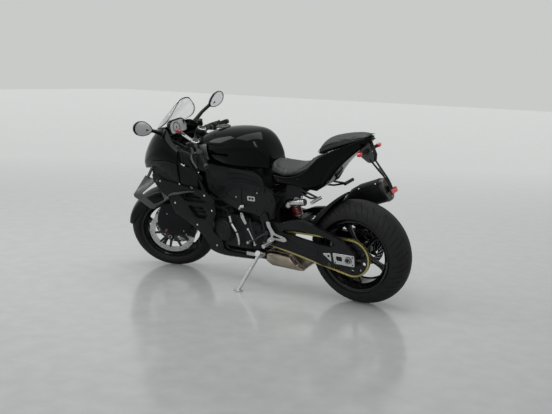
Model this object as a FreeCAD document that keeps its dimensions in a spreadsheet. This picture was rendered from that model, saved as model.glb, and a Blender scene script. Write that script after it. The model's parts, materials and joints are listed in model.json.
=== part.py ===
"""Sport motorcycle, parked leaning on its side stand with its steering at the left stop.

Every piece is drawn on the upright machine: X forward from the rear axle, Y to the left,
Z up from the ground, millimetres. parked_placement() then leans the whole machine onto
its stand, and turned_placement() turns the front end about the steering axis.
"""
import FreeCAD, Part
import math
import os
from FreeCAD import Placement, Rotation, Vector

# alias, value in millimetres or degrees, what it is
SIZES = [
    ("head_ahead", 1178.9, "steering axis ahead of the rear axle, at the head's height"),
    ("head_height", 865, "middle of the steering head above the ground"),
    ("fork_reach", 629, "steering head to the front axle along the fork"),
    ("rake", 23.6, "steering axis back from vertical"),
    ("fork_offset", 28.65, "front axle ahead of the steering axis"),
    ("steer_lock", 27, "steering angle from straight ahead to each stop"),
    ("lean_angle", 10.14, "lean to the left on the side stand"),
    ("origin_ahead", 704, "origin of the part ahead of the rear axle"),
    ("origin_left", 194, "origin of the part left of the rear axle"),
    ("seat_gap", 0.3, "clearance between pieces that rest on each other"),
    ("axle_gap", 0.05, "radial running clearance of axles and the stem"),
    ("front_tyre_radius", 300, "front tyre, axle to crown"),
    ("front_tyre_section", 60, "front tyre crown radius across the tread"),
    ("rear_tyre_radius", 327, "rear tyre, axle to crown"),
    ("rear_tyre_section", 98, "rear tyre crown radius across the tread"),
    ("rim_seat_radius", 216, "bead seat of both rims"),
    ("rim_flange_height", 13.5, "rim flanges above the bead seat"),
    ("rim_well_depth", 26, "rim well below the bead seat"),
    ("rim_wall", 6, "thickness of the rim barrel"),
    ("front_rim_half", 44.8, "half of the front rim between its flanges"),
    ("rear_rim_half", 76.2, "half of the rear rim between its flanges"),
    ("spokes", 5, "spokes of each wheel"),
    ("front_spoke_turn", 21, "first front spoke above the forward direction"),
    ("rear_spoke_turn", 64, "first rear spoke above the forward direction"),
    ("front_hub_radius", 34, "front hub outside"),
    ("front_hub_half", 63, "half length of the front hub"),
    ("front_spoke_half", 13, "half thickness of a front spoke along the axle"),
    ("rear_hub_radius", 48, "rear hub outside"),
    ("rear_hub_left", 96, "rear hub end on the chain side"),
    ("rear_hub_right", 82, "rear hub end on the disc side"),
    ("rear_spoke_half", 20, "half thickness of a rear spoke along the axle"),
    ("front_disc_radius", 160, "front brake discs"),
    ("front_disc_inner", 122, "inside of the front friction rings"),
    ("front_disc_thick", 5, "front disc thickness"),
    ("rear_disc_radius", 110, "rear brake disc"),
    ("rear_disc_inner", 72, "inside of the rear friction ring"),
    ("rear_disc_thick", 5, "rear disc thickness"),
    ("front_axle_radius", 12.5, "front axle outside"),
    ("front_axle_bore", 9, "hole through the front axle"),
    ("rear_axle_radius", 14, "rear axle outside"),
    ("rear_axle_bore", 10, "hole through the rear axle"),
    ("fork_half", 105, "fork leg from the middle plane"),
    ("stanchion_radius", 23, "lower fork tube"),
    ("fork_tube_radius", 28, "upper fork tube"),
    ("fork_tube_start", 262, "lower end of the upper tube, from the axle along the leg"),
    ("fork_tube_end", 738, "upper end of the upper tube, from the axle along the leg"),
    ("fork_foot_radius", 27, "fork foot round the stanchion"),
    ("fork_foot_top", 62, "top of the fork foot, from the axle along the leg"),
    ("low_yoke_start", 478, "underside of the lower yoke along the leg"),
    ("low_yoke_thick", 32, "lower yoke"),
    ("top_yoke_start", 680, "underside of the top yoke along the leg"),
    ("top_yoke_thick", 22, "top yoke"),
    ("yoke_clamp_radius", 39, "yoke clamps round the fork tubes"),
    ("stem_radius", 15, "steering stem"),
    ("head_radius", 32, "head tube outside"),
    ("bar_radius", 11, "handlebar tube"),
    ("bar_length", 292, "handlebar from the fork leg to its end"),
    ("bar_back", 26, "handlebar swept back from square"),
    ("bar_droop", 9.5, "handlebar slope down towards its end"),
    ("grip_radius", 17, "grip outside"),
    ("grip_start", 158, "inner end of the grip along the bar"),
    ("grip_length", 116, "grip"),
    ("mudguard_gap", 14, "mudguard above the front tread"),
    ("mudguard_thick", 4, "mudguard wall"),
    ("mudguard_half", 70, "half width of the front mudguard"),
    ("pivot_ahead", 565, "swingarm pivot ahead of the rear axle"),
    ("pivot_height", 384, "swingarm pivot above the ground"),
    ("pivot_radius", 24, "swingarm pivot tube"),
    ("arm_inner", 128, "inside of the swingarm beams from the middle plane"),
    ("arm_thick", 30, "width of each swingarm beam"),
    ("chain_line", 114, "chain and sprockets left of the middle plane"),
    ("chain_width", 18, "chain over its plates"),
    ("chain_half_height", 7.5, "half height of a chain plate"),
    ("rear_sprocket_pitch", 113.8, "pitch radius of the rear sprocket"),
    ("front_sprocket_pitch", 43.2, "pitch radius of the front sprocket"),
    ("front_sprocket_ahead", 650, "front sprocket ahead of the rear axle"),
    ("front_sprocket_height", 392, "front sprocket above the ground"),
    ("sprocket_thick", 6, "rear sprocket"),
    ("frame_half", 160, "outside of the frame spars from the middle plane"),
    ("frame_wall", 18, "thickness of the frame spars"),
    ("engine_half", 138, "half width of the engine"),
    ("engine_chain_side", 98, "engine left face behind the chain line"),
    ("alternator_radius", 76, "alternator cover"),
    ("alternator_ahead", 914, "alternator cover ahead of the rear axle"),
    ("alternator_height", 396, "alternator cover above the ground"),
    ("alternator_depth", 33, "alternator cover beyond the engine"),
    ("clutch_radius", 92, "clutch cover"),
    ("clutch_ahead", 800, "clutch cover ahead of the rear axle"),
    ("clutch_height", 402, "clutch cover above the ground"),
    ("clutch_depth", 40, "clutch cover beyond the engine"),
    ("panel_wall", 4, "wall of the fairing panels"),
    ("screen_wall", 4, "windscreen thickness"),
    ("fairing_half", 218, "widest half width of the side fairings"),
    ("stand_ahead", 650, "side stand pivot ahead of the rear axle"),
    ("stand_left", 148, "side stand pivot left of the middle plane"),
    ("stand_height", 262, "side stand pivot above the ground"),
    ("stand_foot_ahead", 735, "side stand foot ahead of the rear axle"),
    ("stand_foot_left", 290, "side stand foot left of the middle plane"),
    ("stand_radius", 11, "side stand leg"),
    ("stand_foot_radius", 30, "side stand foot plate"),
    ("stand_foot_thick", 9, "side stand foot plate thickness"),
    ("silencer_half_width", 54, "half width of the silencer"),
    ("silencer_half_height", 66, "half height of the silencer"),
    ("silencer_length", 300, "silencer body"),
    ("header_radius", 21, "exhaust header pipe"),
    ("link_pipe_radius", 27, "exhaust link pipe"),
    ("peg_radius", 11, "footrest pegs"),
    ("peg_length", 88, "footrest pegs"),
    ("peg_ahead", 530, "rider footrest ahead of the rear axle"),
    ("peg_height", 375, "rider footrest above the ground"),
    ("hanger_half", 168, "inside of the footrest hangers from the middle plane"),
    ("hanger_thick", 9, "footrest hanger plates"),
    ("rear_peg_ahead", 172, "passenger footrest ahead of the rear axle"),
    ("rear_peg_height", 694, "passenger footrest above the ground"),
    ("mirror_reach", 384, "mirror centre from the middle plane"),
    ("mirror_ahead", 1290, "mirrors ahead of the rear axle"),
    ("mirror_left_height", 1092, "left mirror above the ground"),
    ("mirror_right_height", 1130, "right mirror above the ground"),
    ("mirror_half_width", 88, "half width of a mirror head"),
    ("mirror_half_height", 50, "half height of a mirror head"),
    ("mirror_depth", 34, "mirror head depth"),
    ("mirror_glass_thick", 3, "mirror glass"),
    ("hose_radius", 4, "front brake hoses"),
    ("block_thick", 5, "chain adjuster plates"),
    ("carrier_half", 24, "half width of the plate carrier"),
    ("carrier_stem_half", 10, "half width of the carrier's stem"),
    ("reflector_half", 33, "half width of the reflector on the plate carrier"),
    ("reflector_tall", 12, "half height of the reflector on the plate carrier"),
    ("bobbin_hole_radius", 4, "stand bobbin thread, nominal"),
    ("bobbin_hole_depth", 18, "stand bobbin thread depth"),
    ("bobbin_ahead", 130, "stand bobbin ahead of the rear axle"),
    ("bobbin_height", 284, "stand bobbin above the ground"),
]

doc = FreeCAD.newDocument("sport_motorcycle")
sheet = doc.addObject("Spreadsheet::Sheet", "sizes")
for row, (alias, value, note) in enumerate(SIZES, 1):
    sheet.set(f"A{row}", note)
    sheet.set(f"B{row}", str(value))
    sheet.setAlias(f"B{row}", alias)
doc.recompute()

X_AXIS = Vector(1, 0, 0)
Y_AXIS = Vector(0, 1, 0)
Z_AXIS = Vector(0, 0, 1)
LEFT_AND_RIGHT = (("left", 1), ("right", -1))
NODES = []


def size(alias):
    """A value of the sheet as a plain number."""
    return float(getattr(sheet, alias))


def keep(piece, label, group):
    """Name a finished piece and note the body it belongs to."""
    piece.Label = label
    NODES.append((piece, label, group))
    return piece


# ---------------------------------------------------------------- where things are

RAKE = math.radians(size("rake"))
STEER_UP = Vector(-math.sin(RAKE), 0, math.cos(RAKE))
STEER_AHEAD = Vector(math.cos(RAKE), 0, math.sin(RAKE))
HEAD = Vector(size("head_ahead"), 0, size("head_height"))
FRONT_AXLE = HEAD + STEER_AHEAD * size("fork_offset") - STEER_UP * size("fork_reach")
REAR_AXLE = Vector(0, 0, size("rear_tyre_radius"))
STEER_FOOT = FRONT_AXLE - STEER_AHEAD * size("fork_offset")


def fork_point(ahead, left, along):
    """A point by its distances ahead of, left of and up along the fork from the axle."""
    return FRONT_AXLE + STEER_AHEAD * ahead + Y_AXIS * left + STEER_UP * along


def turned_placement(angle):
    """The front end turned to the left about the steering axis."""
    return Placement(Vector(0, 0, 0), Rotation(STEER_UP, angle), STEER_FOOT)


def wheel_clearance(turn, centre, axle, radius, section):
    """Height of a round-shouldered tyre above the plane through the origin."""
    side = turn.multVec(axle).z
    return turn.multVec(centre).z - (radius - section) * math.sqrt(1 - side * side) - section


def parked_placement():
    """Lean the machine until both tyres touch the ground with the steering at rest."""
    steered = turned_placement(size("steer_lock"))
    front_centre = steered.multVec(FRONT_AXLE)
    front_axle = steered.Rotation.multVec(Y_AXIS)
    lean = Rotation(X_AXIS, -size("lean_angle"))
    pitch = 0.0
    for _ in range(12):
        turn = lean.multiply(Rotation(Y_AXIS, pitch))
        rear_gap = wheel_clearance(turn, REAR_AXLE, Y_AXIS, size("rear_tyre_radius"),
                                   size("rear_tyre_section"))
        front_gap = wheel_clearance(turn, front_centre, front_axle,
                                    size("front_tyre_radius"), size("front_tyre_section"))
        pitch += math.degrees((front_gap - rear_gap) / FRONT_AXLE.x)
    return Placement(Vector(-size("origin_ahead"), -size("origin_left"), -rear_gap), turn)


PARKED = parked_placement()
STEERED = PARKED.multiply(turned_placement(size("steer_lock")))


# ---------------------------------------------------------------- ways of making things

def base_plane(body, role):
    return next(item for item in body.Origin.OriginFeatures if item.Role == role)


def draw(body, role, offset, outlines, name):
    """A sketch on an origin plane of the body, moved along its normal by the offset.

    Each outline is a closed loop of (x, y) corners; (mx, my, x, y) is an arc that passes
    (mx, my) on its way to the corner (x, y).
    """
    sketch = body.newObject("Sketcher::SketchObject", name)
    sketch.AttachmentSupport = [(base_plane(body, role), "")]
    sketch.MapMode = "FlatFace"
    sketch.AttachmentOffset = Placement(Vector(0, 0, offset), Rotation())
    for outline in outlines:
        for start, end in zip(outline, outline[1:] + outline[:1]):
            first = Vector(start[-2], start[-1], 0)
            last = Vector(end[-2], end[-1], 0)
            if len(end) == 4:
                sketch.addGeometry(Part.Arc(first, Vector(end[0], end[1], 0), last))
            else:
                sketch.addGeometry(Part.LineSegment(first, last))
    return sketch


def new_body(name):
    return doc.addObject("PartDesign::Body", name)


def pad(body, sketch, length, both_ways=True, name="Pad"):
    """Thicken a sketch; the length is an expression on the sheet or a number."""
    feature = body.newObject("PartDesign::Pad", name)
    feature.Profile = sketch
    set_size(feature, "Length", length)
    feature.SideType = "Symmetric" if both_ways else "One side"
    return feature


def pad_between(body, outline, low, high, name):
    """An outline seen from the side, thickened from y = low to y = high."""
    sketch = draw(body, "XZ_Plane", -(low + high) / 2, [outline], name + "_side")
    return pad(body, sketch, high - low, name=name + "_pad")


def cut_through(body, sketch, name="Cut"):
    """Cut a sketch through the whole body, both ways."""
    feature = body.newObject("PartDesign::Pocket", name)
    feature.Profile = sketch
    feature.Type = "ThroughAll"
    feature.SideType = "Symmetric"
    return feature


def spin(body, sketch, angle=360, name="Spin"):
    """Revolve a sketch of the XY plane round the Y axis."""
    feature = body.newObject("PartDesign::Revolution", name)
    feature.Profile = sketch
    feature.ReferenceAxis = (sketch, ["V_Axis"])
    feature.Angle = angle
    feature.Reversed = True
    return feature


def repeat_round(body, feature, count, name="Repeat"):
    """Repeat a feature evenly about the Y axis of its body."""
    pattern = body.newObject("PartDesign::PolarPattern", name)
    pattern.Originals = [feature]
    pattern.Axis = (base_plane(body, "Y_Axis"), [""])
    pattern.Angle = 360
    pattern.setExpression("Occurrences", count)
    body.Tip = pattern
    return pattern


def blend(body, sketches, kind="PartDesign::AdditiveLoft", ruled=False, name="Blend"):
    """A loft through sketches in order."""
    feature = body.newObject(kind, name)
    feature.Profile = sketches[0]
    feature.Sections = sketches[1:]
    feature.Ruled = ruled
    return feature


def set_size(piece, prop, value):
    """Bind a property to an expression on the sheet, or set a worked-out number."""
    if isinstance(value, str):
        piece.setExpression(prop, value)
    else:
        setattr(piece, prop, value)


def along(start, end):
    """Placement at start with its Z axis towards end."""
    return Placement(start, Rotation(Z_AXIS, end - start))


def rod(name, start, end, radius):
    piece = doc.addObject("Part::Cylinder", name)
    set_size(piece, "Radius", radius)
    piece.Height = (end - start).Length
    piece.Placement = along(start, end)
    return piece


def taper(name, start, end, radius_start, radius_end):
    piece = doc.addObject("Part::Cone", name)
    set_size(piece, "Radius1", radius_start)
    set_size(piece, "Radius2", radius_end)
    piece.Height = (end - start).Length
    piece.Placement = along(start, end)
    return piece


def block(name, low, high, frame=None):
    """A box between two corners, in the upright frame or in a frame of its own."""
    piece = doc.addObject("Part::Box", name)
    piece.Length = high[0] - low[0]
    piece.Width = high[1] - low[1]
    piece.Height = high[2] - low[2]
    corner = Placement(Vector(*low), Rotation())
    piece.Placement = frame.multiply(corner) if frame else corner
    return piece


def joined(name, pieces):
    fuse = doc.addObject("Part::MultiFuse", name)
    fuse.Shapes = pieces
    return fuse


def cut_from(name, base, tools):
    cut = doc.addObject("Part::Cut", name)
    cut.Base = base
    cut.Tool = tools[0] if len(tools) == 1 else joined(name + "_tools", tools)
    return cut


def bent_path(points, bend):
    """Straight runs joined by arcs that are tangent to both of their runs."""
    edges = []
    last = points[0]
    for before, corner, after in zip(points, points[1:], points[2:]):
        back = (before - corner).normalize()
        on = (after - corner).normalize()
        half = back.getAngle(on) / 2
        reach = min(bend / math.tan(half), 0.45 * (before - corner).Length,
                    0.45 * (after - corner).Length)
        radius = reach * math.tan(half)
        first = corner + back * reach
        second = corner + on * reach
        to_centre = (back + on).normalize()
        middle = corner + to_centre * (radius / math.sin(half) - radius)
        edges.append(Part.LineSegment(last, first).toShape())
        edges.append(Part.Arc(first, middle, second).toShape())
        last = second
    edges.append(Part.LineSegment(last, points[-1]).toShape())
    return Part.Wire(edges)


def pipe(name, points, radius, bend):
    """A round bar along a path of straight runs and arcs."""
    path = bent_path(points, bend)
    circle = Part.Circle(points[0], points[1] - points[0], radius).toShape()
    piece = doc.addObject("Part::Feature", name)
    piece.Shape = path.makePipeShell([Part.Wire(circle)], True, True)
    return piece


FORK = Placement(FRONT_AXLE, Rotation(Y_AXIS, -size("rake")))


# ---------------------------------------------------------------- wheels

def tyre(name, radius, section, rim_half):
    """A round-shouldered tyre, open towards its rim."""
    body = new_body(name)
    gap = size("seat_gap")
    seat = size("rim_seat_radius") + gap
    centre = radius - section
    heel = rim_half - gap
    flange = size("rim_seat_radius") + size("rim_flange_height") + 2
    shoulder = math.acos((flange + 3 - centre) / section)
    wide = (centre + section * math.cos(shoulder), section * math.sin(shoulder))
    inner = section - 12
    chamber = max(centre, seat + 12)
    outline = [
        (seat, heel - 11),
        (seat, heel),
        (flange, heel),
        wide,
        (radius, 0, wide[0], -wide[1]),
        (flange, -heel),
        (seat, -heel),
        (seat, 11 - heel),
        (chamber, -inner * 0.86),
        (centre + inner, 0, chamber, inner * 0.86),
    ]
    spin(body, draw(body, "XY_Plane", 0, [outline], name + "_section"), name=name + "_spin")
    return body


def add_barrel(body, half):
    """Rim barrel between its flanges; half is half the width between them."""
    wall = size("rim_wall")
    seat = size("rim_seat_radius")
    flange = seat + size("rim_flange_height")
    well = seat - size("rim_well_depth")
    side = [(flange, half + 5), (flange, half), (seat, half), (seat - 2, half - 11),
            (well, half - 27)]
    under = [(well - wall, half - 25), (seat - 2 - wall, half - 5), (seat - 4, half + 5)]
    barrel = side + [(x, -y) for x, y in side[::-1]]
    barrel += [(x, -y) for x, y in under[::-1]] + under
    sketch = draw(body, "XY_Plane", 0, [barrel], body.Name + "_barrel")
    spin(body, sketch, name=body.Name + "_ring")


def add_spokes(body, hub, half_thick, axle, end):
    """Hub, given as (radius, left end, right end), and spokes that reach to the radius end."""
    hub_radius, left, right = hub
    bore = axle + size("axle_gap")
    section = [(bore, left), (hub_radius, left), (hub_radius, -right), (bore, -right)]
    spin(body, draw(body, "XY_Plane", 0, [section], body.Name + "_hub"),
         name=body.Name + "_core")
    root = hub_radius - 4
    foot = math.sqrt(end ** 2 - 30 ** 2)
    arm = [(root, -15), (end - 55, -11), (foot, -30), (end, 0, foot, 30), (end - 55, 11),
           (root, 15)]
    spoke = pad(body, draw(body, "XZ_Plane", 0, [arm], body.Name + "_arm"), half_thick * 2,
                name=body.Name + "_spoke")
    repeat_round(body, spoke, "sizes.spokes", body.Name + "_star")


def ring_disc(name, outer, inner, thick, middle, arms, hub):
    """A brake disc in the wheel plane at the distance middle, with its carrier arms."""
    body = new_body(name)
    low = middle - thick / 2
    high = middle + thick / 2
    ring = [(inner, low), (outer, low), (outer, high), (inner, high)]
    spin(body, draw(body, "XY_Plane", 0, [ring], name + "_ring"), name=name + "_friction")
    eye = [(hub[0], low), (hub[1], low), (hub[1], high), (hub[0], high)]
    spin(body, draw(body, "XY_Plane", 0, [eye], name + "_eye"), name=name + "_carrier")
    bar = [(hub[1] - 3, -9), (inner + 3, -6), (inner + 3, 6), (hub[1] - 3, 9)]
    arm = pad(body, draw(body, "XZ_Plane", -middle, [bar], name + "_bar"), thick,
              name=name + "_arm")
    repeat_round(body, arm, arms, name + "_arms")
    return body


def wheel_placement(centre, turn):
    return Placement(centre, Rotation(Y_AXIS, -turn))


def make_front_wheel():
    place = wheel_placement(FRONT_AXLE, size("front_spoke_turn"))
    rubber = tyre("front_tyre", size("front_tyre_radius"), size("front_tyre_section"),
                  size("front_rim_half"))
    half = size("front_hub_half")
    metal = new_body("front_rim")
    add_barrel(metal, size("front_rim_half"))
    barrel_inside = size("rim_seat_radius") - size("rim_well_depth") - size("rim_wall")
    add_spokes(metal, (size("front_hub_radius"), half, half), size("front_spoke_half"),
               size("front_axle_radius"), barrel_inside + 1)
    for piece in (rubber, metal):
        piece.Placement = place
        keep(piece, piece.Name, "front_wheel")
    thick = size("front_disc_thick")
    eye = (size("front_axle_radius") + 9, size("front_hub_radius") + 14)
    discs = []
    for side, sign in LEFT_AND_RIGHT:
        disc = ring_disc("front_disc_" + side, size("front_disc_radius"),
                         size("front_disc_inner"), thick, sign * (half + thick / 2),
                         "sizes.spokes * 2", eye)
        disc.Placement = place
        discs.append(disc)
    keep(joined("front_discs", discs), "front_discs", "front_wheel")


def make_rear_wheel():
    place = wheel_placement(REAR_AXLE, size("rear_spoke_turn"))
    rubber = tyre("rear_tyre", size("rear_tyre_radius"), size("rear_tyre_section"),
                  size("rear_rim_half"))
    left = size("rear_hub_left")
    right = size("rear_hub_right")
    metal = new_body("rear_rim")
    add_barrel(metal, size("rear_rim_half"))
    barrel_inside = size("rim_seat_radius") - size("rim_well_depth") - size("rim_wall")
    star = new_body("rear_spokes")
    add_spokes(star, (size("rear_hub_radius"), left, right), size("rear_spoke_half"),
               size("rear_axle_radius"), barrel_inside - size("seat_gap"))
    thick = size("rear_disc_thick")
    eye = (size("rear_axle_radius") + 10, size("rear_hub_radius") + 6)
    disc = ring_disc("rear_disc", size("rear_disc_radius"), size("rear_disc_inner"), thick,
                     -right - thick / 2, "sizes.spokes", eye)
    sprocket = new_body("rear_sprocket")
    line = size("chain_line")
    half = size("sprocket_thick") / 2
    rootline = size("rear_sprocket_pitch") - size("chain_half_height") - size("seat_gap")
    plate = [(size("rear_axle_radius") + 8, left), (70, left), (70, line - half),
             (rootline, line - half), (rootline, line + half),
             (size("rear_axle_radius") + 8, line + half)]
    spin(sprocket, draw(sprocket, "XY_Plane", 0, [plate], "sprocket_section"), name="sprocket")
    for piece in (rubber, metal, star, disc, sprocket):
        piece.Placement = place
        keep(piece, piece.Name, "rear_wheel")


# ---------------------------------------------------------------- front end

def make_fork():
    half = size("fork_half")
    foot_top = size("fork_foot_top")
    tube_start = size("fork_tube_start")
    axle = size("front_axle_radius")
    uppers = []
    lowers = []
    for side, sign in LEFT_AND_RIGHT:
        leg = sign * half
        uppers.append(rod("fork_tube_" + side, fork_point(0, leg, tube_start),
                          fork_point(0, leg, size("fork_tube_end")),
                          "sizes.fork_tube_radius"))
        parts = [
            rod("stanchion_" + side, fork_point(0, leg, 0), fork_point(0, leg, tube_start),
                "sizes.stanchion_radius"),
            rod("foot_" + side, fork_point(0, leg, -27), fork_point(0, leg, foot_top),
                "sizes.fork_foot_radius"),
            block("caliper_lug_" + side, (-90 + size("seat_gap"), leg - 12, 26),
                  (0, leg + 12, 92), FORK),
        ]
        bore = rod("foot_bore_" + side, fork_point(0, leg - 60, 0), fork_point(0, leg + 60, 0),
                   axle + size("axle_gap"))
        lowers.append(cut_from("fork_lower_" + side, joined("leg_" + side, parts), [bore]))
    keep(joined("fork_tubes", uppers), "fork_tubes", "front_end")
    keep(joined("fork_lowers", lowers), "fork_lowers", "front_end")
    reach = half + size("fork_foot_radius") + 6
    shaft = rod("front_axle_bar", fork_point(0, -reach, 0), fork_point(0, reach, 0),
                "sizes.front_axle_radius")
    hole = rod("front_axle_hole", fork_point(0, -reach - 5, 0), fork_point(0, reach + 5, 0),
               "sizes.front_axle_bore")
    keep(cut_from("front_axle", shaft, [hole]), "front_axle", "front_end")


def make_yokes():
    half = size("fork_half")
    back = -size("fork_offset")
    grip = size("fork_tube_radius") + size("axle_gap")
    plates = []
    bores = []
    for level in ("low", "top"):
        start = size(level + "_yoke_start")
        end = start + size(level + "_yoke_thick")
        plates.append(block(level + "_bridge", (back - 22, -half + 20, start),
                            (20, half - 20, end), FORK))
        for side, sign in LEFT_AND_RIGHT:
            leg = sign * half
            plates.append(rod(f"{level}_clamp_{side}", fork_point(0, leg, start),
                              fork_point(0, leg, end), "sizes.yoke_clamp_radius"))
            bores.append(rod(f"{level}_clamp_bore_{side}", fork_point(0, leg, start - 5),
                             fork_point(0, leg, end + 5), grip))
    plates.append(rod("stem", fork_point(back, 0, size("low_yoke_start")),
                      fork_point(back, 0, size("top_yoke_start") + 5), "sizes.stem_radius"))
    keep(cut_from("yokes", joined("yoke_castings", plates), bores), "yokes", "front_end")


def bar_direction(sign):
    back = math.radians(size("bar_back"))
    droop = math.radians(size("bar_droop"))
    return Vector(-math.sin(back) * math.cos(droop), sign * math.cos(back) * math.cos(droop),
                  -math.sin(droop))


def bar_point(sign, distance, ahead=0, up=0):
    """A point on the handlebar axis, or ahead of it and above it."""
    clamp = size("top_yoke_start") + size("top_yoke_thick") + size("seat_gap")
    start = fork_point(0, sign * size("fork_half"), (clamp + size("fork_tube_end")) / 2)
    way = bar_direction(sign)
    forward = way.cross(Z_AXIS).normalize() * sign
    return start + way * distance + forward * ahead + Z_AXIS * up


def make_handlebars():
    half = size("fork_half")
    low = size("top_yoke_start") + size("top_yoke_thick") + size("seat_gap")
    high = size("fork_tube_end")
    gap = size("axle_gap")
    bars = []
    grips = []
    pods = []
    levers = []
    for side, sign in LEFT_AND_RIGHT:
        leg = sign * half
        clamp = rod("clip_" + side, fork_point(0, leg, low), fork_point(0, leg, high - 3),
                    "sizes.fork_tube_radius + 8")
        tube = rod("bar_" + side, bar_point(sign, 20), bar_point(sign, size("bar_length")),
                   "sizes.bar_radius")
        bore = rod("clip_bore_" + side, fork_point(0, leg, low - 5),
                   fork_point(0, leg, high + 5), size("fork_tube_radius") + gap)
        bars.append(cut_from("clip_on_" + side, joined("clip_bar_" + side, [clamp, tube]),
                             [bore]))
        start = size("grip_start")
        end = start + size("grip_length")
        grips.append(sleeve("grip_" + side, sign, start, end, size("grip_radius")))
        pods.append(sleeve("pod_" + side, sign, start - 34, start - 1, size("grip_radius") + 5))
        levers.append(make_lever(side, sign, start - 58))
    keep(joined("handlebars", bars), "handlebars", "front_end")
    keep(joined("grips", grips), "grips", "front_end")
    keep(joined("switch_pods", pods), "switch_pods", "front_end")
    keep(joined("levers", levers), "levers", "front_end")


def sleeve(name, sign, start, end, outer):
    """A tube round the handlebar between two distances along it."""
    skin = rod(name + "_skin", bar_point(sign, start), bar_point(sign, end), outer)
    bore = rod(name + "_bore", bar_point(sign, start - 5), bar_point(sign, end + 5),
               size("bar_radius") + size("axle_gap"))
    return cut_from(name, skin, [bore])


def make_lever(side, sign, start):
    """Perch on the bar, and the blade that reaches outwards in front of the grip."""
    perch = sleeve("perch_" + side, sign, start, start + 20, size("grip_radius"))
    pivot = bar_point(sign, start + 10, 46)
    arm = rod("perch_arm_" + side, bar_point(sign, start + 10, 14), pivot, 9)
    blade = rod("blade_" + side, pivot, bar_point(sign, start + 175, 58), 6.5)
    return joined("lever_" + side, [perch, arm, blade])


def make_mudguard():
    """Guard over the front tyre, hung between the fork legs, and a duct over each foot."""
    body = new_body("mudguard_blade")
    inner = size("front_tyre_radius") + size("mudguard_gap")
    outer = inner + size("mudguard_thick")
    half = size("mudguard_half")
    wall = size("mudguard_thick")
    outline = [
        (inner - 74, half), (inner - 74, half - wall), (inner - 22, half - wall),
        (inner, 0, inner - 22, wall - half), (inner - 74, wall - half), (inner - 74, -half),
        (inner - 22, -half), (outer, 0, inner - 22, half),
    ]
    spin(body, draw(body, "XY_Plane", 0, [outline], "guard_section"), 128, "guard")
    ear_reach = size("fork_half") - size("stanchion_radius") - size("seat_gap")
    low = inner - 74
    ear = [(-14, low), (14, low), (14, low + 16), (-14, low + 16)]
    for side, sign in LEFT_AND_RIGHT:
        low_y, high_y = sorted((sign * (half - 2), sign * ear_reach))
        pad_between(body, ear, low_y, high_y, "ear_" + side)
    body.Placement = Placement(FRONT_AXLE, Rotation(Y_AXIS, -size("rake")))
    duct = [(56, 251), (111, 221), (118, 127), (102, 56), (67, 26), (-39, 26), (-109, 61),
            (-121, 98), (-121, 203), (-86, 241)]
    face = size("fork_half") + size("fork_foot_radius") + size("seat_gap")
    pieces = [body]
    for side, sign in LEFT_AND_RIGHT:
        cover = new_body("fork_duct_" + side)
        low_y, high_y = sorted((sign * face, sign * (face + wall)))
        pad_between(cover, duct, low_y, high_y, "duct_" + side)
        cover.Placement = FORK
        pieces.append(cover)
    keep(joined("front_mudguard", pieces), "front_mudguard", "front_end")


def make_front_calipers():
    """Calipers behind the fork feet, each astride its disc."""
    half = size("front_hub_half")
    thick = size("front_disc_thick")
    pieces = []
    for side, sign in LEFT_AND_RIGHT:
        near = sorted((sign * (half - 14), sign * (size("fork_half") - 6)))
        slot = sorted((sign * (half - 2.5), sign * (half + thick + 2.5)))
        shell = block("caliper_shell_" + side, (-160, near[0], 24), (-90, near[1], 104), FORK)
        gap = rod("caliper_slot_" + side, fork_point(0, slot[0], 0), fork_point(0, slot[1], 0),
                  "sizes.front_disc_radius + 3")
        pieces.append(cut_from("caliper_" + side, shell, [gap]))
    keep(joined("front_calipers", pieces), "front_calipers", "front_end")


def make_brake_hoses():
    """Hoses from the calipers up behind the fork legs to the lower yoke."""
    gap = size("seat_gap")
    radius = size("hose_radius")
    back = size("fork_tube_radius") + radius + 2
    hoses = []
    for side, sign in LEFT_AND_RIGHT:
        start = sign * (size("front_hub_half") + size("fork_half")) / 2
        leg = sign * (size("fork_half") - 8)
        points = [FORK.multVec(Vector(*place)) for place in (
            (-122, start, 104 + gap), (-122, start, 160), (-back, leg, 250),
            (-back, leg, size("low_yoke_start") - gap))]
        hoses.append(pipe("brake_hose_" + side, points, radius, 30))
    keep(joined("brake_hoses", hoses), "brake_hoses", "front_end")


# ---------------------------------------------------------------- frame and engine

def plate_body(name, outline, half_width):
    """An outline in the middle plane, thickened both ways across the machine."""
    body = new_body(name)
    pad(body, draw(body, "XZ_Plane", 0, [outline], name + "_side"), half_width * 2,
        name=name + "_slab")
    return body


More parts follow.
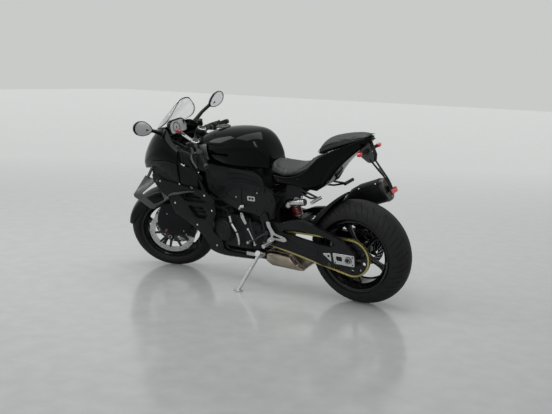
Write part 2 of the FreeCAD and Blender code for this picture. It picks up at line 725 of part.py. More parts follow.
def make_frame():
    """Twin-spar frame: head tube, spars, rear plates and cross tubes."""
    half = size("frame_half")
    wall = size("frame_wall")
    low = size("low_yoke_start") + size("low_yoke_thick") + 3
    high = size("top_yoke_start") - 3
    back = -size("fork_offset")
    head_x = HEAD.x
    spars = new_body("frame_spars")
    outline = [
        (head_x - 30, 800), (head_x - 85, 885), (head_x - 120, 852), (960, 826), (640, 812),
        (560, 720), (500, 690), (480, 630), (520, 520), (600, 520), (660, 540), (760, 545),
        (880, 592), (990, 662), (head_x - 100, 740), (head_x - 60, 750),
    ]
    pad(spars, draw(spars, "XZ_Plane", 0, [outline], "spar_side"), half * 2 + 40,
        name="spar_slab")
    inner = half - wall
    front = head_x - 52
    outside = [(front + 60, 400), (front + 60, 46), (front, 60), (1000, half), (400, half),
               (400, 400)]
    between = [(front + 20, 26), (1000, inner), (400, inner), (400, -inner), (1000, -inner),
               (front + 20, -26)]
    mirrored = [(x, -y) for x, y in outside]
    cut_through(spars, draw(spars, "XY_Plane", 0, [outside, mirrored, between], "spar_plan"),
                name="spar_widths")
    head = rod("head_tube", fork_point(back, 0, low), fork_point(back, 0, high),
               "sizes.head_radius")
    gusset = block("head_block", (back - 92, -58, low + 12), (back - 10, 58, high - 12), FORK)
    stem_bore = rod("head_bore", fork_point(back, 0, low - 5), fork_point(back, 0, high + 5),
                    size("stem_radius") + size("axle_gap"))
    parts = [spars, head, gusset]
    pivot = (size("pivot_ahead"), size("pivot_height"))
    for side, sign in LEFT_AND_RIGHT:
        edge = sorted((sign * 72, sign * size("engine_chain_side")))
        parts.append(block("rear_plate_" + side, (pivot[0] - 45, edge[0], pivot[1] - 54),
                           (pivot[0] + 65, edge[1], 606)))
        edge = sorted((sign * (inner - 10), sign * (inner + 4)))
        parts.append(block("tank_pad_" + side, (685, edge[0], 800), (695, edge[1], 821.4)))
    for number, (ahead, height, radius) in enumerate(((575, 590, 22), (505, 660, 18))):
        parts.append(rod(f"cross_tube_{number}", Vector(ahead, -inner - 2, height),
                         Vector(ahead, inner + 2, height), radius))
    pivot_bore = rod("pivot_bore", Vector(pivot[0], -200, pivot[1]),
                     Vector(pivot[0], 200, pivot[1]), size("pivot_radius") + size("axle_gap"))
    keep(cut_from("main_frame", joined("frame_weldment", parts), [stem_bore, pivot_bore]),
         "main_frame", "chassis")


def make_engine():
    half = size("engine_half")
    outline = [(636, 330), (700, 262), (930, 262), (1005, 330), (1000, 470), (1040, 600),
               (900, 680), (850, 560), (700, 516), (636, 470)]
    body = plate_body("engine", outline, half)
    near = size("engine_chain_side")
    edge = size("front_sprocket_ahead") + size("front_sprocket_pitch") + 16
    side = [(500, near), (edge, near), (edge, 400), (500, 400)]
    other = [(500, -near), (500, -400), (660, -400), (660, -near)]
    cut_through(body, draw(body, "XY_Plane", 0, [side, other], "chain_side"), name="chain_room")
    keep(body, "engine", "chassis")
    covers = []
    for name, sign in (("alternator", 1), ("clutch", -1)):
        ahead = size(name + "_ahead")
        height = size(name + "_height")
        face = sign * (half + size("seat_gap"))
        end = sign * (half + size(name + "_depth"))
        step = (face + end) / 2
        covers.append(joined(name + "_cover", [
            rod(name + "_base", Vector(ahead, face, height), Vector(ahead, step, height),
                f"sizes.{name}_radius"),
            taper(name + "_dome", Vector(ahead, step, height), Vector(ahead, end, height),
                  f"sizes.{name}_radius - 6", f"sizes.{name}_radius - 24"),
        ]))
    keep(joined("engine_covers", covers), "engine_covers", "chassis")


def make_radiator():
    """Core in front of the engine, on two posts square to the engine's front face."""
    rear = HEAD.x - 92
    parts = [block("radiator_core", (rear, -165, 545), (rear + 40, 165, 740))]
    face = Vector(1036.9, 0, 590)
    out = Vector(0.956, 0, -0.294).normalize()
    for side, sign in LEFT_AND_RIGHT:
        foot = face + Y_AXIS * (sign * 60)
        reach = (rear + 8 - face.x) / out.x
        parts.append(rod("radiator_post_" + side, foot + out * size("seat_gap"),
                         foot + out * reach, 9))
    keep(joined("radiator", parts), "radiator", "chassis")


def make_exhaust():
    """Four headers into a box under the engine, and the link pipe to the silencer."""
    pipes = []
    for number, left in enumerate((-105, -35, 35, 105)):
        points = [Vector(1009.5, left, 499.9), Vector(1076, left, 479.4),
                  Vector(1064, left * 0.9, 330), Vector(938, left * 0.62, 224),
                  Vector(650.3, left * 0.62, 222)]
        pipes.append(pipe(f"header_{number}", points, size("header_radius"), 70))
    keep(joined("exhaust_headers", pipes), "exhaust_headers", "chassis")
    outline = [(650, 258), (650, 192), (600, 165), (372, 158), (360, 180), (400, 196),
               (462, 262), (596, 268)]
    box = plate_body("exhaust_box", outline, 92)
    keep(box, "exhaust_box", "chassis")
    start = silencer_point(0)
    points = [Vector(440, -92.3, 215), Vector(440, -200, 215), Vector(300, -204, 330),
              start - SILENCER_WAY * 95, start]
    keep(pipe("link_pipe", points, size("link_pipe_radius"), 60), "link_pipe", "chassis")


SILENCER_START = Vector(185, -206, 566)
SILENCER_WAY = Vector(-262, -4, 100).normalize()


def silencer_point(distance):
    return SILENCER_START + SILENCER_WAY * distance


def make_silencer():
    """Tapered oval can; its local X runs back along its axis."""
    body = new_body("silencer")
    wide = size("silencer_half_width")
    tall = size("silencer_half_height")
    length = size("silencer_length")
    sections = []
    # distance along the can, share of the full section
    for number, (place, share) in enumerate(((size("seat_gap"), 0.5), (70, 0.98),
                                             (length - 20, 1.0),
                                             (length, 0.9))):
        across = wide * share
        up = tall * share
        outline = [(-across, -up * 0.6), (0, -up * 1.15, across, -up * 0.6),
                   (across, up * 0.6), (0, up * 1.15, -across, up * 0.6)]
        sections.append(draw(body, "YZ_Plane", place, [outline], f"can_{number}"))
    blend(body, sections, ruled=True, name="can")
    turn = Rotation(X_AXIS, SILENCER_WAY)
    body.Placement = Placement(SILENCER_START, turn)
    keep(body, "silencer", "chassis")


def make_swingarm():
    """Two beams joined by the pivot tube and a brace in front of the tyre."""
    pivot = (size("pivot_ahead"), size("pivot_height"))
    axle = REAR_AXLE.z
    outline = [(pivot[0] + 35, pivot[1] - 34), (pivot[0] + 35, pivot[1] + 46),
               (pivot[0] - 5, pivot[1] + 112), (470, 492), (314, 532), (135, 474),
               (60, axle + 70), (-46, axle + 40), (-46, axle - 42), (175, axle - 62),
               (235, axle - 42), (pivot[0] - 25, pivot[1] - 40)]
    inner = size("arm_inner")
    thick = size("arm_thick")
    beams = plate_body("beams", outline, inner + thick)
    gap = [(-200, inner), (800, inner), (800, -inner), (-200, -inner)]
    cut_through(beams, draw(beams, "XY_Plane", 0, [gap], "beam_gap"), name="beam_room")
    between = inner - size("seat_gap")
    tube = rod("pivot_tube", Vector(pivot[0], -between, pivot[1]),
               Vector(pivot[0], between, pivot[1]), "sizes.pivot_radius")
    brace = block("arm_brace", (392, -between, 457), (440, between, 490))
    reach = inner + thick
    axle_hole = rod("axle_slot", Vector(0, -reach - 9, axle), Vector(0, reach + 9, axle),
                    size("rear_axle_radius") + size("axle_gap"))
    holes = [axle_hole]
    for side, sign in LEFT_AND_RIGHT:
        mouth = bobbin_point(sign)
        depth = Y_AXIS * sign * size("bobbin_hole_depth")
        holes.append(rod("bobbin_hole_" + side, mouth, mouth - depth,
                         "sizes.bobbin_hole_radius"))
    keep(cut_from("swingarm", beams, holes), "swingarm", "chassis")
    keep(joined("swingarm_bridge", [tube, brace]), "swingarm_bridge", "chassis")


def bobbin_point(sign):
    """Mouth of a stand bobbin thread, on the outside of a swingarm beam."""
    reach = size("arm_inner") + size("arm_thick")
    return Vector(size("bobbin_ahead"), sign * reach, size("bobbin_height"))


def make_axle_blocks():
    """Chain adjuster plates outside the ends of the swingarm, open round the axle nut."""
    inner = size("arm_inner") + size("arm_thick") + size("seat_gap")
    outer = inner + size("block_thick")
    axle = REAR_AXLE.z
    slab = [(-42, axle - 36), (94, axle - 32), (104, axle + 34), (-42, axle + 34)]
    wedge = [(112, axle - 26), (174, axle + 22), (118, axle + 30)]
    plates = []
    for side, sign in LEFT_AND_RIGHT:
        low, high = sorted((sign * inner, sign * outer))
        plate = new_body("axle_slab_" + side)
        pad_between(plate, slab, low, high, "slab_" + side)
        tip = new_body("axle_wedge_" + side)
        pad_between(tip, wedge, low, high, "wedge_" + side)
        plates.append(tip)
        plates.append(cut_from("axle_plate_" + side, plate, [
            rod("nut_room_" + side, Vector(0, sign * (inner - 5), axle),
                Vector(0, sign * (outer + 5), axle), "sizes.rear_axle_radius + 9")]))
    keep(joined("axle_blocks", plates), "axle_blocks", "chassis")


def make_rear_caliper():
    """Caliper astride the rear disc, held against the right swingarm beam."""
    axle = REAR_AXLE.z
    disc_face = -size("rear_hub_right")
    shell = block("rear_caliper_shell", (50, -size("arm_inner") + size("seat_gap"), axle + 53),
                  (112, disc_face + 10, axle + 98))
    slot = rod("rear_caliper_slot", Vector(0, disc_face + 2.5, axle),
               Vector(0, disc_face - size("rear_disc_thick") - 2.5, axle),
               "sizes.rear_disc_radius + 3")
    keep(cut_from("rear_caliper_set", shell, [slot]), "rear_caliper", "chassis")


def make_rear_axle():
    """Axle with its spacers, and the nuts outside the swingarm."""
    axle = REAR_AXLE.z
    reach = size("arm_inner") + size("arm_thick")
    gap = size("seat_gap")
    shaft = rod("rear_axle_bar", Vector(0, -reach - 14, axle), Vector(0, reach + 14, axle),
                "sizes.rear_axle_radius")
    left_end = size("chain_line") + size("sprocket_thick") / 2 + 1
    right_end = size("rear_hub_right") + size("rear_disc_thick") + 1
    spacers = [
        rod("spacer_left", Vector(0, left_end, axle), Vector(0, size("arm_inner") - gap, axle),
            "sizes.rear_axle_radius + 7"),
        rod("spacer_right", Vector(0, -right_end, axle),
            Vector(0, gap - size("arm_inner"), axle), "sizes.rear_axle_radius + 7"),
        rod("nut_left", Vector(0, reach + gap, axle), Vector(0, reach + 12, axle),
            "sizes.rear_axle_radius + 8"),
        rod("nut_right", Vector(0, -reach - gap, axle), Vector(0, -reach - 12, axle),
            "sizes.rear_axle_radius + 8"),
    ]
    hole = rod("rear_axle_hole", Vector(0, -reach - 20, axle), Vector(0, reach + 20, axle),
               "sizes.rear_axle_bore")
    keep(cut_from("rear_axle", joined("axle_set", [shaft] + spacers), [hole]),
         "rear_axle", "chassis")


def tangent_loop(near, near_radius, far, far_radius):
    """Closed outline of a belt round two circles; near is behind, far is ahead."""
    span = math.hypot(far[0] - near[0], far[1] - near[1])
    line = math.atan2(far[1] - near[1], far[0] - near[0])
    open_angle = math.acos((near_radius - far_radius) / span)

    def on(circle, radius, angle):
        return (circle[0] + radius * math.cos(angle), circle[1] + radius * math.sin(angle))

    top = line + open_angle
    bottom = line - open_angle
    return [on(near, near_radius, bottom), on(far, far_radius, bottom),
            on(far, far_radius, line) + on(far, far_radius, top),
            on(near, near_radius, top)], on(near, near_radius, line + math.pi)


def make_chain():
    """Chain as two straight runs and two arcs, each free of the next by the seat gap."""
    rear = (0, REAR_AXLE.z)
    front = (size("front_sprocket_ahead"), size("front_sprocket_height"))
    body = new_body("chain_loop")
    half = size("chain_half_height")
    loops = []
    for edge in (half, -half):
        points, back = tangent_loop(rear, size("rear_sprocket_pitch") + edge, front,
                                    size("front_sprocket_pitch") + edge)
        loops.append([back + points[0]] + points[1:])
    sketch = draw(body, "XZ_Plane", -size("chain_line"), loops, "chain_path")
    pad(body, sketch, "sizes.chain_width", name="chain_ring")
    slits = []
    wide = size("chain_width")
    deep = size("chain_half_height") * 2
    for outer, inner in zip(*loops):
        end = Vector(outer[-2], 0, outer[-1])
        across = end - Vector(inner[-2], 0, inner[-1])
        frame = Placement(end + Y_AXIS * size("chain_line"), Rotation(Z_AXIS, across))
        slits.append(block("chain_slit", (-size("seat_gap") / 2, -wide, -deep * 1.5),
                           (size("seat_gap") / 2, wide, deep / 2), frame))
    keep(cut_from("chain", body, slits), "chain", "chassis")
    sprocket = rod("front_sprocket",
                   Vector(front[0], size("engine_chain_side") + size("seat_gap"), front[1]),
                   Vector(front[0], size("chain_line") + 4, front[1]),
                   size("front_sprocket_pitch") - half - size("seat_gap"))
    keep(sprocket, "front_sprocket", "chassis")


def make_hugger():
    """Guard close over the front of the rear tyre, held by the swingarm beams."""
    body = new_body("rear_hugger")
    inner = size("rear_tyre_radius") + 11
    half = 103
    outline = [(inner - 40, half), (inner - 40, half - 4), (inner - 4, half - 4),
               (inner + 2, 0, inner - 4, 4 - half), (inner - 40, 4 - half),
               (inner - 40, -half), (inner - 2, -half), (inner + 6, 0, inner - 2, half)]
    spin(body, draw(body, "XY_Plane", 0, [outline], "hugger_section"), 52, "hugger")
    ear = [(inner - 34, 58), (inner - 14, 58), (inner - 14, 96), (inner - 34, 96)]
    reach = size("arm_inner") - size("seat_gap")
    for side, sign in LEFT_AND_RIGHT:
        sketch = draw(body, "XZ_Plane", -sign * (half - 2 + reach) / 2, [ear], "tab_" + side)
        pad(body, sketch, reach - half + 2, name="tab_pad_" + side)
    body.Placement = Placement(REAR_AXLE, Rotation(Y_AXIS, -22))
    keep(body, "rear_hugger", "chassis")


def make_shock():
    low = Vector(424, 0, 492)
    high = Vector(456, 0, 622)
    way = (high - low).normalize()
    spring = rod("spring_coil", low + way * 22, low + way * 104, 31)
    core = rod("spring_room", low, high, 15)
    keep(cut_from("shock_coil", spring, [core]), "shock_spring", "chassis")
    damper = joined("damper", [
        rod("damper_rod", low + way * 2, high, 14),
        rod("spring_foot", low + way * 8, low + way * 21.7, 30),
        rod("spring_cap", low + way * 104.3, low + way * 122, 30),
        rod("damper_eye", Vector(high.x, -16, high.z), Vector(high.x, 16, high.z), 15),
        rod("damper_neck", Vector(452, 0, 607), Vector(446, 44, 606), 7),
        rod("damper_bottle", Vector(446, 36, 598), Vector(446, 94, 598), 19),
    ])
    keep(damper, "shock_absorber", "chassis")


def make_subframe():
    """Two rails from the frame's rear plates up to the tail, with a tie between them."""
    gap = size("seat_gap")
    front = size("pivot_ahead") - 45 - gap
    top = TAIL_REST - gap
    outline = [(front, 556), (front, 602), (444, 690), (429, top), (342, top), (300, 712),
               (300, 684), (440, 640)]
    body = plate_body("subframe", outline, 104)
    between = [(200, 84), (600, 84), (600, -84), (200, -84)]
    cut_through(body, draw(body, "XY_Plane", 0, [between], "rail_gap"), name="rail_room")
    tie = block("subframe_tie", (310, -86, 694), (334, 86, 712))
    keep(joined("subframe_set", [body, tie]), "subframe", "chassis")


# ---------------------------------------------------------------- tank, seats and tail

def domed_body(name, rows, ruled=False):
    """A solid of domed sections across the machine, smooth unless it is ruled.

    Columns of rows: distance ahead, half width at the bottom, height of the bottom,
    half width at the shoulder, height of the shoulder, height of the crown.
    """
    body = new_body(name)
    sections = []
    for number, (ahead, low_half, low, top_half, shoulder, crown) in enumerate(rows):
        outline = [(-low_half, low), (low_half, low), (top_half, shoulder),
                   (0, crown, -top_half, shoulder)]
        sections.append(draw(body, "YZ_Plane", ahead, [outline], f"{name}_{number}"))
    blend(body, sections, ruled=ruled, name=name + "_skin")
    return body


def flat_body(name, rows, ruled=True):
    """A solid of four-cornered sections; columns as in domed_body without the crown."""
    body = new_body(name)
    sections = []
    for number, (ahead, low_half, low, top_half, top) in enumerate(rows):
        outline = [(-low_half, low), (low_half, low), (top_half, top), (-top_half, top)]
        sections.append(draw(body, "YZ_Plane", ahead, [outline], f"{name}_{number}"))
    blend(body, sections, ruled=ruled, name=name + "_skin")
    return body


TANK_ROWS = [
    (1068, 96, 884, 104, 925, 975),
    (1000, 136, 858, 146, 890, 1030),
    (900, 156, 838, 168, 905, 1050),
    (800, 160, 828, 172, 932, 1055),
    (690, 142, 821.7, 146, 944, 1044),
    (605, 112, 820, 104, 915, 1000),
    (560, 96, 820, 84, 868, 905),
]

RIDER_SEAT_ROWS = [
    (556, 92, 800, 80, 850, 884),
    (500, 122, 795, 112, 832, 852),
    (430, 148, 790, 140, 818, 833),
    (340, 150, 806, 140, 832, 846),
    (270, 136, 850, 122, 876, 894),
    (224, 118, 900, 104, 926, 942),
]

PILLION_SEAT_ROWS = [
    (219, 96, 922, 84, 950, 978),
    (180, 96, 944, 84, 985, 1020),
    (100, 92, 975, 80, 1012, 1042),
    (0, 84, 1010, 72, 1036, 1058),
    (-60, 72, 1030, 62, 1048, 1063),
    (-98, 56, 1042, 48, 1052, 1060),
]

TAIL_REST = 740

# columns: distance ahead, half width below, height below, half width above; the top of
# each section lies under the seat that it carries
TAIL_ROWS = [
    (556, 110, 705, 118),
    (500, 118, 722, 130),
    (430, 128, TAIL_REST, 140),
    (340, 130, TAIL_REST, 142),
    (270, 118, 722, 132),
    (224, 104, 712, 116),
    (219, 103, 713, 115),
    (180, 97, 740, 111),
    (100, 80, 852, 100),
    (0, 57, 940, 76),
    (-60, 46, 986, 60),
    (-98, 40, 1024, 50),
]


def seat_line(ahead):
    """Underside of the seats at a distance ahead of the rear axle."""
    rows = [(row[0], row[2]) for row in RIDER_SEAT_ROWS + PILLION_SEAT_ROWS]
    return next(height for place, height in rows if place == ahead)


def make_tank_and_seats():
    keep(domed_body("fuel_tank", TANK_ROWS), "fuel_tank", "chassis")
    keep(domed_body("rider_seat", RIDER_SEAT_ROWS, True), "rider_seat", "chassis")
    keep(domed_body("pillion_seat", PILLION_SEAT_ROWS, True), "pillion_seat", "chassis")
    rows = [(*row, seat_line(row[0]) - size("seat_gap")) for row in TAIL_ROWS]
    keep(flat_body("tail_fairing", rows), "tail_fairing", "chassis")


def side_pair(name, outline, inner, outer, group="chassis"):
    """The same plate on both sides of the machine, in one node."""
    body = plate_body(name, outline, outer)
    gap = [(-600, inner), (2000, inner), (2000, -inner), (-600, -inner)]
    cut_through(body, draw(body, "XY_Plane", 0, [gap], name + "_gap"), name=name + "_room")
    return keep(body, name, group)


def make_frame_covers():
    outline = [(1000, 815), (900, 812), (640, 806), (556, 716), (545, 684), (612, 682),
               (760, 700), (903, 660), (990, 700)]
    inner = size("frame_half") + size("seat_gap")
    side_pair("frame_covers", outline, inner, inner + 7)


# ---------------------------------------------------------------- fairings

# columns: distance ahead, then (half width, height) of the lower edge, the widest line,
# the shoulder and the crown
NOSE_ROWS = [
    (1190, (213, 700), (221, 800), (214, 895), (180, 912)),
    (1250, (212, 730), (220, 830), (212, 925), (172, 946)),
    (1320, (205, 768), (216, 850), (203, 972), (138, 1062)),
    (1400, (188, 782), (198, 860), (180, 965), (112, 1026)),
    (1476, (160, 768), (170, 850), (140, 930), (66, 1002)),
    (1560, (112, 738), (120, 790), (100, 850), (40, 900)),
    (1640, (30, 735), (34, 765), (28, 790), (14, 800)),
]


def nose_section(row, wall, drop):
    corners = [(half - wall, height - drop if number == 0 else height - wall * min(number, 2) / 2)
               for number, (half, height) in enumerate(row[1:])]
    return corners + [(-half, height) for half, height in reversed(corners)]


def make_nose():
    """Upper fairing: a shell open below, behind and at the cockpit."""
    body = new_body("nose_fairing")
    wall = size("panel_wall")
    outer = [draw(body, "YZ_Plane", row[0], [nose_section(row, 0, 0)], f"nose_{row[0]}")
             for row in NOSE_ROWS]
    blend(body, outer, ruled=True, name="nose_skin")
    inner = []
    for row in NOSE_ROWS:
        ahead = row[0] - 2 if row is NOSE_ROWS[0] else row[0]
        ahead = row[0] - 12 if row is NOSE_ROWS[-1] else ahead
        inner.append(draw(body, "YZ_Plane", ahead, [nose_section(row, wall, 60)],
                          f"hollow_{row[0]}"))
    blend(body, inner, "PartDesign::SubtractiveLoft", True, "nose_hollow")
    cockpit = [(1100, 181)]
    cockpit += [(row[0], row[4][0] - 1) for row in NOSE_ROWS[:5]]
    cockpit += [(x, -y) for x, y in cockpit[::-1]]
    feature = body.newObject("PartDesign::Pocket", "cockpit")
    feature.Profile = draw(body, "XY_Plane", 900, [cockpit], "cockpit_plan")
    feature.Type = "ThroughAll"
    feature.Reversed = True
    keep(body, "nose_fairing", "chassis")


def make_screen():
    """Windscreen: a thin dome standing on the edge of the cockpit."""
    body = new_body("windscreen")
    wall = size("screen_wall")
    sections = []
    # distance ahead, half width, height of the edge, height of the crown
    rows = [(1474, 62, 1006, 1020), (1400, 110, 1030, 1092), (1320, 136, 1066, 1160),
            (1262, 118, 1140, 1216)]
    for number, (ahead, half, edge, crown) in enumerate(rows):
        outline = [(0, crown - wall, half - wall, edge), (half, edge),
                   (0, crown, -half, edge), (wall - half, edge)]
        sections.append(draw(body, "YZ_Plane", ahead, [outline], f"screen_{number}"))
    blend(body, sections, name="screen")
    keep(body, "windscreen", "chassis")


SIDE_OUTLINE = [
    (1440, 715), (1424, 740), (1314, 704), (1211, 692), (1092, 672), (986, 668), (901, 612),
    (916, 588), (918, 515),
    (953, 469), (976, 387), (928, 326), (940, 238.3), (1050, 238.3), (1056, 288), (1070, 335),
    (1126, 391), (1173, 434), (1257, 482), (1303, 541), (1322, 590), (1412, 694),
]
VENT = [(1262, 600), (1197, 628), (1110, 652), (1020, 640), (985, 560), (1060, 540),
        (1120, 560), (1195, 596)]
WINDOW = [(1140, 540), (1040, 528), (990, 505), (1016, 464), (1092, 465)]


def make_side_fairings():
    """Lower fairing sides, tucked in towards the belly."""
    body = new_body("side_fairings")
    half = size("fairing_half")
    wall = size("panel_wall")
    skin = [(half, 745), (half, 560), (half - 44, 360), (136, 238.3)]
    band = skin + [(x - wall, y) for x, y in skin[::-1]]
    mirrored = [(-x, y) for x, y in band]
    sketch = draw(body, "YZ_Plane", 1100, [band, mirrored], "side_band")
    pad(body, sketch, 460, name="side_skin")
    frame = [(700, 100), (1500, 100), (1500, 900), (700, 900)]
    cut_through(body, draw(body, "XZ_Plane", 0, [frame, SIDE_OUTLINE], "side_edges"),
                name="side_trim")
    cut_through(body, draw(body, "XZ_Plane", 0, [VENT, WINDOW], "side_vents"), name="side_open")
    keep(body, "side_fairings", "chassis")


def make_belly():
    body = new_body("belly_pan")
    wall = size("panel_wall")
    skin = [(-136, 238), (-108, 190), (108, 190), (136, 238)]
    inner = [(136 - wall, 238), (106, 190 + wall), (-106, 190 + wall), (wall - 136, 238)]
    sketch = draw(body, "YZ_Plane", 890, [skin + inner], "belly_band")
    pad(body, sketch, 380, name="belly_skin")
    keep(body, "belly_pan", "chassis")


def make_winglets():
    outline = [(1475, 722), (1552, 592), (1392, 522), (1310, 582), (1400, 700)]
    hole = [(1466, 690), (1524, 598), (1396, 544), (1346, 584), (1428, 682)]
    inner = size("fairing_half") + size("seat_gap")
    body = plate_body("winglets", outline, inner + 28)
    cut_through(body, draw(body, "XZ_Plane", 0, [hole], "loop_hole"), name="loop_room")
    gap = [(1200, inner), (1700, inner), (1700, -inner), (1200, -inner)]
    cut_through(body, draw(body, "XY_Plane", 0, [gap], "loop_gap"), name="loop_side")
    keep(body, "winglets", "chassis")


def mirror_outline(inset=0, share=1):
    """Edge of a mirror head seen from behind, flat at its two ends."""
    across = (size("mirror_half_width") - inset) * share
    up = (size("mirror_half_height") - inset) * share
    return [(-across, -up * 0.4), (0, -up, across, -up * 0.4), (across, up * 0.4),
            (0, up, -across, up * 0.4)]


def make_mirrors():
    """Two heads on stalks whose feet stand on the nose, and the glass behind each head."""
    heads = []
    glasses = []
    depth = size("mirror_depth")
    for side, sign in LEFT_AND_RIGHT:
        centre = Vector(size("mirror_ahead"), sign * size("mirror_reach"),
                        size(f"mirror_{side}_height"))
        shell = new_body("mirror_shell_" + side)
        # distance ahead of the head's back face, share of the full outline
        sections = [draw(shell, "YZ_Plane", ahead, [mirror_outline(0, share)],
                         f"head_{side}_{number}")
                    for number, (ahead, share) in enumerate(((0, 1), (depth * 0.5, 0.93),
                                                             (depth, 0.55)))]
        blend(shell, sections, ruled=True, name="head_" + side)
        shell.Placement = Placement(centre, Rotation())
        foot = Vector(1340, sign * 168, 1007.1)
        out = Vector(0.329, sign * 0.741, 0.588).normalize()
        boss = rod("mirror_boss_" + side, foot + out * 0.9, foot + out * 14, 15)
        stalk = rod("mirror_stalk_" + side, foot + out * 8,
                    centre + Vector(14, -sign * 50, -12), 9)
        heads.append(joined("mirror_set_" + side, [shell, stalk, boss]))
        glass = new_body("mirror_glass_" + side)
        thick = size("mirror_glass_thick")
        sketch = draw(glass, "YZ_Plane", -size("seat_gap") - thick / 2, [mirror_outline(6)],
                      "glass_" + side)
        pad(glass, sketch, "sizes.mirror_glass_thick", name="pane_" + side)
        glass.Placement = Placement(centre, Rotation())
        glasses.append(glass)
    keep(joined("mirrors", heads), "mirrors", "chassis")
    keep(joined("mirror_glasses", glasses), "mirror_glasses", "chassis")


def make_dash():
    """Instrument panel on the stay that carries the nose from the head tube."""
    tilt = Placement(Vector(1345, 0, 1018), Rotation(Y_AXIS, 12))
    keep(block("dash", (-14, -92, -55), (14, 92, 55), tilt), "dash", "chassis")
    gap = size("seat_gap")
    head = fork_point(size("head_radius") - size("fork_offset"), 0, 600)
    rest = tilt.multVec(Vector(14 + gap, 0, -36))
    knee = tilt.multVec(Vector(72, 0, -36))
    bend = Vector(1426.6, 0, 923.5)
    parts = [
        rod("stay_root", head + STEER_AHEAD * gap, head + STEER_AHEAD * 30, 13),
        rod("stay_arm", head + STEER_AHEAD * 20, bend, 13),
        rod("stay_post", bend, knee, 10),
        rod("stay_reach", knee, rest, 10),
        rod("stay_bar", bend - Y_AXIS * 162.6, bend + Y_AXIS * 162.6, 8),
    ]
    keep(joined("front_stay", parts), "front_stay", "chassis")


# ---------------------------------------------------------------- stands and footrests

def make_footrests():
    inner = size("hanger_half")
    outer = inner + size("hanger_thick")
    ahead = size("peg_ahead")
    height = size("peg_height")
    pieces = []
    for side, sign in LEFT_AND_RIGHT:
        plate = new_body("hanger_" + side)
        outline = [(ahead - 22, height - 18), (ahead + 26, height - 18), (ahead + 70, 520),
                   (ahead + 66, 560), (ahead + 20, 560), (ahead - 2, 480)]
        sketch = draw(plate, "XZ_Plane", -sign * (inner + outer) / 2, [outline], "hang_" + side)
        pad(plate, sketch, "sizes.hanger_thick", name="hang_pad_" + side)
        peg = rod("peg_" + side, Vector(ahead, sign * (outer - 2), height),
                  Vector(ahead, sign * (outer + size("peg_length")), height),
                  "sizes.peg_radius")
        post = rod("hanger_post_" + side,
                   Vector(ahead + 44, sign * (size("frame_half") + size("seat_gap")), 538),
                   Vector(ahead + 44, sign * (inner + 2), 538), 10)
        pieces.append(joined("footrest_" + side, [plate, peg, post]))
    keep(joined("rider_footrests", pieces), "rider_footrests", "chassis")
    rear = []
    ahead = size("rear_peg_ahead")
    height = size("rear_peg_height")
    for side, sign in LEFT_AND_RIGHT:
        arm = rod("rear_arm_" + side, Vector(320, sign * 114, 700),
                  Vector(ahead, sign * 166, height), 9)
        peg = rod("rear_peg_" + side, Vector(ahead, sign * 150, height),
                  Vector(ahead, sign * (166 + size("peg_length")), height),
                  "sizes.peg_radius")
        root = rod("rear_root_" + side, Vector(320, sign * (104 + size("seat_gap")), 700),
                   Vector(320, sign * 116, 700), 11)
        rear.append(joined("rear_footrest_" + side, [arm, peg, root]))
    keep(joined("passenger_footrests", rear), "passenger_footrests", "chassis")


def make_foot_controls():
    """Heel guards, the gear lever on the left and the brake pedal on the right."""
    inner = size("hanger_half") + size("hanger_thick") + size("seat_gap")
    outline = [(558, 500), (512, 485), (476, 432), (414, 399), (404, 411), (466, 448),
               (500, 501), (556, 517)]
    sets = []
    for side, sign in LEFT_AND_RIGHT:
        guard = new_body("heel_guard_" + side)
        low, high = sorted((sign * inner, sign * (inner + 4)))
        pad_between(guard, outline, low, high, "guard_" + side)
        sets.append(guard)
        pivot = Vector(size("peg_ahead") + 26, 0, size("peg_height") + 55)
        toe = Vector(size("peg_ahead") + 160, 0, size("peg_height") - 18)
        out = Y_AXIS * sign
        sets.append(joined("foot_lever_" + side, [
            rod("lever_boss_" + side, pivot + out * inner, pivot + out * (inner + 14), 10),
            rod("lever_arm_" + side, pivot + out * (inner + 8), toe + out * (inner + 9), 5),
            rod("lever_toe_" + side, toe + out * inner, toe + out * (inner + 46), 8)]))
    keep(joined("foot_controls", sets), "foot_controls", "chassis")


def stand_base():
    return Vector(size("stand_ahead"), size("stand_left"), size("stand_height"))


def stand_foot():
    """Middle of the foot plate's underside, on the ground when the machine is parked."""
    ahead = size("stand_foot_ahead")
    left = size("stand_foot_left")
    down = PARKED.Rotation.inverted().multVec(Z_AXIS)
    level = PARKED.inverse().multVec(Vector(0, 0, 0))
    height = level.z - (down.x * (ahead - level.x) + down.y * (left - level.y)) / down.z
    return Vector(ahead, left, height), down


def make_side_stand():
    base = stand_base()
    foot, up = stand_foot()
    way = (foot - base).normalize()
    thick = size("stand_foot_thick")
    plate = rod("stand_plate", foot, foot + up * thick, "sizes.stand_foot_radius")
    leg = rod("stand_leg", base + way * 10, foot + up * (thick / 2), "sizes.stand_radius")
    knuckle = rod("stand_knuckle", base - stand_axis() * 11, base + stand_axis() * 11, 20)
    bore = rod("stand_bore", base - stand_axis() * 30, base + stand_axis() * 30,
               8 + size("axle_gap"))
    trim = block("stand_trim", (-80, -80, -60), (80, 80, 0),
                 Placement(foot, Rotation(Z_AXIS, up)))
    keep(cut_from("side_stand", joined("stand_weldment", [plate, leg, knuckle]),
                  [bore, trim]), "side_stand", "side_stand")
    bracket = joined("stand_bracket_set", [
        rod("stand_pin", base - stand_axis() * 11, base + stand_axis() * 22, 8),
        rod("stand_cheek", base + stand_axis() * 11.3, base + stand_axis() * 22, 20),
        rod("stand_cheek_low", base - stand_axis() * 19, base - stand_axis() * 11.3, 20),
        rod("stand_pin_low", base - stand_axis() * 19, base, 8),
        block("stand_arm", (size("stand_ahead") - 10, 92.6, 238),
              (size("stand_ahead") + 110, size("stand_left") - 16, 262 - size("seat_gap"))),
    ])
    keep(bracket, "stand_bracket", "chassis")


STAND_FOLDED = Vector(-1, 0.06, 0)


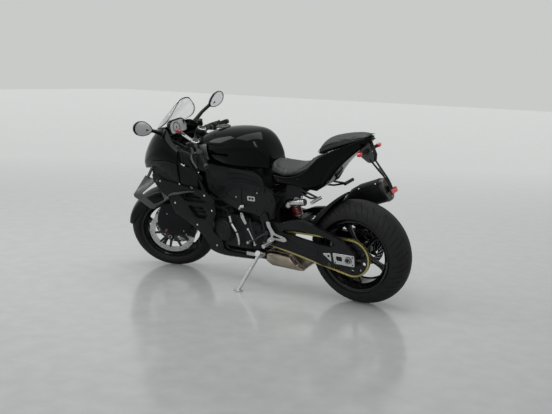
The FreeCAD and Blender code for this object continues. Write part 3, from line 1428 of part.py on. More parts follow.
def stand_down():
    return stand_foot()[0] - stand_base()


def stand_axis():
    """The stand turns from pointing at the ground to lying back along the machine."""
    return stand_down().cross(STAND_FOLDED).normalize()


# the end of the carrier, its X axis square to the reflector and its Z axis up the plate
CARRIER_END = Placement(Vector(-228, 0, 738), Rotation(Y_AXIS, 20))


def make_plate_carrier():
    """Bracket under the tail, and the bare stem that ends in a small plate."""
    bracket = plate_body("carrier_bracket", [
        (-12, 947), (-56, 981.5), (-92, 1016), (-122, 940), (-116, 896), (-84, 896)],
        size("carrier_half"))
    stem = plate_body("carrier_stem", [
        (-90, 910), (-114, 910), (-198, 812), (-224, 752), (-229, 728), (-218, 736),
        (-186, 800), (-92, 890)], size("carrier_stem_half"))
    half = size("reflector_half") + size("panel_wall")
    tall = size("reflector_tall") + size("panel_wall")
    end = block("carrier_plate", (-size("panel_wall"), -half, -tall), (0, half, tall),
                CARRIER_END)
    keep(joined("plate_carrier", [bracket, stem, end]), "plate_carrier", "chassis")


def make_tail_lamps():
    """Direction lamps on stems beside the carrier, and the reflector on its end plate."""
    half = size("carrier_half") + size("seat_gap")
    lamps = []
    for side, sign in LEFT_AND_RIGHT:
        stem = Vector(-83, 0, 968)
        out = Y_AXIS * sign
        lamps.append(joined("rear_indicator_" + side, [
            rod("indicator_stem_" + side, stem + out * half, stem + out * 102, 6),
            taper("indicator_lens_" + side, stem + out * 98, stem + out * 144, 14, 9)]))
    keep(joined("rear_indicators", lamps), "rear_indicators", "chassis")
    near = -size("panel_wall") - size("seat_gap")
    wide = size("reflector_half")
    tall = size("reflector_tall")
    keep(block("reflector", (near - 6, -wide, -tall), (near, wide, tall), CARRIER_END),
         "plate_reflector", "chassis")


# ---------------------------------------------------------------- build

for make in (make_front_wheel, make_rear_wheel, make_fork, make_yokes, make_handlebars,
             make_mudguard, make_front_calipers, make_frame, make_engine, make_radiator,
             make_exhaust, make_silencer, make_swingarm, make_rear_axle, make_chain,
             make_hugger, make_shock, make_subframe, make_tank_and_seats, make_frame_covers,
             make_nose, make_screen, make_side_fairings, make_belly, make_winglets,
             make_mirrors, make_dash, make_footrests, make_side_stand, make_plate_carrier,
             make_brake_hoses, make_axle_blocks, make_rear_caliper, make_foot_controls,
             make_tail_lamps):
    make()
doc.recompute()

for piece, label, group in NODES:
    steered = group in ("front_end", "front_wheel")
    stance = STEERED if steered else PARKED
    piece.Placement = stance.multiply(piece.Placement)
doc.recompute()

broken = [item.Name for item in doc.Objects if {"Invalid", "Error"} & set(item.State)]
if broken:
    raise RuntimeError("failed objects: " + ", ".join(broken))
os.makedirs("parts", exist_ok=True)
for piece, label, group in NODES:
    shape = piece.Shape
    if shape.isNull() or not shape.isValid() or not shape.Solids:
        raise RuntimeError("bad shape: " + label)
    shape.exportStep(f"parts/{label}.step")

whole = Part.makeCompound([piece.Shape for piece, label, group in NODES])
box = whole.optimalBoundingBox(False)
print("nodes", len(NODES))
print("box", [round(v, 1) for v in (box.XMin, box.XMax, box.YMin, box.YMax, box.ZMin, box.ZMax)])
stand_travel = math.degrees(stand_down().getAngle(STAND_FOLDED))
for name, stance, point, way in (
        ("steering", PARKED, STEER_FOOT, STEER_UP),
        ("front_axle", STEERED, FRONT_AXLE, Y_AXIS),
        ("rear_axle", PARKED, REAR_AXLE, Y_AXIS),
        ("side_stand", PARKED, stand_base(), stand_axis()),
        ("bobbin_left", PARKED, bobbin_point(1), Y_AXIS),
        ("bobbin_right", PARKED, bobbin_point(-1), -Y_AXIS)):
    place = stance.multVec(point)
    turn = stance.Rotation.multVec(way)
    print(name, *[round(v, 4) for v in (*place, *turn)])
print("stand_travel", round(stand_travel, 3))
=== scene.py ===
"""Sport motorcycle parked on its side stand: finishes, panels, seats, tyres and small trim."""
import json
import math

import bpy
import bmesh
from mathutils import Matrix, Vector
from mathutils.geometry import delaunay_2d_cdt


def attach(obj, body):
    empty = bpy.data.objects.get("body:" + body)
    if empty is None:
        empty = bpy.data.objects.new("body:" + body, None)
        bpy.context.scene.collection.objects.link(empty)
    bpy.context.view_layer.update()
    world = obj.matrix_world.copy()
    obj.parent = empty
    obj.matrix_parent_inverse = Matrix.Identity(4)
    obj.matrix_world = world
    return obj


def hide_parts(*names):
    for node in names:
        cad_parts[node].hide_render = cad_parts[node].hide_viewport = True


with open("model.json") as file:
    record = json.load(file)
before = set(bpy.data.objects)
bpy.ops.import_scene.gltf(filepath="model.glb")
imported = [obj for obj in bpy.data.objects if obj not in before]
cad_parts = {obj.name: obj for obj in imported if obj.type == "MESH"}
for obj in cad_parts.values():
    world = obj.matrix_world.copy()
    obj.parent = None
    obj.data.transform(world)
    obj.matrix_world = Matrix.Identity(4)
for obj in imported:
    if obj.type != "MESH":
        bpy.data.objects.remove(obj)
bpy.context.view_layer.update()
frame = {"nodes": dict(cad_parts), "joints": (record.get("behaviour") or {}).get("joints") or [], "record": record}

NODES = frame["nodes"]
JOINTS = {joint["name"]: (Vector(joint["pos_m"]), Vector(joint["axis"]))
          for joint in frame["joints"]}
BOTH_SIDES = (("left", 1), ("right", -1))

# ---------------------------------------------------------------- stances of the machine
# Pieces are drawn upright, in metres: X ahead of the rear axle, Y left, Z up.

RAKE = math.radians(23.6)
REAR_AXLE = Vector((0, 0, 0.327))
FRONT_AXLE = Vector((1.457, 0, 0.300))


def stance(axle_joint, axle):
    """Matrix from the upright machine to the row's frame, for the end that has this axle."""
    place, left = JOINTS[axle_joint]
    steer = JOINTS["steering"][1]
    ahead = left.cross(steer)
    x = ahead * math.cos(RAKE) - steer * math.sin(RAKE)
    z = ahead * math.sin(RAKE) + steer * math.cos(RAKE)
    turn = Matrix((x, left, z)).transposed()
    return Matrix.Translation(place - turn @ axle) @ turn.to_4x4()


PARKED = stance("rear_wheel_spin", REAR_AXLE)
STEERED = stance("front_wheel_spin", FRONT_AXLE)
STANCES = {"chassis": PARKED, "rear_wheel": PARKED, "side_stand": PARKED,
           "front_end": STEERED, "front_wheel": STEERED}


# ---------------------------------------------------------------- materials

def put(node, **values):
    """Set a node's inputs; an underscore stands for a space in an input's name."""
    for name, value in values.items():
        node.inputs[name.replace("_", " ")].default_value = value


def material(name, colour, rough, metallic=0.0, coat=0.0, grain=900, bump=0.05, patch=0.25,
             wear=0.0, shine=0.5):
    """Base colour with soft patches, a fine grain bump and roughness that drifts with it."""
    mat = bpy.data.materials.new(name)
    mat.use_nodes = True
    nodes, links = mat.node_tree.nodes, mat.node_tree.links
    shader = nodes["Principled BSDF"]
    put(shader, Metallic=metallic, Coat_Weight=coat, Coat_Roughness=0.04,
        Specular_IOR_Level=shine)
    where = nodes.new("ShaderNodeTexCoord").outputs["Object"]
    clouds = nodes.new("ShaderNodeTexNoise")
    put(clouds, Scale=9, Detail=6)
    links.new(where, clouds.inputs["Vector"])
    ramp = nodes.new("ShaderNodeValToRGB")
    low = [channel * (1 - patch) for channel in colour]
    high = [min(1, channel * (1 + patch) + wear) for channel in colour]
    for stop, end, position in zip(ramp.color_ramp.elements, (low, high), (0.35, 0.7)):
        stop.color = (*end, 1)
        stop.position = position
    links.new(clouds.outputs["Fac"], ramp.inputs["Fac"])
    links.new(ramp.outputs["Color"], shader.inputs["Base Color"])
    spread = nodes.new("ShaderNodeMapRange")
    put(spread, To_Min=rough * 0.8, To_Max=min(1, rough * 1.25))
    links.new(clouds.outputs["Fac"], spread.inputs["Value"])
    links.new(spread.outputs["Result"], shader.inputs["Roughness"])
    fine = nodes.new("ShaderNodeTexNoise")
    put(fine, Scale=grain, Detail=3)
    links.new(where, fine.inputs["Vector"])
    relief = nodes.new("ShaderNodeBump")
    put(relief, Strength=bump, Distance=0.001)
    links.new(fine.outputs["Fac"], relief.inputs["Height"])
    links.new(relief.outputs["Normal"], shader.inputs["Normal"])
    return mat


def clear_material(name, colour, rough=0.02):
    """Clear or tinted plastic, faintly dusty."""
    mat = material(name, colour, rough, grain=300, bump=0.01, patch=0.05)
    put(mat.node_tree.nodes["Principled BSDF"], Transmission_Weight=1.0, IOR=1.3)
    return mat


def leather(name, colour):
    """Vinyl seat cover: a pebbled grain of small cells."""
    mat = material(name, colour, 0.55, grain=1400, bump=0.15, patch=0.12)
    nodes, links = mat.node_tree.nodes, mat.node_tree.links
    cells = nodes.new("ShaderNodeTexVoronoi")
    put(cells, Scale=420)
    where = nodes.new("ShaderNodeTexCoord").outputs["Object"]
    links.new(where, cells.inputs["Vector"])
    relief = nodes.new("ShaderNodeBump")
    put(relief, Strength=0.35, Distance=0.0006)
    links.new(cells.outputs["Distance"], relief.inputs["Height"])
    links.new(nodes["Bump"].outputs["Normal"], relief.inputs["Normal"])
    links.new(relief.outputs["Normal"], nodes["Principled BSDF"].inputs["Normal"])
    return mat


MATERIALS = {
    "gloss_black": material("gloss_paint", (0.0018, 0.0019, 0.0021), 0.07, coat=0.1, grain=60,
                            bump=0.006, patch=0.3, shine=0.07),
    "satin_black": material("satin_panel", (0.0066, 0.0069, 0.0080), 0.34, grain=500,
                            bump=0.03, shine=0.17),
    "wing_grey": material("satin_grey_metal", (0.085, 0.088, 0.086), 0.36, metallic=0.45,
                          grain=700, bump=0.04, patch=0.15, shine=0.3),
    "plastic_black": material("moulded_plastic", (0.0075, 0.0076, 0.008), 0.48, grain=1500,
                              bump=0.18, shine=0.22),
    "frame_black": material("coated_alloy", (0.008, 0.008, 0.0095), 0.4, grain=600, bump=0.08,
                            shine=0.25),
    "caliper_black": material("anodised_black", (0.012, 0.012, 0.013), 0.35, metallic=0.3,
                              grain=700, bump=0.06, shine=0.3),
    "wheel_black": material("rim_paint", (0.0035, 0.0035, 0.004), 0.16, coat=0.3, grain=300,
                            bump=0.02, shine=0.25),
    "engine_grey": material("engine_casting", (0.012, 0.0125, 0.014), 0.48, metallic=0.25,
                            grain=900, bump=0.3, shine=0.3),
    "aluminium_silver": material("bare_alloy", (0.62, 0.62, 0.63), 0.28, metallic=1.0,
                                 grain=500, bump=0.05, patch=0.12),
    "steel_dark": material("dark_steel", (0.08, 0.077, 0.074), 0.36, metallic=0.9, grain=400,
                           bump=0.06),
    "disc_steel": material("machined_disc", (0.58, 0.58, 0.58), 0.26, metallic=1.0, grain=260,
                           bump=0.08, patch=0.1),
    "disc_black": material("dark_disc", (0.035, 0.035, 0.037), 0.33, metallic=0.9, grain=260,
                           bump=0.08),
    "chain_gold": material("gold_plating", (0.5, 0.43, 0.17), 0.34, metallic=0.9, grain=500,
                           bump=0.1, patch=0.3),
    "exhaust_bronze": material("tinted_steel", (0.4, 0.34, 0.28), 0.3, metallic=1.0,
                               grain=300, bump=0.06, patch=0.35),
    "tyre": material("tyre_rubber", (0.0085, 0.0085, 0.0088), 0.6, grain=1100, bump=0.25,
                     patch=0.2, wear=0.003, shine=0.25),
    "rubber_black": material("soft_rubber", (0.007, 0.007, 0.0072), 0.7, grain=1600,
                             bump=0.4, shine=0.2),
    "seat_vinyl": leather("seat_vinyl", (0.02, 0.0205, 0.0215)),
    "lens_red": material("red_lens", (0.75, 0.012, 0.02), 0.15, coat=1.0, grain=120,
                         bump=0.2, patch=0.15),
    "spring_red": material("spring_paint", (0.3, 0.008, 0.01), 0.3, coat=0.5, grain=300,
                           bump=0.03),
    "mirror_glass": material("mirror_silvering", (0.80, 0.82, 0.83), 0.14, metallic=0.5,
                             grain=30, bump=0.0, patch=0.02),
    "dial_grey": material("dial_face", (0.42, 0.44, 0.43), 0.12, coat=0.4, grain=200, bump=0.01,
                          patch=0.04),
    "levers_grey": material("anodised_grey", (0.05, 0.05, 0.053), 0.34, metallic=0.7,
                            grain=500, bump=0.05),
    "screen_clear": clear_material("clear_screen", (0.93, 0.94, 0.94)),
}


for row in frame["record"]["subparts"]:
    mesh = NODES[row["node"]].data
    mesh.materials.clear()
    mesh.materials.append(MATERIALS[row["material_slot"]])


# ---------------------------------------------------------------- mesh tools

def piece(name, verts, faces, body, slot, finish=None, replaces=(), angle=35, soft=0.0):
    """A mesh piece from points of the upright machine, riding on a body."""
    mesh = bpy.data.meshes.new(name)
    mesh.from_pydata([tuple(v) for v in verts], [], faces)
    mesh.transform(STANCES[body])
    mesh.validate()
    shape = bmesh.new()
    shape.from_mesh(mesh)
    bmesh.ops.recalc_face_normals(shape, faces=shape.faces)
    shape.to_mesh(mesh)
    shape.free()
    for polygon in mesh.polygons:
        polygon.use_smooth = True
    mesh.set_sharp_from_angle(angle=math.radians(angle))
    item = bpy.data.objects.new(name, mesh)
    bpy.context.scene.collection.objects.link(item)
    mesh.materials.append(MATERIALS[finish or slot])
    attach(item, body)
    if replaces:
        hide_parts(*replaces)
    if soft:
        soft_edges(item, soft, 45)
    return item


def modify(item, kind, **settings):
    """Add a modifier and set its values."""
    modifier = item.modifiers.new(kind.lower(), kind)
    for key, value in settings.items():
        setattr(modifier, key, value)
    return modifier


def soft_edges(item, width, limit=50):
    """Bevel the edges that turn by more than this many degrees."""
    modify(item, "BEVEL", width=width, segments=2, limit_method="ANGLE",
           angle_limit=math.radians(limit))


def curve_points(points, per_span=6):
    """Catmull-Rom points through tuples of any length."""
    ends = [points[0]] + list(points) + [points[-1]]
    out = []
    for a, b, c, d in zip(ends, ends[1:], ends[2:], ends[3:]):
        for step in range(per_span):
            t = step / per_span
            out.append(tuple(
                0.5 * (2 * q + (r - p) * t + (2 * p - 5 * q + 4 * r - s) * t * t
                       + (3 * q - p - 3 * r + s) * t ** 3)
                for p, q, r, s in zip(a, b, c, d)))
    return out + [tuple(points[-1])]


def skin(rows, closed=False, caps=False):
    """Faces between rows of equal length; the rows may be rings, and the ends capped."""
    count = len(rows[0])
    verts = [point for row in rows for point in row]
    span = count if closed else count - 1
    faces = [(r * count + c, r * count + (c + 1) % count,
              (r + 1) * count + (c + 1) % count, (r + 1) * count + c)
             for r in range(len(rows) - 1) for c in range(span)]
    if caps:
        faces.append(tuple(range(count))[::-1])
        faces.append(tuple((len(rows) - 1) * count + c for c in range(count)))
    return verts, faces


def mirrored(row):
    """A section's left half followed by its right half."""
    return list(row) + [(x, -y, z) for x, y, z in reversed(row) if abs(y) > 1e-6]


def tube_rows(points, radius, sides=12):
    """Rings round a path; the radius may be a number or a function of the share of the way."""
    points = [Vector(p) for p in points]
    rows = []
    side = None
    for index, point in enumerate(points):
        before = points[max(index - 1, 0)]
        after = points[min(index + 1, len(points) - 1)]
        way = (after - before).normalized()
        if side is None:
            side = way.orthogonal().normalized()
        side = (side - way * side.dot(way)).normalized()
        other = way.cross(side)
        share = index / (len(points) - 1)
        reach = radius(share) if callable(radius) else radius
        rows.append([tuple(point + (side * math.cos(a) + other * math.sin(a)) * reach)
                     for a in turns(sides)])
    return rows


def turns(steps):
    """Angles of equal steps round a full turn."""
    return [2 * math.pi * k / steps for k in range(steps)]


def ribs(start, pitch, count, profile):
    """Points (radius, distance) of ribs that follow each other along a turned section."""
    return [(radius, start + k * pitch + shift)
            for k in range(count) for radius, shift in profile]


def tube(points, radius, sides=12):
    """A capped tube along straight lines."""
    return skin(tube_rows(points, radius, sides), closed=True, caps=True)


def hose(points, radius, sides=12, per_span=6):
    """A capped tube along a smooth curve."""
    return tube(curve_points(points, per_span), radius, sides)


def group(name, parts, *rest, **settings):
    """One piece from several lists of points and faces."""
    return piece(name, *join_parts(parts), *rest, **settings)


def join_parts(parts):
    """One list of points and faces from several."""
    verts, faces = [], []
    for part_verts, part_faces in parts:
        base = len(verts)
        verts += part_verts
        faces += [tuple(base + index for index in face) for face in part_faces]
    return verts, faces


def flip_sides(verts, faces):
    """The left piece and its mirror image on the right."""
    return join_parts([(verts, faces),
                       ([(x, -y, z) for x, y, z in verts], [face[::-1] for face in faces])])


def creased(item, rows, lines, strength=0.8):
    """Crease the edges that run along a skin at these places in its rows."""
    count = len(rows[0])
    wanted = set(lines) | {count - 1 - line for line in lines}
    crease = item.data.attributes.new("crease_edge", "FLOAT", "EDGE")
    for edge in item.data.edges:
        a, b = edge.vertices
        if a % count == b % count and a % count in wanted:
            crease.data[edge.index].value = strength


def shell(name, rows, body, slot, lines=(), replaces=(), level=2, wall=0.003, caps=False,
          closed=False, finish=None):
    """A smooth body panel from sections across the machine, creased along some lines."""
    verts, faces = skin(rows, closed=closed, caps=caps)
    item = piece(name, verts, faces, body, slot, finish, replaces, angle=180)
    creased(item, rows, lines)
    modify(item, "SUBSURF", levels=level, render_levels=level)
    if wall:
        modify(item, "SOLIDIFY", thickness=wall, offset=-1)
    return item


# ---------------------------------------------------------------- tank, seats and tail

# columns: ahead, then half width and height of the lower edge, half width and height of
# the crease along the side, height of the crown
TANK = [
    (1.143, 0.060, 0.925, 0.066, 0.938, 0.957), (1.100, 0.082, 0.890, 0.096, 0.915, 0.985),
    (1.050, 0.108, 0.872, 0.124, 0.898, 1.008), (0.975, 0.138, 0.855, 0.152, 0.889, 1.034),
    (0.880, 0.154, 0.845, 0.166, 0.907, 1.049), (0.800, 0.160, 0.835, 0.172, 0.932, 1.055),
    (0.710, 0.152, 0.830, 0.162, 0.949, 1.052), (0.650, 0.136, 0.826, 0.140, 0.946, 1.040),
    (0.600, 0.118, 0.824, 0.114, 0.929, 1.000), (0.565, 0.100, 0.822, 0.092, 0.890, 0.945),
    (0.548, 0.088, 0.822, 0.080, 0.868, 0.888),
]


FILLER = Vector((0.955, 0, 1.041))


def make_tank():
    """Tank skin, its filler cap and the bolts round the cap."""
    rows = []
    for ahead, low_half, low, half, crease, crown in TANK:
        rise = crown - crease
        rows.append(mirrored([
            (ahead, low_half * 0.6, low), (ahead, low_half, low),
            (ahead, (low_half + half) / 2 + 0.003, (low + crease) / 2),
            (ahead, half, crease), (ahead, half * 0.95, crease + rise * 0.42),
            (ahead, half * 0.72, crease + rise * 0.8), (ahead, half * 0.34, crown - 0.003),
            (ahead, 0, crown)]))
    shell("tank_skin", rows, "chassis", "gloss_black", lines=(1, 3), replaces=["fuel_tank"],
          caps=True, closed=True, wall=None)
    rings = [(0.046, 0.000), (0.046, 0.005), (0.042, 0.008), (0.034, 0.008), (0.031, 0.005),
             (0.020, 0.005), (0.018, 0.009), (0.0001, 0.009)]
    rows = [[tuple(FILLER + Vector((radius * math.cos(a), radius * math.sin(a), height)))
             for a in turns(48)] for radius, height in rings]
    piece("filler_cap", *skin(rows, closed=True), "chassis", "levers_grey")
    bolts = []
    for k in range(6):
        a = math.pi * k / 3
        at = FILLER + Vector((0.038 * math.cos(a), 0.038 * math.sin(a), 0.0075))
        bolts.append(tube([at, at + Vector((0, 0, 0.0022))], 0.0032, 12))
    group("filler_bolts", bolts, "chassis", "aluminium_silver")


# columns: ahead, half width and height of the base, half width and height of the shoulder,
# height of the crown
RIDER_SEAT = [
    (0.562, 0.088, 0.803, 0.076, 0.850, 0.880), (0.530, 0.104, 0.800, 0.094, 0.838, 0.862),
    (0.490, 0.122, 0.797, 0.114, 0.829, 0.846), (0.430, 0.144, 0.793, 0.136, 0.820, 0.832),
    (0.370, 0.148, 0.802, 0.140, 0.826, 0.836), (0.310, 0.142, 0.828, 0.132, 0.850, 0.860),
    (0.262, 0.130, 0.858, 0.118, 0.880, 0.894), (0.226, 0.116, 0.900, 0.104, 0.922, 0.938),
]
PILLION_SEAT = [
    (0.218, 0.088, 0.926, 0.070, 0.944, 0.956), (0.200, 0.092, 0.938, 0.080, 0.968, 0.990),
    (0.160, 0.092, 0.956, 0.082, 0.994, 1.024), (0.100, 0.090, 0.978, 0.080, 1.012, 1.040),
    (0.040, 0.086, 0.999, 0.075, 1.027, 1.052), (-0.020, 0.080, 1.018, 0.068, 1.040, 1.059),
    (-0.070, 0.068, 1.034, 0.056, 1.049, 1.061), (-0.100, 0.052, 1.043, 0.042, 1.052, 1.058),
]


CLOTH_FRAMES = 20


def stuff(item, swell):
    """Swell a closed cover with cloth under pressure, no further than this from its start."""
    modify(item, "REMESH", mode="VOXEL", voxel_size=0.005)
    bake(item)
    start = [vertex.co.copy() for vertex in item.data.vertices]
    cloth = modify(item, "CLOTH")
    cloth.settings.use_pressure = True
    cloth.settings.uniform_pressure_force = 4
    cloth.settings.effector_weights.gravity = 0
    cloth.point_cache.frame_start = 1
    cloth.point_cache.frame_end = CLOTH_FRAMES
    for number in range(1, CLOTH_FRAMES + 1):
        bpy.context.scene.frame_set(number)
    bake(item)
    for vertex, origin in zip(item.data.vertices, start):
        move = vertex.co - origin
        if move.length > swell:
            vertex.co = origin + move.normalized() * swell
    bpy.context.scene.frame_set(1)


def bake(item):
    """Put the result of the modifiers into the mesh."""
    evaluated = item.evaluated_get(bpy.context.evaluated_depsgraph_get())
    mesh = bpy.data.meshes.new_from_object(evaluated)
    old = item.data
    item.modifiers.clear()
    item.data = mesh
    bpy.data.meshes.remove(old)
    for polygon in mesh.polygons:
        polygon.use_smooth = True


def make_cushion(name, node, table):
    """A stuffed seat cover with a seam along each side."""
    rows = []
    for ahead, base_half, base, half, shoulder, crown in table:
        rise = crown - shoulder
        rows.append(mirrored([
            (ahead, base_half * 0.5, base), (ahead, base_half, base),
            (ahead, (base_half + half) / 2 + 0.002, (base + shoulder) / 2),
            (ahead, half, shoulder), (ahead, half * 0.7, shoulder + rise * 0.7),
            (ahead, half * 0.3, crown - 0.001), (ahead, 0, crown)]))
    verts, faces = skin(rows, closed=True, caps=True)
    item = piece(name, verts, faces, "chassis", "seat_vinyl", None, [node], angle=180)
    modify(item, "SUBSURF", levels=2, render_levels=2)
    bake(item)
    stuff(item, 0.007)
    modify(item, "SUBSURF", levels=1, render_levels=1)
    left = [(row[0], row[3] * 1.02, row[4] + 0.001) for row in table]
    right = [(x, -y, z) for x, y, z in left]
    seams = [hose(line, 0.0016, 8) for line in (left, right)]
    group(name + "_seams", seams, "chassis", "rubber_black")


# columns: ahead, half width and height of the lower edge, half width of the middle line,
# half width of the upper edge; the upper edge lies under the seats
TAIL = [
    (0.556, 0.108, 0.722, 0.114, 0.112, 0.799), (0.500, 0.116, 0.728, 0.126, 0.126, 0.794),
    (0.430, 0.126, 0.741, 0.137, 0.138, 0.789), (0.340, 0.128, 0.741, 0.140, 0.142, 0.804),
    (0.270, 0.118, 0.722, 0.130, 0.130, 0.848), (0.222, 0.104, 0.714, 0.120, 0.116, 0.910),
    (0.180, 0.097, 0.742, 0.114, 0.108, 0.942), (0.100, 0.080, 0.854, 0.098, 0.099, 0.974),
    (0.000, 0.058, 0.941, 0.076, 0.082, 1.012), (-0.060, 0.047, 0.986, 0.060, 0.066, 1.038),
    (-0.112, 0.030, 1.028, 0.040, 0.042, 1.050),
]


def make_tail():
    """Tail fairing from its table of sections."""
    rows = []
    for ahead, low_half, low, middle_half, top_half, top in TAIL:
        rows.append(mirrored([
            (ahead, low_half, low), (ahead, middle_half + 0.002, low + (top - low) * 0.35),
            (ahead, middle_half + 0.004, low + (top - low) * 0.7), (ahead, top_half, top),
            (ahead, top_half * 0.6, top - 0.004), (ahead, 0, top - 0.004)]))
    shell("tail_skin", rows, "chassis", "gloss_black", lines=(0, 2, 3),
          replaces=["tail_fairing"], caps=True, closed=True, wall=None)


def make_under_tray():
    """Closes the tail from below, between its lower edges."""
    rows = [[(ahead, half * share, low + 0.004 + 0.006 * (1 - share * share))
             for share in (-1, -0.7, -0.35, 0, 0.35, 0.7, 1)]
            for ahead, half, low, *_ in TAIL[2:]]
    sheet("under_tray", [skin(rows)], "plastic_black", both=False, wall=0.002)


# ---------------------------------------------------------------- nose and screen

# columns: ahead, then (half width, height) of the lower edge, the widest line, the upper
# side, the shoulder and the crown
NOSE = [
    (1.190, (0.213, 0.700), (0.221, 0.800), (0.218, 0.860), (0.206, 0.900), (0.180, 0.912)),
    (1.250, (0.212, 0.730), (0.220, 0.830), (0.216, 0.890), (0.202, 0.934), (0.172, 0.948)),
    (1.320, (0.205, 0.768), (0.216, 0.850), (0.210, 0.930), (0.188, 0.994), (0.138, 1.060)),
    (1.400, (0.190, 0.780), (0.200, 0.860), (0.188, 0.940), (0.158, 0.990), (0.112, 1.027)),
    (1.476, (0.163, 0.768), (0.172, 0.845), (0.155, 0.912), (0.116, 0.962), (0.066, 1.000)),
    (1.560, (0.118, 0.742), (0.126, 0.790), (0.112, 0.842), (0.080, 0.878), (0.040, 0.902)),
    (1.610, (0.066, 0.736), (0.070, 0.768), (0.060, 0.804), (0.044, 0.826), (0.022, 0.838)),
    (1.640, (0.026, 0.742), (0.028, 0.765), (0.023, 0.784), (0.016, 0.794), (0.008, 0.800)),
]
COCKPIT_ROWS = 4


def make_nose():
    """Two sides joined over the top ahead of the cockpit, and closed at the tip."""
    half = len(NOSE[0]) - 1
    count = half * 2
    rows = []
    for ahead, *corners in NOSE:
        left = [(ahead, y, z) for y, z in corners]
        rows.append(left + [(x, -y, z) for x, y, z in reversed(left)])
    verts, faces = skin(rows)
    open_top = {(r * count + half - 1, r * count + half, (r + 1) * count + half,
                 (r + 1) * count + half - 1) for r in range(COCKPIT_ROWS)}
    faces = [face for face in faces if face not in open_top]
    last = (len(rows) - 1) * count
    faces += [(last + k, last + k + 1, last + count - 2 - k, last + count - 1 - k)
              for k in range(half - 1)]
    item = piece("nose_skin", verts, faces, "chassis", "gloss_black", None, ["nose_fairing"],
                 angle=180)
    creased(item, rows, (1, 3), 0.55)
    modify(item, "SUBSURF", levels=3, render_levels=3)
    modify(item, "SOLIDIFY", thickness=0.003, offset=-1)


# columns: ahead, half width, height of the edge, height of the crown
SCREEN = [(1.474, 0.062, 1.004, 1.020), (1.440, 0.088, 1.014, 1.058),
          (1.400, 0.110, 1.030, 1.094), (1.355, 0.128, 1.050, 1.132),
          (1.318, 0.136, 1.072, 1.162), (1.288, 0.130, 1.104, 1.190),
          (1.268, 0.108, 1.146, 1.208), (1.258, 0.060, 1.196, 1.216)]


def make_screen():
    """Clear bubble with a thin dark edge."""
    steps = 14
    rows = [[(ahead, half * math.cos(math.pi * k / steps),
              edge + (crown - edge) * math.sin(math.pi * k / steps))
             for k in range(steps + 1)] for ahead, half, edge, crown in SCREEN]
    verts, faces = skin(rows)
    item = piece("screen_skin", verts, faces, "chassis", "screen_clear", None,
                 ["windscreen"], angle=180)
    modify(item, "SUBSURF", levels=1, render_levels=1)
    modify(item, "SOLIDIFY", thickness=0.003, offset=-1)
    rim = [row[0] for row in rows[:-1]] + rows[-1] + [row[-1] for row in rows[-2::-1]]
    verts, faces = hose(rim, 0.0018, 8, 3)
    piece("screen_edge", verts, faces, "chassis", "plastic_black")


# ---------------------------------------------------------------- wheels, brakes and chain

def around(axle, radius, angle, left):
    """A point of a wheel, at an angle above the forward direction."""
    return (axle.x + radius * math.cos(angle), left, axle.z + radius * math.sin(angle))


def revolved(axle, section, steps=96):
    """Closed rows round an axle from (radius, left) points of a closed section."""
    rows = [[around(axle, radius, 2 * math.pi * k / steps, left) for radius, left in section]
            for k in range(steps)]
    return skin(rows + rows[:1], closed=True)


def turned(axle, section, steps=64):
    """Rows round an axle from an open section that starts and ends at a bore."""
    rows = [[around(axle, radius, 2 * math.pi * k / steps, left) for k in range(steps)]
            for radius, left in section]
    return skin(rows, closed=True)


def within(point, loop):
    """Whether a point lies inside a closed outline."""
    inside = False
    for a, b in zip(loop, loop[1:] + loop[:1]):
        if (a[1] > point[1]) != (b[1] > point[1]):
            if point[0] < a[0] + (point[1] - a[1]) / (b[1] - a[1]) * (b[0] - a[0]):
                inside = not inside
    return inside


def inside_of(outline, holes, extra=()):
    """Triangles that fill an outline in the plane, less its holes, by way of extra points."""
    points = []
    edges = []
    owner = []
    for number, loop in enumerate((outline, *holes)):
        base = len(points)
        points += [Vector(point) for point in loop]
        owner += [number] * len(loop)
        edges += [(base + k, base + (k + 1) % len(loop)) for k in range(len(loop))]
    points += [Vector(point) for point in extra]
    owner += [None] * len(extra)
    flat, _, faces, origins, _, _ = delaunay_2d_cdt(points, edges, [], 1, 1e-7)
    owners = [owner[origin[0]] if origin else None for origin in origins]
    kept = []
    for face in faces:
        number = owners[face[0]]
        if number and all(owners[index] == number for index in face):
            if within(sum((flat[index] for index in face), Vector((0, 0))) / 3,
                      holes[number - 1]):
                continue
        kept.append(tuple(face))
    return flat, kept


def plate(outline, holes, low, high, place):
    """A flat plate with holes; place(u, v, w) puts its points on the machine."""
    flat, faces = inside_of(outline, holes)
    count = len(flat)
    verts = [place(p.x, p.y, high) for p in flat] + [place(p.x, p.y, low) for p in flat]
    used = {(a, b) for face in faces for a, b in zip(face, face[1:] + face[:1])}
    rim = sorted((a, b) for a, b in used if (b, a) not in used)
    solid = faces + [tuple(count + k for k in face[::-1]) for face in faces]
    solid += [(b, a, count + a, count + b) for a, b in rim]
    return verts, solid


def side_plate(outline, holes, sign, near, far, place):
    """A plate on one side, between two distances from the middle plane."""
    low, high = sorted((sign * near, sign * far))
    return plate(outline, holes, low, high, place)


def on_side(u, v, w):
    """Ahead, up and out from the middle plane of the machine."""
    return (u, w, v)


def on_front(u, v, w):
    """Left, up and ahead on the machine."""
    return (w, u, v)


def circle(centre, radius, steps=12, turn=0.0):
    """Points of a circle in the plane."""
    return [(centre[0] + radius * math.cos(turn + 2 * math.pi * k / steps),
             centre[1] + radius * math.sin(turn + 2 * math.pi * k / steps))
            for k in range(steps)]


def corners(u, v, far_u, far_v):
    """The corners of a rectangle."""
    return [(u, v), (far_u, v), (far_u, far_v), (u, far_v)]


def polar(radius, angle):
    """A point of the plane at a radius and an angle."""
    return (radius * math.cos(angle), radius * math.sin(angle))


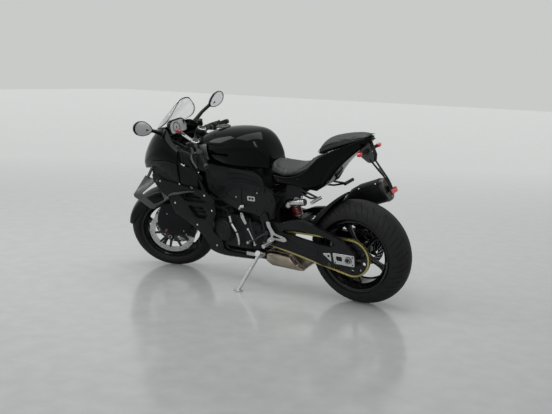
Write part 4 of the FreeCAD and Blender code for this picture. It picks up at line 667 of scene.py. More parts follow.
def bolt(centre, way, radius, rise, steps=6):
    """A bolt head with a chamfer and a socket, standing on a face."""
    centre, way = Vector(centre), Vector(way).normalized()
    side = way.orthogonal().normalized()
    other = way.cross(side)
    rows = []
    for reach, height, count in ((1.0, -0.1, steps), (1.0, 0.75, steps), (0.86, 1.0, steps),
                                 (0.5, 1.0, steps), (0.48, 0.45, steps), (0.001, 0.45, steps)):
        rows.append([tuple(centre + way * rise * height
                           + (side * math.cos(a) + other * math.sin(a)) * radius * reach)
                     for a in turns(count)])
    return skin(rows, closed=True)


# angle from the crown and rows of the tread, in degrees
TREAD_ROWS = (0, 7, 13, 15, 24, 33, 35, 44, 53, 55, 62, 70, 78, 86)
# columns: share of the pitch, first and last angle of the sipe, width as a share
SIPES = ((0.22, 15, 55, 0.06), (0.72, 35, 70, 0.05))
SIPE_DEPTH = 0.0035
BEAD_SEAT = 0.2295


def make_tyre(node, body, axle, radius, section, bead_half, pitches):
    """Round tyre with slanted sipes, and a smooth side wall down to the bead."""
    stations = []
    for number, (middle, _, _, width) in enumerate(SIPES):
        stations += [(middle - width / 2, None), (middle - width / 3, number),
                     (middle + width / 3, number), (middle + width / 2, None)]
    stations = [(0.0, None)] + stations[:4] + [(0.47, None)] + stations[4:]
    lines = [-angle for angle in TREAD_ROWS[:0:-1]] + list(TREAD_ROWS)
    centre = radius - section
    pitch = 2 * math.pi / pitches
    bead = BEAD_SEAT + 0.0025
    rows = []
    for unit in range(pitches):
        for share, sipe in stations:
            row = [(bead - 0.008, -bead_half + 0.001), (bead, -bead_half - 0.004)]
            row = [around(axle, r, (unit + share) * pitch, left) for r, left in row]
            for angle in lines:
                depth = 0.0
                if sipe is not None and SIPES[sipe][1] <= abs(angle) <= SIPES[sipe][2]:
                    depth = SIPE_DEPTH
                slant = (unit + share + abs(angle) * 0.011) * pitch
                reach = section - depth
                row.append(around(axle, centre + reach * math.cos(math.radians(angle)),
                                  slant, reach * math.sin(math.radians(angle))))
            row += [around(axle, r, (unit + share) * pitch, left)
                    for r, left in ((bead, bead_half + 0.004), (bead - 0.008, bead_half - 0.001))]
            rows.append(row)
    verts, faces = skin(rows + rows[:1])
    piece(node + "_tread", verts, faces, body, "tyre", None, [node], angle=28)


def spoke(axle, angle, stations, drop=0.0):
    """One spoke; stations are (radius, half width, half depth), drawn as chamfered boxes."""
    along = Vector((math.cos(angle), 0, math.sin(angle)))
    across = Vector((-math.sin(angle), 0, math.cos(angle)))
    rows = []
    for radius, half, deep in stations:
        middle = axle + along * radius
        ring = [(half, -deep * 0.55), (half, deep * 0.55), (half * 0.55, deep),
                (-half * 0.55, deep), (-half, deep * 0.55), (-half, -deep * 0.55),
                (-half * 0.55, -deep), (half * 0.55, -deep)]
        rows.append([tuple(middle + across * u + Vector((0, v + drop, 0))) for u, v in ring])
    return skin(rows, closed=True)


def make_rim(name, body, axle, half, hub, arms, turn, nodes):
    """Cast wheel: barrel with rolled lips, hollow hub and tapering spokes."""
    barrel = [(BEAD_SEAT, half + 0.0045), (BEAD_SEAT + 0.0005, half + 0.001),
              (BEAD_SEAT - 0.001, half - 0.0005), (0.2165, half - 0.001),
              (0.215, half - 0.011), (0.190, half - 0.027)]
    under = [(0.184, half - 0.025), (0.190, half - 0.017), (0.208, half - 0.006),
             (0.213, half + 0.003), (0.222, half + 0.005)]
    section = barrel + [(r, -y) for r, y in barrel[::-1]] + [(r, -y) for r, y in under]
    section += under[::-1]
    radius, left, right, bore = hub
    core = [(bore, left - 0.004), (bore + 0.006, left), (radius - 0.008, left),
            (radius - 0.002, left - 0.003), (radius, left - 0.02), (radius * 0.86, 0),
            (radius, 0.02 - right), (radius - 0.002, 0.003 - right), (radius - 0.008, -right),
            (bore + 0.006, -right), (bore, 0.004 - right)]
    parts = [revolved(axle, section), turned(axle, core)]
    item = group(name + "_casting", parts, body, "wheel_black", None, nodes, angle=40)
    spokes = [spoke(axle, turn + 2 * math.pi * k / 5, arms) for k in range(5)]
    item = group(name + "_spokes", spokes, body, "wheel_black", angle=180)
    modify(item, "SUBSURF", levels=2, render_levels=2)


def disc_holes(inner, outer, count, rows, radius):
    """Drilled holes of a friction ring, in rows that lean round the wheel."""
    holes = []
    for k in range(count):
        for row in range(rows):
            share = (row + 1) / (rows + 1)
            angle = 2 * math.pi * (k + (row % 2) * 0.5 + share * 0.3) / count
            holes.append(circle(polar(inner + (outer - inner) * share, angle), radius, 8))
    return holes


def make_front_discs():
    """Drilled rings on dark star carriers, one on each side."""
    for side, sign in BOTH_SIDES:
        middle = sign * 0.0655

        def place(u, v, w, middle=middle):
            return (FRONT_AXLE.x + u, middle + w, FRONT_AXLE.z + v)

        ring = plate(circle((0, 0), 0.160, 72), [circle((0, 0), 0.122, 60)]
                     + disc_holes(0.122, 0.160, 30, 3, 0.0036), -0.0025, 0.0025, place)
        piece(f"front_disc_{side}", *ring, "front_wheel", "disc_steel", None,
              ["front_discs"] if side == "left" else (), angle=30)
        carrier = []
        for k in range(10):
            angle = 2 * math.pi * k / 10
            carrier += [polar(0.052, angle - 0.2), polar(0.118, angle - 0.07),
                        polar(0.121, angle - 0.05), polar(0.121, angle + 0.05),
                        polar(0.118, angle + 0.07), polar(0.052, angle + 0.2)]
        star = [plate(carrier, [circle((0, 0), 0.024, 32)], -0.0022, 0.0022, place)]
        for k in range(10):
            u, v = polar(0.1215, 2 * math.pi * k / 10)
            star.append(tube([place(u, v, -0.0045), place(u, v, 0.0045)], 0.0066, 14))
        for k in range(5):
            u, v = polar(0.038, 2 * math.pi * k / 5)
            star.append(bolt(place(u, v, sign * 0.002), (0, sign, 0), 0.0065, 0.005))
        group(f"front_disc_carrier_{side}", star, "front_wheel", "levers_grey", angle=30)


def make_rear_disc():
    """Drilled ring and its star in one piece."""
    def place(u, v, w):
        return (u, -0.0845 + w, REAR_AXLE.z + v)

    ring = plate(circle((0, 0), 0.110, 60), [circle((0, 0), 0.074, 48)]
                 + disc_holes(0.074, 0.110, 24, 3, 0.0034), -0.0025, 0.0025, place)
    arms = []
    for k in range(5):
        angle = 2 * math.pi * k / 5
        arms += [polar(0.054, angle - 0.3), polar(0.076, angle - 0.1),
                 polar(0.076, angle + 0.1), polar(0.054, angle + 0.3)]
    star = plate(arms, [circle((0, 0), 0.0245, 32)], -0.0025, 0.0025, place)
    heads = [bolt(place(*polar(0.046, 2 * math.pi * k / 5), -0.0025), (0, -1, 0), 0.0065, 0.005)
             for k in range(5)]
    group("rear_disc_ring", [ring, star, *heads], "rear_wheel", "disc_black", None, ["rear_disc"],
          angle=30)


LINK_PITCH = 0.01588
CHAIN_LINE = 0.114
SPROCKETS = ((REAR_AXLE.x, REAR_AXLE.z, 0.1138), (0.650, 0.392, 0.0432))


def chain_shape():
    """Angle of the line between the sprockets, its opening, a straight run and both arcs."""
    (rear_x, rear_z, rear_r), (ahead_x, ahead_z, ahead_r) = SPROCKETS
    span = math.hypot(ahead_x - rear_x, ahead_z - rear_z)
    line = math.atan2(ahead_z - rear_z, ahead_x - rear_x)
    opening = math.acos((rear_r - ahead_r) / span)
    run = math.sqrt(span ** 2 - (rear_r - ahead_r) ** 2)
    return line, opening, run, 2 * opening * ahead_r, (2 * math.pi - 2 * opening) * rear_r


def on_sprocket(number, angle):
    """Ahead and height of a point of the chain's run on a sprocket."""
    x, z, radius = SPROCKETS[number]
    return x + radius * math.cos(angle), z + radius * math.sin(angle)


def chain_length():
    """Length of the chain's whole run."""
    _, _, run, ahead_arc, rear_arc = chain_shape()
    return 2 * run + rear_arc + ahead_arc


def chain_path(share):
    """Point of the chain's run at a share of its whole length."""
    line, opening, run, ahead_arc, rear_arc = chain_shape()
    way = share * chain_length()
    for leaves, enters, start, arc in ((0, 1, line - opening, ahead_arc),
                                       (1, 0, line + opening, rear_arc)):
        if way < run:
            x, z = on_sprocket(leaves, start)
            return x - math.sin(start) * way, z + math.cos(start) * way
        way -= run
        if enters == 0 or way < arc:
            return on_sprocket(enters, start + way / SPROCKETS[enters][2])
        way -= arc


def make_chain():
    """Plates in pairs, inner and outer by turns, on rollers at every joint."""
    links = 2 * round(chain_length() / LINK_PITCH / 2)
    plates = []
    rollers = []
    joints = [chain_path(k / links) for k in range(links)]
    for number, (x, z) in enumerate(joints):
        next_x, next_z = joints[(number + 1) % links]
        middle = Vector(((x + next_x) / 2, (z + next_z) / 2))
        turn = math.atan2(next_z - z, next_x - x)
        reach = math.hypot(next_x - x, next_z - z) / 2
        outline = []
        for end, start in ((1, -75), (-1, 105)):
            outline += [(end * reach + 0.0066 * math.cos(math.radians(start + 30 * k)),
                         0.0066 * math.sin(math.radians(start + 30 * k))) for k in range(6)]
            outline.append((0.0, 0.0048 * end))
        inner = 0.0058 if number % 2 else 0.0076

        def place(u, v, w, middle=middle, turn=turn):
            return (middle.x + u * math.cos(turn) - v * math.sin(turn), CHAIN_LINE + w,
                    middle.y + u * math.sin(turn) + v * math.cos(turn))

        for sign in (1, -1):
            plates.append(side_plate(outline, [], sign, inner, inner + 0.0015, place))
        pin = [(x, CHAIN_LINE - 0.0088, z), (x, CHAIN_LINE + 0.0088, z)]
        rollers.append(tube(pin, 0.0026, 8))
        barrel = [(x, CHAIN_LINE - 0.0055, z), (x, CHAIN_LINE + 0.0055, z)]
        rollers.append(tube(barrel, 0.0048, 10))
    group("chain_plates", plates, "chassis", "chain_gold", None, ["chain"])
    group("chain_rollers", rollers, "chassis", "steel_dark")


def toothed(radius, teeth, turn=0.0):
    """Outline of a sprocket whose chain runs at this radius."""
    outline = []
    for k in range(teeth):
        middle = turn + 2 * math.pi * k / teeth
        step = 2 * math.pi / teeth
        outline += [polar(radius - 0.0045, middle - step * 0.30),
                    polar(radius + 0.004, middle - step * 0.10),
                    polar(radius + 0.004, middle + step * 0.10),
                    polar(radius - 0.0045, middle + step * 0.30)]
    return outline


def make_sprockets():
    """Toothed rear sprocket with lightening holes, on its carrier."""
    def place(u, v, w):
        return (u, CHAIN_LINE + w, REAR_AXLE.z + v)

    holes = [circle((0, 0), 0.022, 32)]
    holes += [circle(polar(0.086, 2 * math.pi * (k + 0.5) / 10), 0.0105, 14) for k in range(10)]
    parts = [plate(toothed(SPROCKETS[0][2], 45), holes, -0.003, 0.003, place)]
    parts += [bolt(place(*polar(0.060, 2 * math.pi * k / 5), 0.003), (0, 1, 0), 0.009, 0.007)
              for k in range(5)]
    parts.append(turned(REAR_AXLE, [(0.022, 0.096), (0.070, 0.096), (0.072, 0.098),
                                    (0.072, 0.110), (0.022, 0.110)]))
    group("rear_sprocket_plate", parts, "rear_wheel", "aluminium_silver", "disc_black",
          ["rear_sprocket"], angle=30)


def make_wheels():
    """Both tyres and both cast wheels."""
    make_tyre("front_tyre", "front_wheel", FRONT_AXLE, 0.300, 0.060, 0.0445, 22)
    make_tyre("rear_tyre", "rear_wheel", REAR_AXLE, 0.327, 0.098, 0.0759, 24)
    arms = [(0.028, 0.019, 0.016), (0.060, 0.0135, 0.014), (0.110, 0.0105, 0.0125),
            (0.150, 0.011, 0.0125), (0.175, 0.020, 0.014), (0.188, 0.034, 0.017)]
    make_rim("front_wheel", "front_wheel", FRONT_AXLE, 0.0448, (0.034, 0.063, 0.063, 0.0126),
             arms, math.radians(21), ["front_rim"])
    arms = [(0.040, 0.021, 0.024), (0.070, 0.016, 0.021), (0.110, 0.0125, 0.019),
            (0.150, 0.013, 0.019), (0.175, 0.022, 0.021), (0.188, 0.038, 0.026)]
    make_rim("rear_wheel", "rear_wheel", REAR_AXLE, 0.0762, (0.048, 0.096, 0.082, 0.0141),
             arms, math.radians(64), ["rear_rim", "rear_spokes"])


# ---------------------------------------------------------------- body panels

def strip(name, upper, lower, bulge, slot, finish=None, replaces=(), both=True, wall=0.0035,
          body="chassis", bands=(0.18, 0.5, 0.82), per_span=4):
    """A panel between two lines (ahead, left, height), bowed outwards by the bulge."""
    upper = curve_points(upper, per_span)
    lower = curve_points(lower, per_span)
    rows = []
    for top, bottom in zip(upper, lower):
        row = [top]
        for share in bands:
            bow = bulge * 4 * share * (1 - share)
            row.append((top[0] + (bottom[0] - top[0]) * share,
                        top[1] + (bottom[1] - top[1]) * share + bow,
                        top[2] + (bottom[2] - top[2]) * share))
        rows.append(row + [bottom])
    return sheet(name, [skin(rows)], slot, finish, replaces, both, wall, body)


def sheet(name, parts, slot, finish=None, replaces=(), both=True, wall=0.0035,
          body="chassis", angle=30, bevel=0.0012):
    """Thin panels given wall thickness and soft edges, on one side or both."""
    verts, faces = join_parts(parts)
    if both:
        verts, faces = flip_sides(verts, faces)
    item = piece(name, verts, faces, body, slot, finish, replaces, angle=angle)
    face_out(item)
    modify(item, "SOLIDIFY", thickness=wall, offset=-1)
    soft_edges(item, bevel)
    return item


def face_out(item):
    """Turn each sheet of a mesh so that its faces look away from the middle plane."""
    middle = STANCES["chassis"].to_3x3() @ Vector((0, 1, 0))
    base = STANCES["chassis"].translation.dot(middle)
    shape = bmesh.new()
    shape.from_mesh(item.data)
    left = set(shape.faces)
    while left:
        stack = [left.pop()]
        island = list(stack)
        while stack:
            for edge in stack.pop().edges:
                for face in edge.link_faces:
                    if face in left:
                        left.remove(face)
                        stack.append(face)
                        island.append(face)
        way = sum(face.normal.dot(middle) * face.calc_area() for face in island)
        place = sum(face.calc_center_median().dot(middle) - base for face in island)
        if way * place < 0:
            bmesh.ops.reverse_faces(shape, faces=island)
    shape.to_mesh(item.data)
    shape.free()


def fairing_half(ahead, height):
    """Half width of the side fairing: fullest at the vents, tucked in below and ahead."""
    tuck = max(0.0, (0.560 - height) / 0.32)
    ahead_tuck = max(0.0, (ahead - 1.25) / 0.2)
    return 0.218 - 0.082 * min(tuck, 1.0) ** 1.6 - 0.016 * ahead_tuck ** 2


def side_panel(name, outline, holes, lift, slot, finish=None, replaces=(), grid=0.028,
               wall=0.0035):
    """A panel over the fairing's side; lift(ahead, height) stands it off the side's line."""
    extra = []
    low_x, high_x = (f(p[0] for p in outline) for f in (min, max))
    low_z, high_z = (f(p[1] for p in outline) for f in (min, max))
    x = low_x + grid / 2
    while x < high_x:
        z = low_z + grid / 2
        while z < high_z:
            if within((x, z), outline) and not any(within((x, z), hole) for hole in holes):
                extra.append((x, z))
            z += grid
        x += grid
    flat, faces = inside_of(outline, holes, extra)
    verts = [(p.x, fairing_half(p.x, p.y) + lift(p.x, p.y), p.y) for p in flat]
    return sheet(name, [(verts, faces)], slot, finish, replaces, wall=wall)


def rounded(points, radius, steps=4):
    """An outline with its corners rounded."""
    out = []
    for before, at, after in zip(points[-1:] + points[:-1], points, points[1:] + points[:1]):
        at = Vector(at)
        ways = [Vector(other) - at for other in (before, after)]
        reach = min(radius, ways[0].length * 0.45, ways[1].length * 0.45)
        start, end = (at + way.normalized() * reach for way in ways)
        for k in range(steps + 1):
            t = k / steps
            out.append(tuple(start * (1 - t) ** 2 + at * 2 * t * (1 - t) + end * t * t))
    return out


# outlines on the machine's side, (ahead, height)
UPPER_BAND = [(1.424, 0.742), (1.314, 0.708), (1.211, 0.697), (1.092, 0.676), (0.986, 0.672),
              (0.905, 0.618), (0.918, 0.588), (0.985, 0.606), (1.060, 0.640), (1.120, 0.652),
              (1.205, 0.628), (1.283, 0.598), (1.360, 0.628), (1.418, 0.700)]
LOWER_BAND = [(1.312, 0.600), (1.288, 0.556), (1.257, 0.484), (1.173, 0.436), (1.126, 0.393),
              (1.070, 0.337), (1.056, 0.290), (1.045, 0.236), (0.936, 0.236), (0.924, 0.326),
              (0.976, 0.387), (0.955, 0.469), (0.918, 0.517), (0.916, 0.580), (0.972, 0.598),
              (1.014, 0.584), (1.154, 0.580), (1.200, 0.612), (1.262, 0.618)]
DARK_WINDOW = [(1.142, 0.556), (1.020, 0.560), (0.984, 0.506), (1.018, 0.470), (1.092, 0.470)]


def make_side_panels():
    """Upper and lower side panels, the vent lip, mesh, louvres and bolts."""
    side_panel("side_upper", rounded(UPPER_BAND, 0.012), [], lambda x, z: 0.006, "satin_black",
               replaces=["side_fairings"])
    side_panel("side_lower", rounded(LOWER_BAND, 0.012), [rounded(DARK_WINDOW, 0.012)],
               lambda x, z: -0.004, "satin_black")
    strip("vent_lip", [(1.292, 0.226, 0.612), (1.245, 0.232, 0.634), (1.197, 0.235, 0.645),
                       (1.110, 0.236, 0.662), (1.060, 0.234, 0.664)],
          [(1.290, 0.222, 0.600), (1.243, 0.226, 0.618), (1.197, 0.229, 0.628),
           (1.110, 0.231, 0.650), (1.056, 0.230, 0.660)], 0.002, "satin_black", "wing_grey",
          wall=0.003)
    side_panel("side_mesh", [(1.190, 0.600), (0.965, 0.600), (0.965, 0.455), (1.110, 0.455)],
               [], lambda x, z: -0.030, "plastic_black")
    louvres = []
    for x, z in ((1.070, 0.548), (1.050, 0.524), (1.030, 0.500)):
        louvres.append(skin([[(x - 0.052, 0.196, z), (x - 0.046, 0.206, z + 0.012)],
                             [(x + 0.040, 0.196, z - 0.006), (x + 0.046, 0.206, z + 0.008)]]))
    sheet("side_louvres", louvres, "plastic_black", wall=0.002)
    heads = []
    for x, z in ((1.35, 0.700), (0.985, 0.640), (1.245, 0.560), (1.095, 0.420), (0.985, 0.275),
                 (0.945, 0.540)):
        half = fairing_half(x, z) + (0.0065 if z > 0.59 else -0.0035)
        heads += [bolt((x, sign * half, z), (0, sign, 0), 0.0065, 0.0028)
                  for sign in (1, -1)]
    group("fairing_bolts", heads, "chassis", "aluminium_silver")


def make_belly():
    """Trough under the engine."""
    rows = []
    for ahead, half, low, rim in ((1.078, 0.112, 0.212, 0.244), (1.040, 0.124, 0.195, 0.240),
                                  (0.960, 0.132, 0.188, 0.240), (0.880, 0.133, 0.192, 0.240),
                                  (0.800, 0.130, 0.194, 0.238), (0.712, 0.124, 0.198, 0.232)):
        rows.append([(ahead, -half, rim), (ahead, -half * 0.93, (low + rim) / 2 - 0.006),
                     (ahead, -half * 0.74, low), (ahead, 0, low - 0.002),
                     (ahead, half * 0.74, low), (ahead, half * 0.93, (low + rim) / 2 - 0.006),
                     (ahead, half, rim)])
    shell("belly_skin", rows, "chassis", "plastic_black", lines=(1, 2), replaces=["belly_pan"])


def make_nose_trim():
    """Satin strip low on the nose, the panel behind it, and the lamps in front."""
    strip("nose_strip", [(1.470, 0.178, 0.812), (1.424, 0.195, 0.826), (1.340, 0.217, 0.836),
                         (1.251, 0.226, 0.838), (1.190, 0.226, 0.828)],
          [(1.462, 0.174, 0.784), (1.431, 0.184, 0.782), (1.329, 0.208, 0.766),
           (1.258, 0.217, 0.734), (1.186, 0.218, 0.696)], 0.003, "satin_black", wall=0.003)
    strip("nose_filler", [(1.452, 0.172, 0.792), (1.350, 0.198, 0.782), (1.200, 0.206, 0.752)],
          [(1.440, 0.184, 0.722), (1.340, 0.204, 0.694), (1.200, 0.212, 0.684)], 0.002,
          "plastic_black", wall=0.002)
    strip("inner_panel", [(1.214, 0.205, 0.905), (1.170, 0.202, 0.824), (1.106, 0.186, 0.800),
                          (1.062, 0.178, 0.770)],
          [(1.212, 0.211, 0.700), (1.150, 0.212, 0.690), (1.100, 0.204, 0.682),
           (1.055, 0.196, 0.676)], 0.004, "satin_black", wall=0.003)
    lamps = []
    for sign in (1, -1):
        rows = []
        for x, y, low, high in ((1.612, 0.040, 0.770, 0.794), (1.572, 0.084, 0.785, 0.822),
                                (1.520, 0.124, 0.800, 0.842), (1.478, 0.152, 0.818, 0.850)):
            rows.append([(x + 0.004, sign * (y + 0.002), low), (x + 0.006, sign * (y + 0.004),
                         (low + high) / 2), (x + 0.002, sign * y, high)])
        lamps.append(skin(rows))
    sheet("headlamp_lenses", lamps, "mirror_glass", both=False, wall=0.002)
    rows = []
    for z, half, x in ((0.842, 0.050, 1.590), (0.872, 0.052, 1.574), (0.898, 0.044, 1.556)):
        rows.append([(x + 0.004, y, z) for y in (-half, -half / 2, 0, half / 2, half)])
    sheet("nose_intake", [skin(rows)], "plastic_black", both=False, wall=0.002)


# corners of the left winglet's leading edge and trailing edge, round the loop
WING = [((1.494, 0.200, 0.721), (1.405, 0.213, 0.684)),
        ((1.540, 0.288, 0.606), (1.462, 0.284, 0.624)),
        ((1.528, 0.292, 0.592), (1.450, 0.287, 0.610)),
        ((1.424, 0.262, 0.514), (1.380, 0.272, 0.552)),
        ((1.398, 0.256, 0.514), (1.360, 0.266, 0.556)),
        ((1.340, 0.222, 0.562), (1.308, 0.226, 0.578)),
        ((1.336, 0.216, 0.574), (1.304, 0.220, 0.592)),
        ((1.392, 0.206, 0.676), (1.354, 0.211, 0.676)),
        ((1.404, 0.204, 0.690), (1.366, 0.210, 0.690))]
WING_WALL = 0.0045


def make_winglets():
    """Wide blades joined into a loop on each side, open to the air stream."""
    inside = sum((Vector(front) + Vector(rear) for front, rear in WING), Vector()) / 18
    rows = []
    for front, rear in WING:
        front, rear = Vector(front), Vector(rear)
        chord = (rear - front).normalized()
        inward = inside - (front + rear) / 2
        inward = (inward - chord * inward.dot(chord)).normalized() * WING_WALL
        rows.append([tuple(point) for point in (
            front, front.lerp(rear, 0.12) - inward * 0.7, front.lerp(rear, 0.5) - inward,
            rear - inward * 0.4, rear + inward * 0.4, front.lerp(rear, 0.5) + inward,
            front.lerp(rear, 0.12) + inward * 0.8)])
    verts, faces = flip_sides(*skin(rows + rows[:1], closed=True))
    item = piece("winglet_loops", verts, faces, "chassis", "satin_black", "wing_grey",
                 ["winglets"], angle=40)
    merge_points(item)
    feet = []
    for at, foot in (((1.470, 0.203, 0.712), (1.446, 0.180, 0.770)),
                     ((1.384, 0.211, 0.692), (1.372, 0.205, 0.720)),
                     ((1.318, 0.221, 0.580), (1.296, 0.211, 0.590))):
        feet.append(tube([at, foot], 0.010, 12))
    piece("winglet_feet", *flip_sides(*join_parts(feet)), "chassis", "satin_black", "wing_grey")


def merge_points(item, reach=0.0001):
    """Join points that lie on each other."""
    shape = bmesh.new()
    shape.from_mesh(item.data)
    bmesh.ops.remove_doubles(shape, verts=shape.verts, dist=reach)
    bmesh.ops.recalc_face_normals(shape, faces=shape.faces)
    shape.to_mesh(item.data)
    shape.free()


def make_covers():
    """Panels below the tank with three ridges that wave from front to back."""
    stations = [1.000, 0.960, 0.905, 0.850, 0.800, 0.743, 0.690, 0.640, 0.600, 0.572, 0.556]
    tops = [0.836, 0.838, 0.832, 0.826, 0.822, 0.818, 0.814, 0.808, 0.800, 0.770, 0.724]
    lows = [0.716, 0.682, 0.660, 0.664, 0.688, 0.698, 0.694, 0.684, 0.682, 0.684, 0.690]
    rows = []
    for x, top, low in zip(stations, tops, lows):
        wave = 0.012 * math.sin((x - 0.56) * 13)
        row = []
        marks = (0.0, 0.22, 0.26, 0.47, 0.51, 0.70, 0.74, 1.0)
        lifts = (0.0, 0.006, 0.001, 0.007, 0.002, 0.007, 0.002, 0.003)
        for mark, lift in zip(marks, lifts):
            shift = wave * math.sin(math.pi * mark)
            row.append((x, 0.166 + lift, top + (low - top) * mark + shift))
        rows.append(row)
    smooth = [list(row) for row in zip(*[curve_points(list(line), 3)
                                         for line in zip(*rows)])]
    sheet("cover_panels", [skin(smooth)], "satin_black", replaces=["frame_covers"], wall=0.003,
          angle=50, bevel=0.0008)


def make_guards():
    """Front mudguard with side skirts, and the pointed guard over the rear tyre."""
    rows = []
    for k in range(17):
        share = k / 16
        angle = math.radians(14 + 128 * share)
        end = 1 - min(1, min(share, 1 - share) / 0.14)
        half = 0.069 - 0.020 * end ** 2
        deep = 0.058 - 0.036 * end ** 1.5
        top = 0.3155
        row = [(half, top - deep), (half, top - 0.026), (half * 0.93, top - 0.011),
               (half * 0.62, top - 0.001), (0.0, top + 0.0022)]
        row += [(-y, r) for y, r in row[-2::-1]]
        rows.append([around(FRONT_AXLE, r, angle, y) for y, r in row])
    shell("front_guard", rows, "front_end", "satin_black", lines=(1,),
          replaces=["front_mudguard"], wall=0.003)
    skirts = []
    for sign in (1, -1):
        row = []
        for angle, low, high in ((58, 0.258, 0.300), (72, 0.220, 0.300), (88, 0.190, 0.300),
                                 (104, 0.214, 0.300), (120, 0.262, 0.300)):
            a = math.radians(angle)
            row.append([around(FRONT_AXLE, r, a, sign * y)
                        for r, y in ((high, 0.070), ((high + low) / 2, 0.0755), (low, 0.0785))])
        skirts.append(skin(row))
    sheet("guard_skirts", skirts, "satin_black", both=False, wall=0.003, body="front_end")
    rows = []
    for k in range(14):
        share = k / 13
        angle = math.radians(79 - 56 * share)
        point = max(0.0, 1 - share / 0.5)
        half = 0.102 * (1 - 0.72 * point ** 1.6)
        deep = 0.032 + 0.010 * share - 0.024 * point
        top = 0.341 + 0.034 * point ** 1.5
        row = [(half, top - deep), (half, top - 0.012), (half * 0.9, top - 0.004),
               (half * 0.5, top), (0.0, top + 0.002)]
        row += [(-y, r) for y, r in row[-2::-1]]
        rows.append([around(REAR_AXLE, r, angle, y) for y, r in row])
    shell("rear_guard", rows, "chassis", "plastic_black", lines=(1,),
          replaces=["rear_hugger"], wall=0.003)


# ---------------------------------------------------------------- mirrors, swingarm, exhaust

def extruded(name, outline, holes, low, high, body, slot, finish=None, replaces=(),
             both=True, bevel=0.003, angle=30):
    """A plate in the machine's side view between two distances from the middle plane."""
    verts, faces = plate(outline, holes, low, high, on_side)
    if both:
        verts, faces = flip_sides(verts, faces)
    item = piece(name, verts, faces, body, slot, finish, replaces, angle=angle)
    if bevel:
        soft_edges(item, bevel)
    return item


def rod_between(start, end, radius, sides=16, bevel=0.0):
    """A round bar, its ends eased when there is a bevel."""
    start, end = Vector(start), Vector(end)
    way = (end - start).normalized()
    if not bevel:
        return tube([start, end], radius, sides)
    ends = [start, start + way * bevel, end - way * bevel, end]
    rows = tube_rows(ends, radius, sides)
    for row, middle in ((rows[0], start), (rows[3], end)):
        row[:] = [tuple(middle + (Vector(p) - middle) * (1 - bevel / radius)) for p in row]
    return skin(rows, closed=True, caps=True)


# outline of a mirror head along its axis, from the stalk outwards
MIRROR = [(-0.088, 0.004), (-0.084, -0.014), (-0.050, -0.037), (0.004, -0.048),
          (0.054, -0.042), (0.084, -0.014), (0.080, 0.020), (0.046, 0.044), (-0.006, 0.047),
          (-0.056, 0.028)]


def make_mirrors():
    """Heads with a rim and a pane on curved stalks."""
    tilt = math.radians(16)
    heads, rims, glasses, stalks = [], [], [], []
    for sign, height in ((1, 1.092), (-1, 1.130)):
        centre = Vector((1.290, sign * 0.384, height))
        across = Vector((0, sign * math.cos(tilt), math.sin(tilt)))
        upward = Vector((0, -sign * math.sin(tilt), math.cos(tilt)))

        def ring(share, back, centre=centre, across=across, upward=upward):
            return [tuple(centre + across * u * share + upward * v * share
                          - Vector((back, 0, 0)))
                    for u, v in rounded(MIRROR, 0.014, 3)]

        heads.append(skin([ring(0.955, 0.004), ring(1.0, 0.002), ring(1.0, -0.006),
                           ring(0.94, -0.016), ring(0.74, -0.027), ring(0.4, -0.033),
                           ring(0.02, -0.034)], closed=True))
        rims.append(skin([ring(0.955, 0.004), ring(0.925, 0.0035), ring(0.915, 0.0005)],
                         closed=True))
        glasses.append(skin([ring(0.918, 0.001), ring(0.5, 0.0022), ring(0.01, 0.0026)],
                            closed=True))
        root = Vector((1.340, sign * 0.168, 1.009))
        tip = centre - across * 0.066 - upward * 0.006 + Vector((0.012, 0, 0))
        middle = root.lerp(tip, 0.55) + Vector((0.006, 0, 0.004))
        path = [root, root.lerp(middle, 0.4), middle, tip.lerp(middle, 0.3), tip,
                tip + across * 0.04]
        stalks.append(tube(path, lambda t: 0.017 - 0.020 * t * (1.05 - t), 16))
        stalks.append(turned_about(root - Vector((0.004, sign * 0.009, 0.007)),
                                   Vector((0.329, sign * 0.741, 0.588)),
                                   [(0.0, 0.000), (0.026, 0.000), (0.027, 0.008),
                                    (0.020, 0.018), (0.0, 0.020)]))
    group("mirror_heads", heads, "chassis", "gloss_black", None, ["mirrors"], angle=60)
    group("mirror_rims", rims, "chassis", "plastic_black", angle=50)
    group("mirror_panes", glasses, "chassis", "mirror_glass", None, ["mirror_glasses"], angle=60)
    group("mirror_stalks", stalks, "chassis", "satin_black", angle=60)


def turned_about(centre, way, section, steps=32):
    """A turned piece: (radius, distance) points about an axis through the centre."""
    way = Vector(way).normalized()
    side = way.orthogonal().normalized()
    other = way.cross(side)
    rows = [[tuple(Vector(centre) + way * along
                   + (side * math.cos(a) + other * math.sin(a)) * max(radius, 0.0001))
             for a in turns(steps)] for radius, along in section]
    return skin(rows, closed=True)


BEAM = [(0.600, 0.350), (0.600, 0.430), (0.586, 0.494), (0.548, 0.506), (0.468, 0.494),
        (0.400, 0.522), (0.314, 0.534), (0.226, 0.508), (0.129, 0.474), (0.060, 0.448),
        (-0.020, 0.384), (-0.046, 0.366), (-0.046, 0.286), (0.040, 0.272), (0.175, 0.264),
        (0.230, 0.283), (0.380, 0.320), (0.540, 0.342)]
BEAM_WINDOW = [(0.462, 0.440), (0.440, 0.462), (0.330, 0.470), (0.200, 0.458), (0.110, 0.436),
               (0.084, 0.408), (0.120, 0.392), (0.184, 0.394), (0.330, 0.414)]


